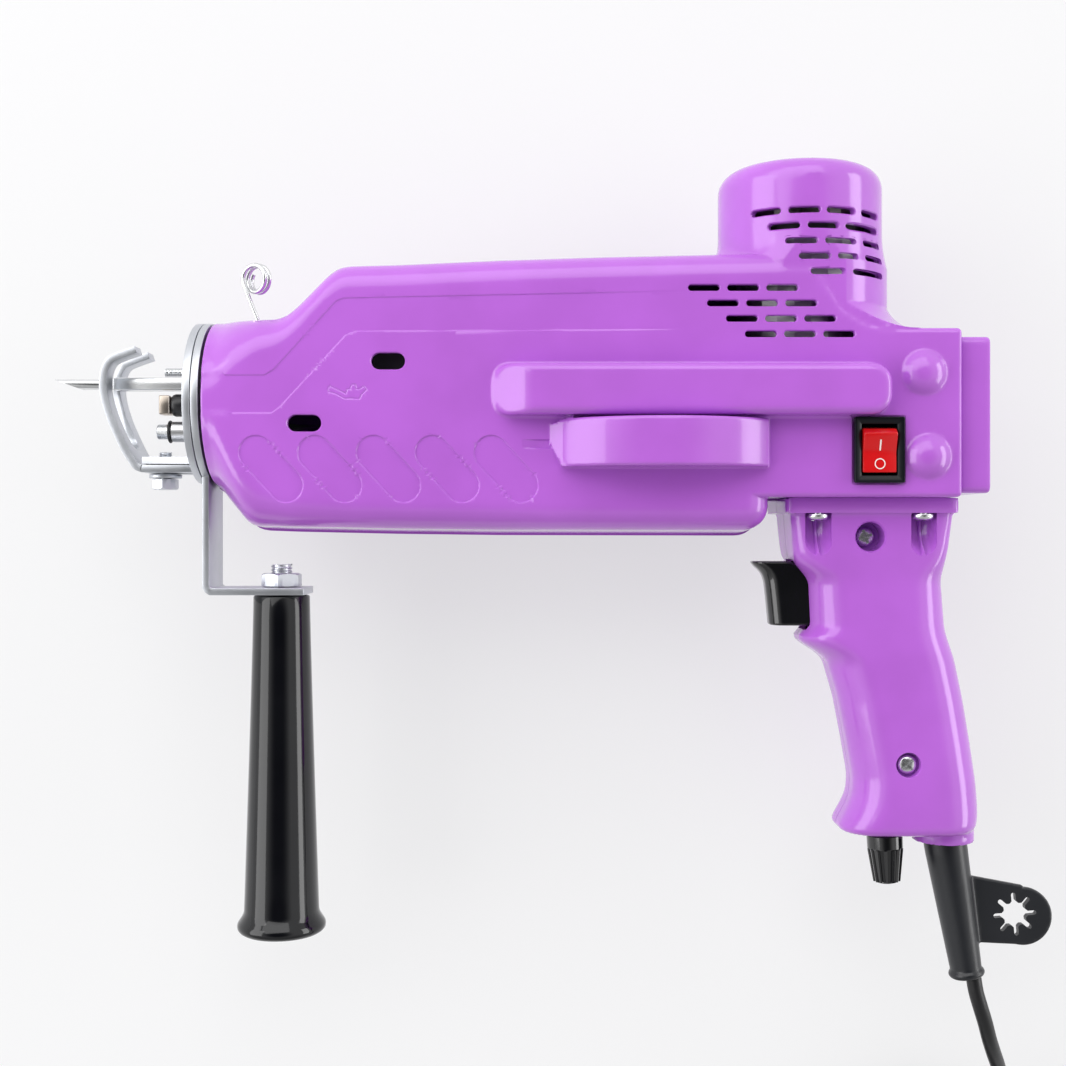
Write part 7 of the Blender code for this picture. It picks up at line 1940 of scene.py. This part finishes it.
def cad_copy(node):
    """A merged copy of a CAD solid, round the parting plane."""
    net = opened(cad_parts[node].data)
    bmesh.ops.remove_doubles(net, verts=net.verts[:], dist=MERGE)
    level = math.radians(1)
    bmesh.ops.dissolve_limit(net, angle_limit=level, verts=net.verts[:], edges=net.edges[:])
    net.transform(Matrix.Translation((0, 0, -REST_HEIGHT)))
    return written(net, node)


for node, name in (("handle_bracket", "bracket_sheet"), ("front_plate", "front_sheet")):
    put(name, soften(cad_copy(node), PLATE_EDGE), zinc, "zinc_plated_steel", node, angle=40)

# Presser foot. One bent strip of plated steel: its leg lies under the tab, and its bow splits into
# two prongs that curve up round the needle and hook back over the work.
FOOT_THICKNESS = 0.0023
FOOT_HALF_WIDTH = 0.011
FOOT_LEG_X = -0.1492
FOOT_BOTTOM_Y = -0.0251
FOOT_ROUTE = (
    (-0.1655, -0.0251, 0), (-0.1678, -0.0241, 0), (-0.1696, -0.0217, 0), (-0.1719, -0.0179, 0),
    (-0.1760, -0.0090, 0), (-0.1782, -0.0022, 0), (-0.1789, 0.0026, 0), (-0.1784, 0.0076, 0),
    (-0.1766, 0.0112, 0), (-0.1735, 0.0130, 0), (-0.1676, 0.0151, 0),
)
FOOT_SLOT_HALF_WIDTH = 0.0043
FOOT_SLOT_Y = -0.0130
FOOT_BOLT_SLOT = (-0.1605, -0.1525, 0.0023)
FOOT_EDGE = 0.0002
PRONG_CUT_X = (-0.190, -0.158)
PRONG_CUT_TOP_Y = 0.025
BOLT_CUT_Y = (-0.030, -0.019)
PRONG_STEPS = 16
BOLT_SLOT_STEPS = 24

foot_path = [Vector((FOOT_LEG_X, FOOT_BOTTOM_Y, 0))] + smooth_through(FOOT_ROUTE, steps=5)
foot_rings = []
for i, point in enumerate(foot_path):
    run = foot_path[min(i + 1, len(foot_path) - 1)] - foot_path[max(i - 1, 0)]
    inward = Vector((run.y, -run.x, 0)).normalized()
    inner = point + inward * FOOT_THICKNESS
    ring = [(point, -1), (point, 1), (inner, 1), (inner, -1)]
    foot_rings.append([(place.x, place.y, side * FOOT_HALF_WIDTH) for place, side in ring])
foot_mesh = loft_of("foot", foot_rings)
prong_gap = []
for i in range(PRONG_STEPS + 1):
    turn = math.pi + math.pi * i / PRONG_STEPS
    z = FOOT_SLOT_HALF_WIDTH * math.cos(turn)
    prong_gap.append((FOOT_SLOT_Y + FOOT_SLOT_HALF_WIDTH * math.sin(turn), z))
prong_gap += [(PRONG_CUT_TOP_Y, FOOT_SLOT_HALF_WIDTH), (PRONG_CUT_TOP_Y, -FOOT_SLOT_HALF_WIDTH)]
slot_start, slot_end, slot_half = FOOT_BOLT_SLOT
bolt_gap = []
for i in range(BOLT_SLOT_STEPS + 1):
    turn = math.pi / 2 + math.tau * i / BOLT_SLOT_STEPS
    end = slot_start if i <= BOLT_SLOT_STEPS / 2 else slot_end
    bolt_gap.append((end + slot_half * math.cos(turn), slot_half * math.sin(turn)))
foot_cutters = [
    loft_of("prong_gap", [[(x, y, z) for y, z in prong_gap] for x in PRONG_CUT_X]),
    loft_of("bolt_gap", [[(x, y, z) for x, z in bolt_gap] for y in BOLT_CUT_Y]),
]
foot_mesh = soften(carve(foot_mesh, *foot_cutters), FOOT_EDGE, angle=50)
put("foot_strip", foot_mesh, zinc, "zinc_plated_steel", "presser_foot", body="foot", angle=40)

# Foot bolt, plate stud and guide rod. The hexagon bolt clamps the foot under its washer, a small
# stud and nut hold the plate, and the lower rod's ground end carries a satin collar and a black
# rubber ring.
BOLT_X = -0.1605
BOLT_RADIUS = 0.0020
BOLT_HEAD_RADIUS = 0.0043
BOLT_HEAD_HEIGHT = 0.0034
BOLT_TOP_Y = -0.0183
BOLT_THREAD = (0.0007, 0.00022)  # pitch, depth
WASHER_RADIUS = 0.00525
WASHER_THICKNESS = 0.0013
WASHER_EDGE = 0.0002
PLATE_STUD = ((-0.1624, 0.0086, -0.0072), (-0.1360, 0.0086, -0.0072))
PLATE_STUD_RADIUS = 0.0015
PLATE_STUD_THREAD = (0.0006, 0.0002)
PLATE_NUT_RADIUS = 0.0030
ROD_Y = -0.0115
ROD_RADIUS = 0.0025
COLLAR_X = (-0.1582, -0.1492)
ROD_COLLAR_RADII = (0.0031, 0.00335)  # at its faces and round it
ROD_COLLAR_EDGES = (0.00025, 0.0002)
ROD_FRONT = ((0.0004, 0), (0.0001, 0.0002), (0, 0.0005))
ROD_BACK_EDGE = 0.0003
SET_SCREW_PROFILE = (
    # share of its radius, height
    (0, 0), (1, 0), (1, 0.0012), (0.8, 0.0016), (0.3, 0.0017), (0, 0.0013),
)
SET_SCREW_RADIUS = 0.0013
SET_SCREW_BACK = 0.0024  # from the collar's rear face
SET_SCREW_Z = 0.0026
ROD_RING_RADIUS = 0.0037
ROD_RING_STEPS = 16
SATIN_STEEL = (0.70, 0.70, 0.71)
RING_BLACK = (0.012, 0.012, 0.013)

washer_top = FOOT_BOTTOM_Y - SEAM_GAP


def ring_profile(bore, face, outer, length, front_edge, back_edge):
    """The outline of a ring with its edges broken."""
    front = ((bore, 0), (face, 0), (outer, front_edge))
    return (*front, (outer, length - back_edge), (face, length), (bore, length))


washer_face = WASHER_RADIUS - WASHER_EDGE
washer_profile = (washer_face, WASHER_RADIUS, WASHER_THICKNESS, WASHER_EDGE, WASHER_EDGE)
washer_profile = ring_profile(BOLT_RADIUS + SEAM_GAP, *washer_profile)
washer_mesh = lathe("foot_washer", washer_profile, (BOLT_X, washer_top, 0), (0, -1, 0))
put("foot_disc", washer_mesh, zinc, "zinc_plated_steel", "foot_washer", angle=50)
head_top = washer_top - WASHER_THICKNESS - SEAM_GAP
head_start = (BOLT_X, head_top, 0)
head_mesh = hexagon("foot_bolt", BOLT_HEAD_RADIUS, BOLT_HEAD_HEIGHT, 0, head_start, (0, -1, 0))
bolt_length = BOLT_TOP_Y - head_top + BOLT_HEAD_HEIGHT / 2
bolt_middle = (BOLT_X, (BOLT_TOP_Y + head_top - BOLT_HEAD_HEIGHT / 2) / 2, 0)
shank_mesh = threaded(
    "foot_bolt", bolt_middle, upright, zinc, BOLT_RADIUS, bolt_length, *BOLT_THREAD
)
bolt_mesh = joined("foot_bolt", head_mesh, shank_mesh)
put("foot_clamp", bolt_mesh, zinc, "zinc_plated_steel", "foot_bolt", angle=25)

stud_start, stud_end = PLATE_STUD
stud_middle = tuple((Vector(stud_start) + Vector(stud_end)) / 2)
stud_sizes = (PLATE_STUD_RADIUS, stud_end[0] - stud_start[0], *PLATE_STUD_THREAD)
lying = (0, math.pi / 2, 0)
plate_stud = threaded("plate_stud", stud_middle, lying, bright_steel, *stud_sizes)
put("plate_thread", plate_stud, bright_steel, "bright_steel", "plate_stud", angle=50)
nut_low, nut_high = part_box("plate_nut")
nut_sizes = (PLATE_NUT_RADIUS, nut_high[0] - nut_low[0], PLATE_STUD_RADIUS)
stud_nut = hexagon("plate_nut", *nut_sizes, (nut_high[0], *stud_start[1:]), (-1, 0, 0))
put("plate_hex", stud_nut, bright_steel, "bright_steel", "plate_nut", angle=25)

satin_steel = metal("satin_steel", SATIN_STEEL, 0.34, scale=(60, 1500, 1500))
rod_low, rod_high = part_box("lower_guide_rod")
rod_length = rod_high[0] - rod_low[0]
rod_profile = [(0, 0), *((ROD_RADIUS - inside, along_x) for inside, along_x in ROD_FRONT)]
rod_profile += [(ROD_RADIUS, rod_length - ROD_BACK_EDGE), (ROD_RADIUS - ROD_BACK_EDGE, rod_length)]
rod_profile.append((0, rod_length))
rod_mesh = lathe("guide_rod", rod_profile, (rod_low[0], ROD_Y, 0), (1, 0, 0))
put("guide_rod", rod_mesh, bright_steel, "bright_steel", "lower_guide_rod", angle=40)
collar_sizes = (*ROD_COLLAR_RADII, COLLAR_X[1] - COLLAR_X[0], *ROD_COLLAR_EDGES)
collar_profile = ring_profile(ROD_RADIUS + SEAM_GAP, *collar_sizes)
collar_mesh = lathe("rod_sleeve", collar_profile, (COLLAR_X[0], ROD_Y, 0), (1, 0, 0))
screw_profile = [(SET_SCREW_RADIUS * across, up) for across, up in SET_SCREW_PROFILE]
screw_start = (COLLAR_X[1] - SET_SCREW_BACK, ROD_Y, SET_SCREW_Z)
set_screw = lathe("set_screw", screw_profile, screw_start, (0, 0, 1), sides=24)
collar_mesh = joined("rod_sleeve", collar_mesh, set_screw)
put("rod_sleeve", collar_mesh, satin_steel, "bright_steel", "rod_collar", angle=40)
ring_rubber = plastic("ring_rubber", RING_BLACK, 0.45)
ring_low, ring_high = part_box("rod_ring")
ring_round = (ring_high[0] - ring_low[0]) / 2
ring_profile = [(ROD_RADIUS + SEAM_GAP, 0)]
for i in range(ROD_RING_STEPS + 1):
    turn = math.pi * i / ROD_RING_STEPS
    away = ROD_RING_RADIUS - ring_round + ring_round * math.sin(turn)
    ring_profile.append((away, ring_round - ring_round * math.cos(turn)))
ring_profile.append((ROD_RADIUS + SEAM_GAP, 2 * ring_round))
ring_mesh = lathe("rubber_ring", ring_profile, (ring_low[0], ROD_Y, 0), (1, 0, 0))
put("rubber_ring", ring_mesh, ring_rubber, "satin_black_plastic", "rod_ring")

# Stop pin. A square bronze nut holds a round black washer against the front plate. Both are turned
# or cut from bar, with their edges broken.
BRONZE = (0.57, 0.50, 0.43)
WASHER_BLACK = (0.014, 0.014, 0.016)
STOP_NUT_EDGE = 0.0004
STOP_PROFILE = (
    # share of the washer's radius, and how far along
    (0, 0), (0.78, 0), (0.92, 0.0004), (1, 0.0012), (1, 0.0048), (0.93, 0.0052),
)

bronze = metal("bronze", BRONZE, 0.30)
washer_black = plastic("washer_black", WASHER_BLACK, 0.3)
nut_mesh = soften(cad_copy("stop_nut"), STOP_NUT_EDGE)
put("square_nut", nut_mesh, bronze, "bronze", "stop_nut", angle=40)
low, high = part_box("stop_washer")
stop_radius = (high[1] - low[1]) / 2
stop_length = high[0] - low[0]
stop_profile = [(stop_radius * across, along_x) for across, along_x in STOP_PROFILE]
stop_profile += [(stop_radius * STOP_PROFILE[-1][0], stop_length), (0, stop_length)]
stop_start = (low[0], (low[1] + high[1]) / 2, 0)
stop_mesh = lathe("stop_disc", stop_profile, stop_start, (1, 0, 0))
put("stop_disc", stop_mesh, washer_black, "satin_black_plastic", "stop_washer", angle=40)

# Needle. A hollow needle with a long slant, in a flat bar of bright steel that slides through the
# plates. Both are ground along their length.
NEEDLE_STEEL = (0.80, 0.81, 0.82)
NEEDLE_PARTS = (("needle", "needle_tube", 0.00006), ("needle_bar", "needle_flat", 0.0004))

needle_steel = metal("needle_steel", NEEDLE_STEEL, 0.22, scale=(80, 1600, 1600))
for node, name, edge in NEEDLE_PARTS:
    mesh = soften(cad_copy(node), edge)
    put(name, mesh, needle_steel, "bright_steel", node, body="needle_carriage", angle=40)

# Yarn eye. Bright spring wire 1.5 mm thick: a stem, held in the nose, that winds twice round into
# a leaning ring.
EYE_CENTRE = (-0.1306, 0.0384)
EYE_RADIUS = 0.0043
EYE_WIRE = 0.00075
EYE_PITCH = 0.0021
EYE_TURNS = 2.15
EYE_START = math.radians(200)
EYE_LEAN = math.radians(-32)
EYE_STEPS = 36
EYE_STEM_Y = (0.0205, 0.0244)
EYE_STEM_SHARES = (0.35, 0.7)  # of the way from the stem to the ring

eye_low, eye_foot = (Vector((EYE_X, y, 0)) for y in EYE_STEM_Y)
eye_ring = []
for i in range(round(EYE_TURNS * EYE_STEPS) + 1):
    turn = EYE_START - math.tau * i / EYE_STEPS
    point = Vector((math.cos(turn), math.sin(turn), 0)) * EYE_RADIUS
    point.z = EYE_PITCH * (EYE_TURNS / 2 - i / EYE_STEPS)
    eye_ring.append(Vector((*EYE_CENTRE, 0)) + Matrix.Rotation(EYE_LEAN, 3, "Y") @ point)
stem = [eye_foot.lerp(eye_ring[0], share) for share in EYE_STEM_SHARES]
eye_line = [eye_low, eye_foot, *stem, *eye_ring]
wire_tree, wire_given = tree_of("wire", ("Wire Radius",))
wire_curve = {"Mesh": wire_given["Geometry"]}
wire_curve = wire_given["Geometry"].read("GeometryNodeMeshToCurve", inputs=wire_curve)
close_tree(wire_given, swept(wire_curve, 14, wire_given["Wire Radius"]))
eye_base = bpy.data.meshes.new("eye_line")
eye_base.from_pydata(eye_line, [(i, i + 1) for i in range(len(eye_line) - 1)], [])
eye_mesh = made_by(wire_tree, "eye_wire", eye_base, finish=bright_steel, wire_radius=EYE_WIRE)
put("eye_wire", eye_mesh, bright_steel, "bright_steel", "yarn_eye")

# Works inside, and the plug. Bright shafts, a grey cast frame, a plated motor can with copper
# windings, and a pale nylon gear and fan show through the vents and the oil slots. A moulded
# black plug ends the cord.
CAST_GREY = (0.46, 0.47, 0.49)
NYLON_WHITE = (0.74, 0.72, 0.66)
COPPER = (0.62, 0.28, 0.14)
DARK_PART = (0.018, 0.018, 0.020)
PLUG_BLACK = (0.016, 0.016, 0.018)

cast_grey = metal("cast_grey", CAST_GREY, 0.48, grain=0.16, scale=(1400, 1400, 1400))
nylon_white = plastic("nylon_white", NYLON_WHITE, 0.42)
copper_coils = metal("copper_coils", COPPER, 0.34, grain=0.14, scale=(300, 2500, 300))
dark_part = plastic("dark_part", DARK_PART, 0.4)
plug_black = plastic("plug_black", PLUG_BLACK, 0.36, grain=0.08)
inside_finishes = (
    (cast_grey, ("nose_guide_block", "slider_block", "connecting_rod", "gear_frame")),
    (bronze, ("crank_bearing_upper", "crank_bearing_lower", "pinion")),
    (nylon_white, ("drive_gear", "cooling_fan")),
    (copper_coils, ("armature",)),
    (dark_part, ("trigger_switch", "motor_end_cap")),
    (bright_steel, ("wrist_pin", "crank_pin", "crankshaft", "motor_shaft", "upper_guide_rod")),
    (satin_steel, ("motor_can", "speed_pot")),
    (plug_black, ("plug",)),
)
for finish, nodes in inside_finishes:
    for node in nodes:
        for material_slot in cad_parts[node].material_slots:
            material_slot.material = finish
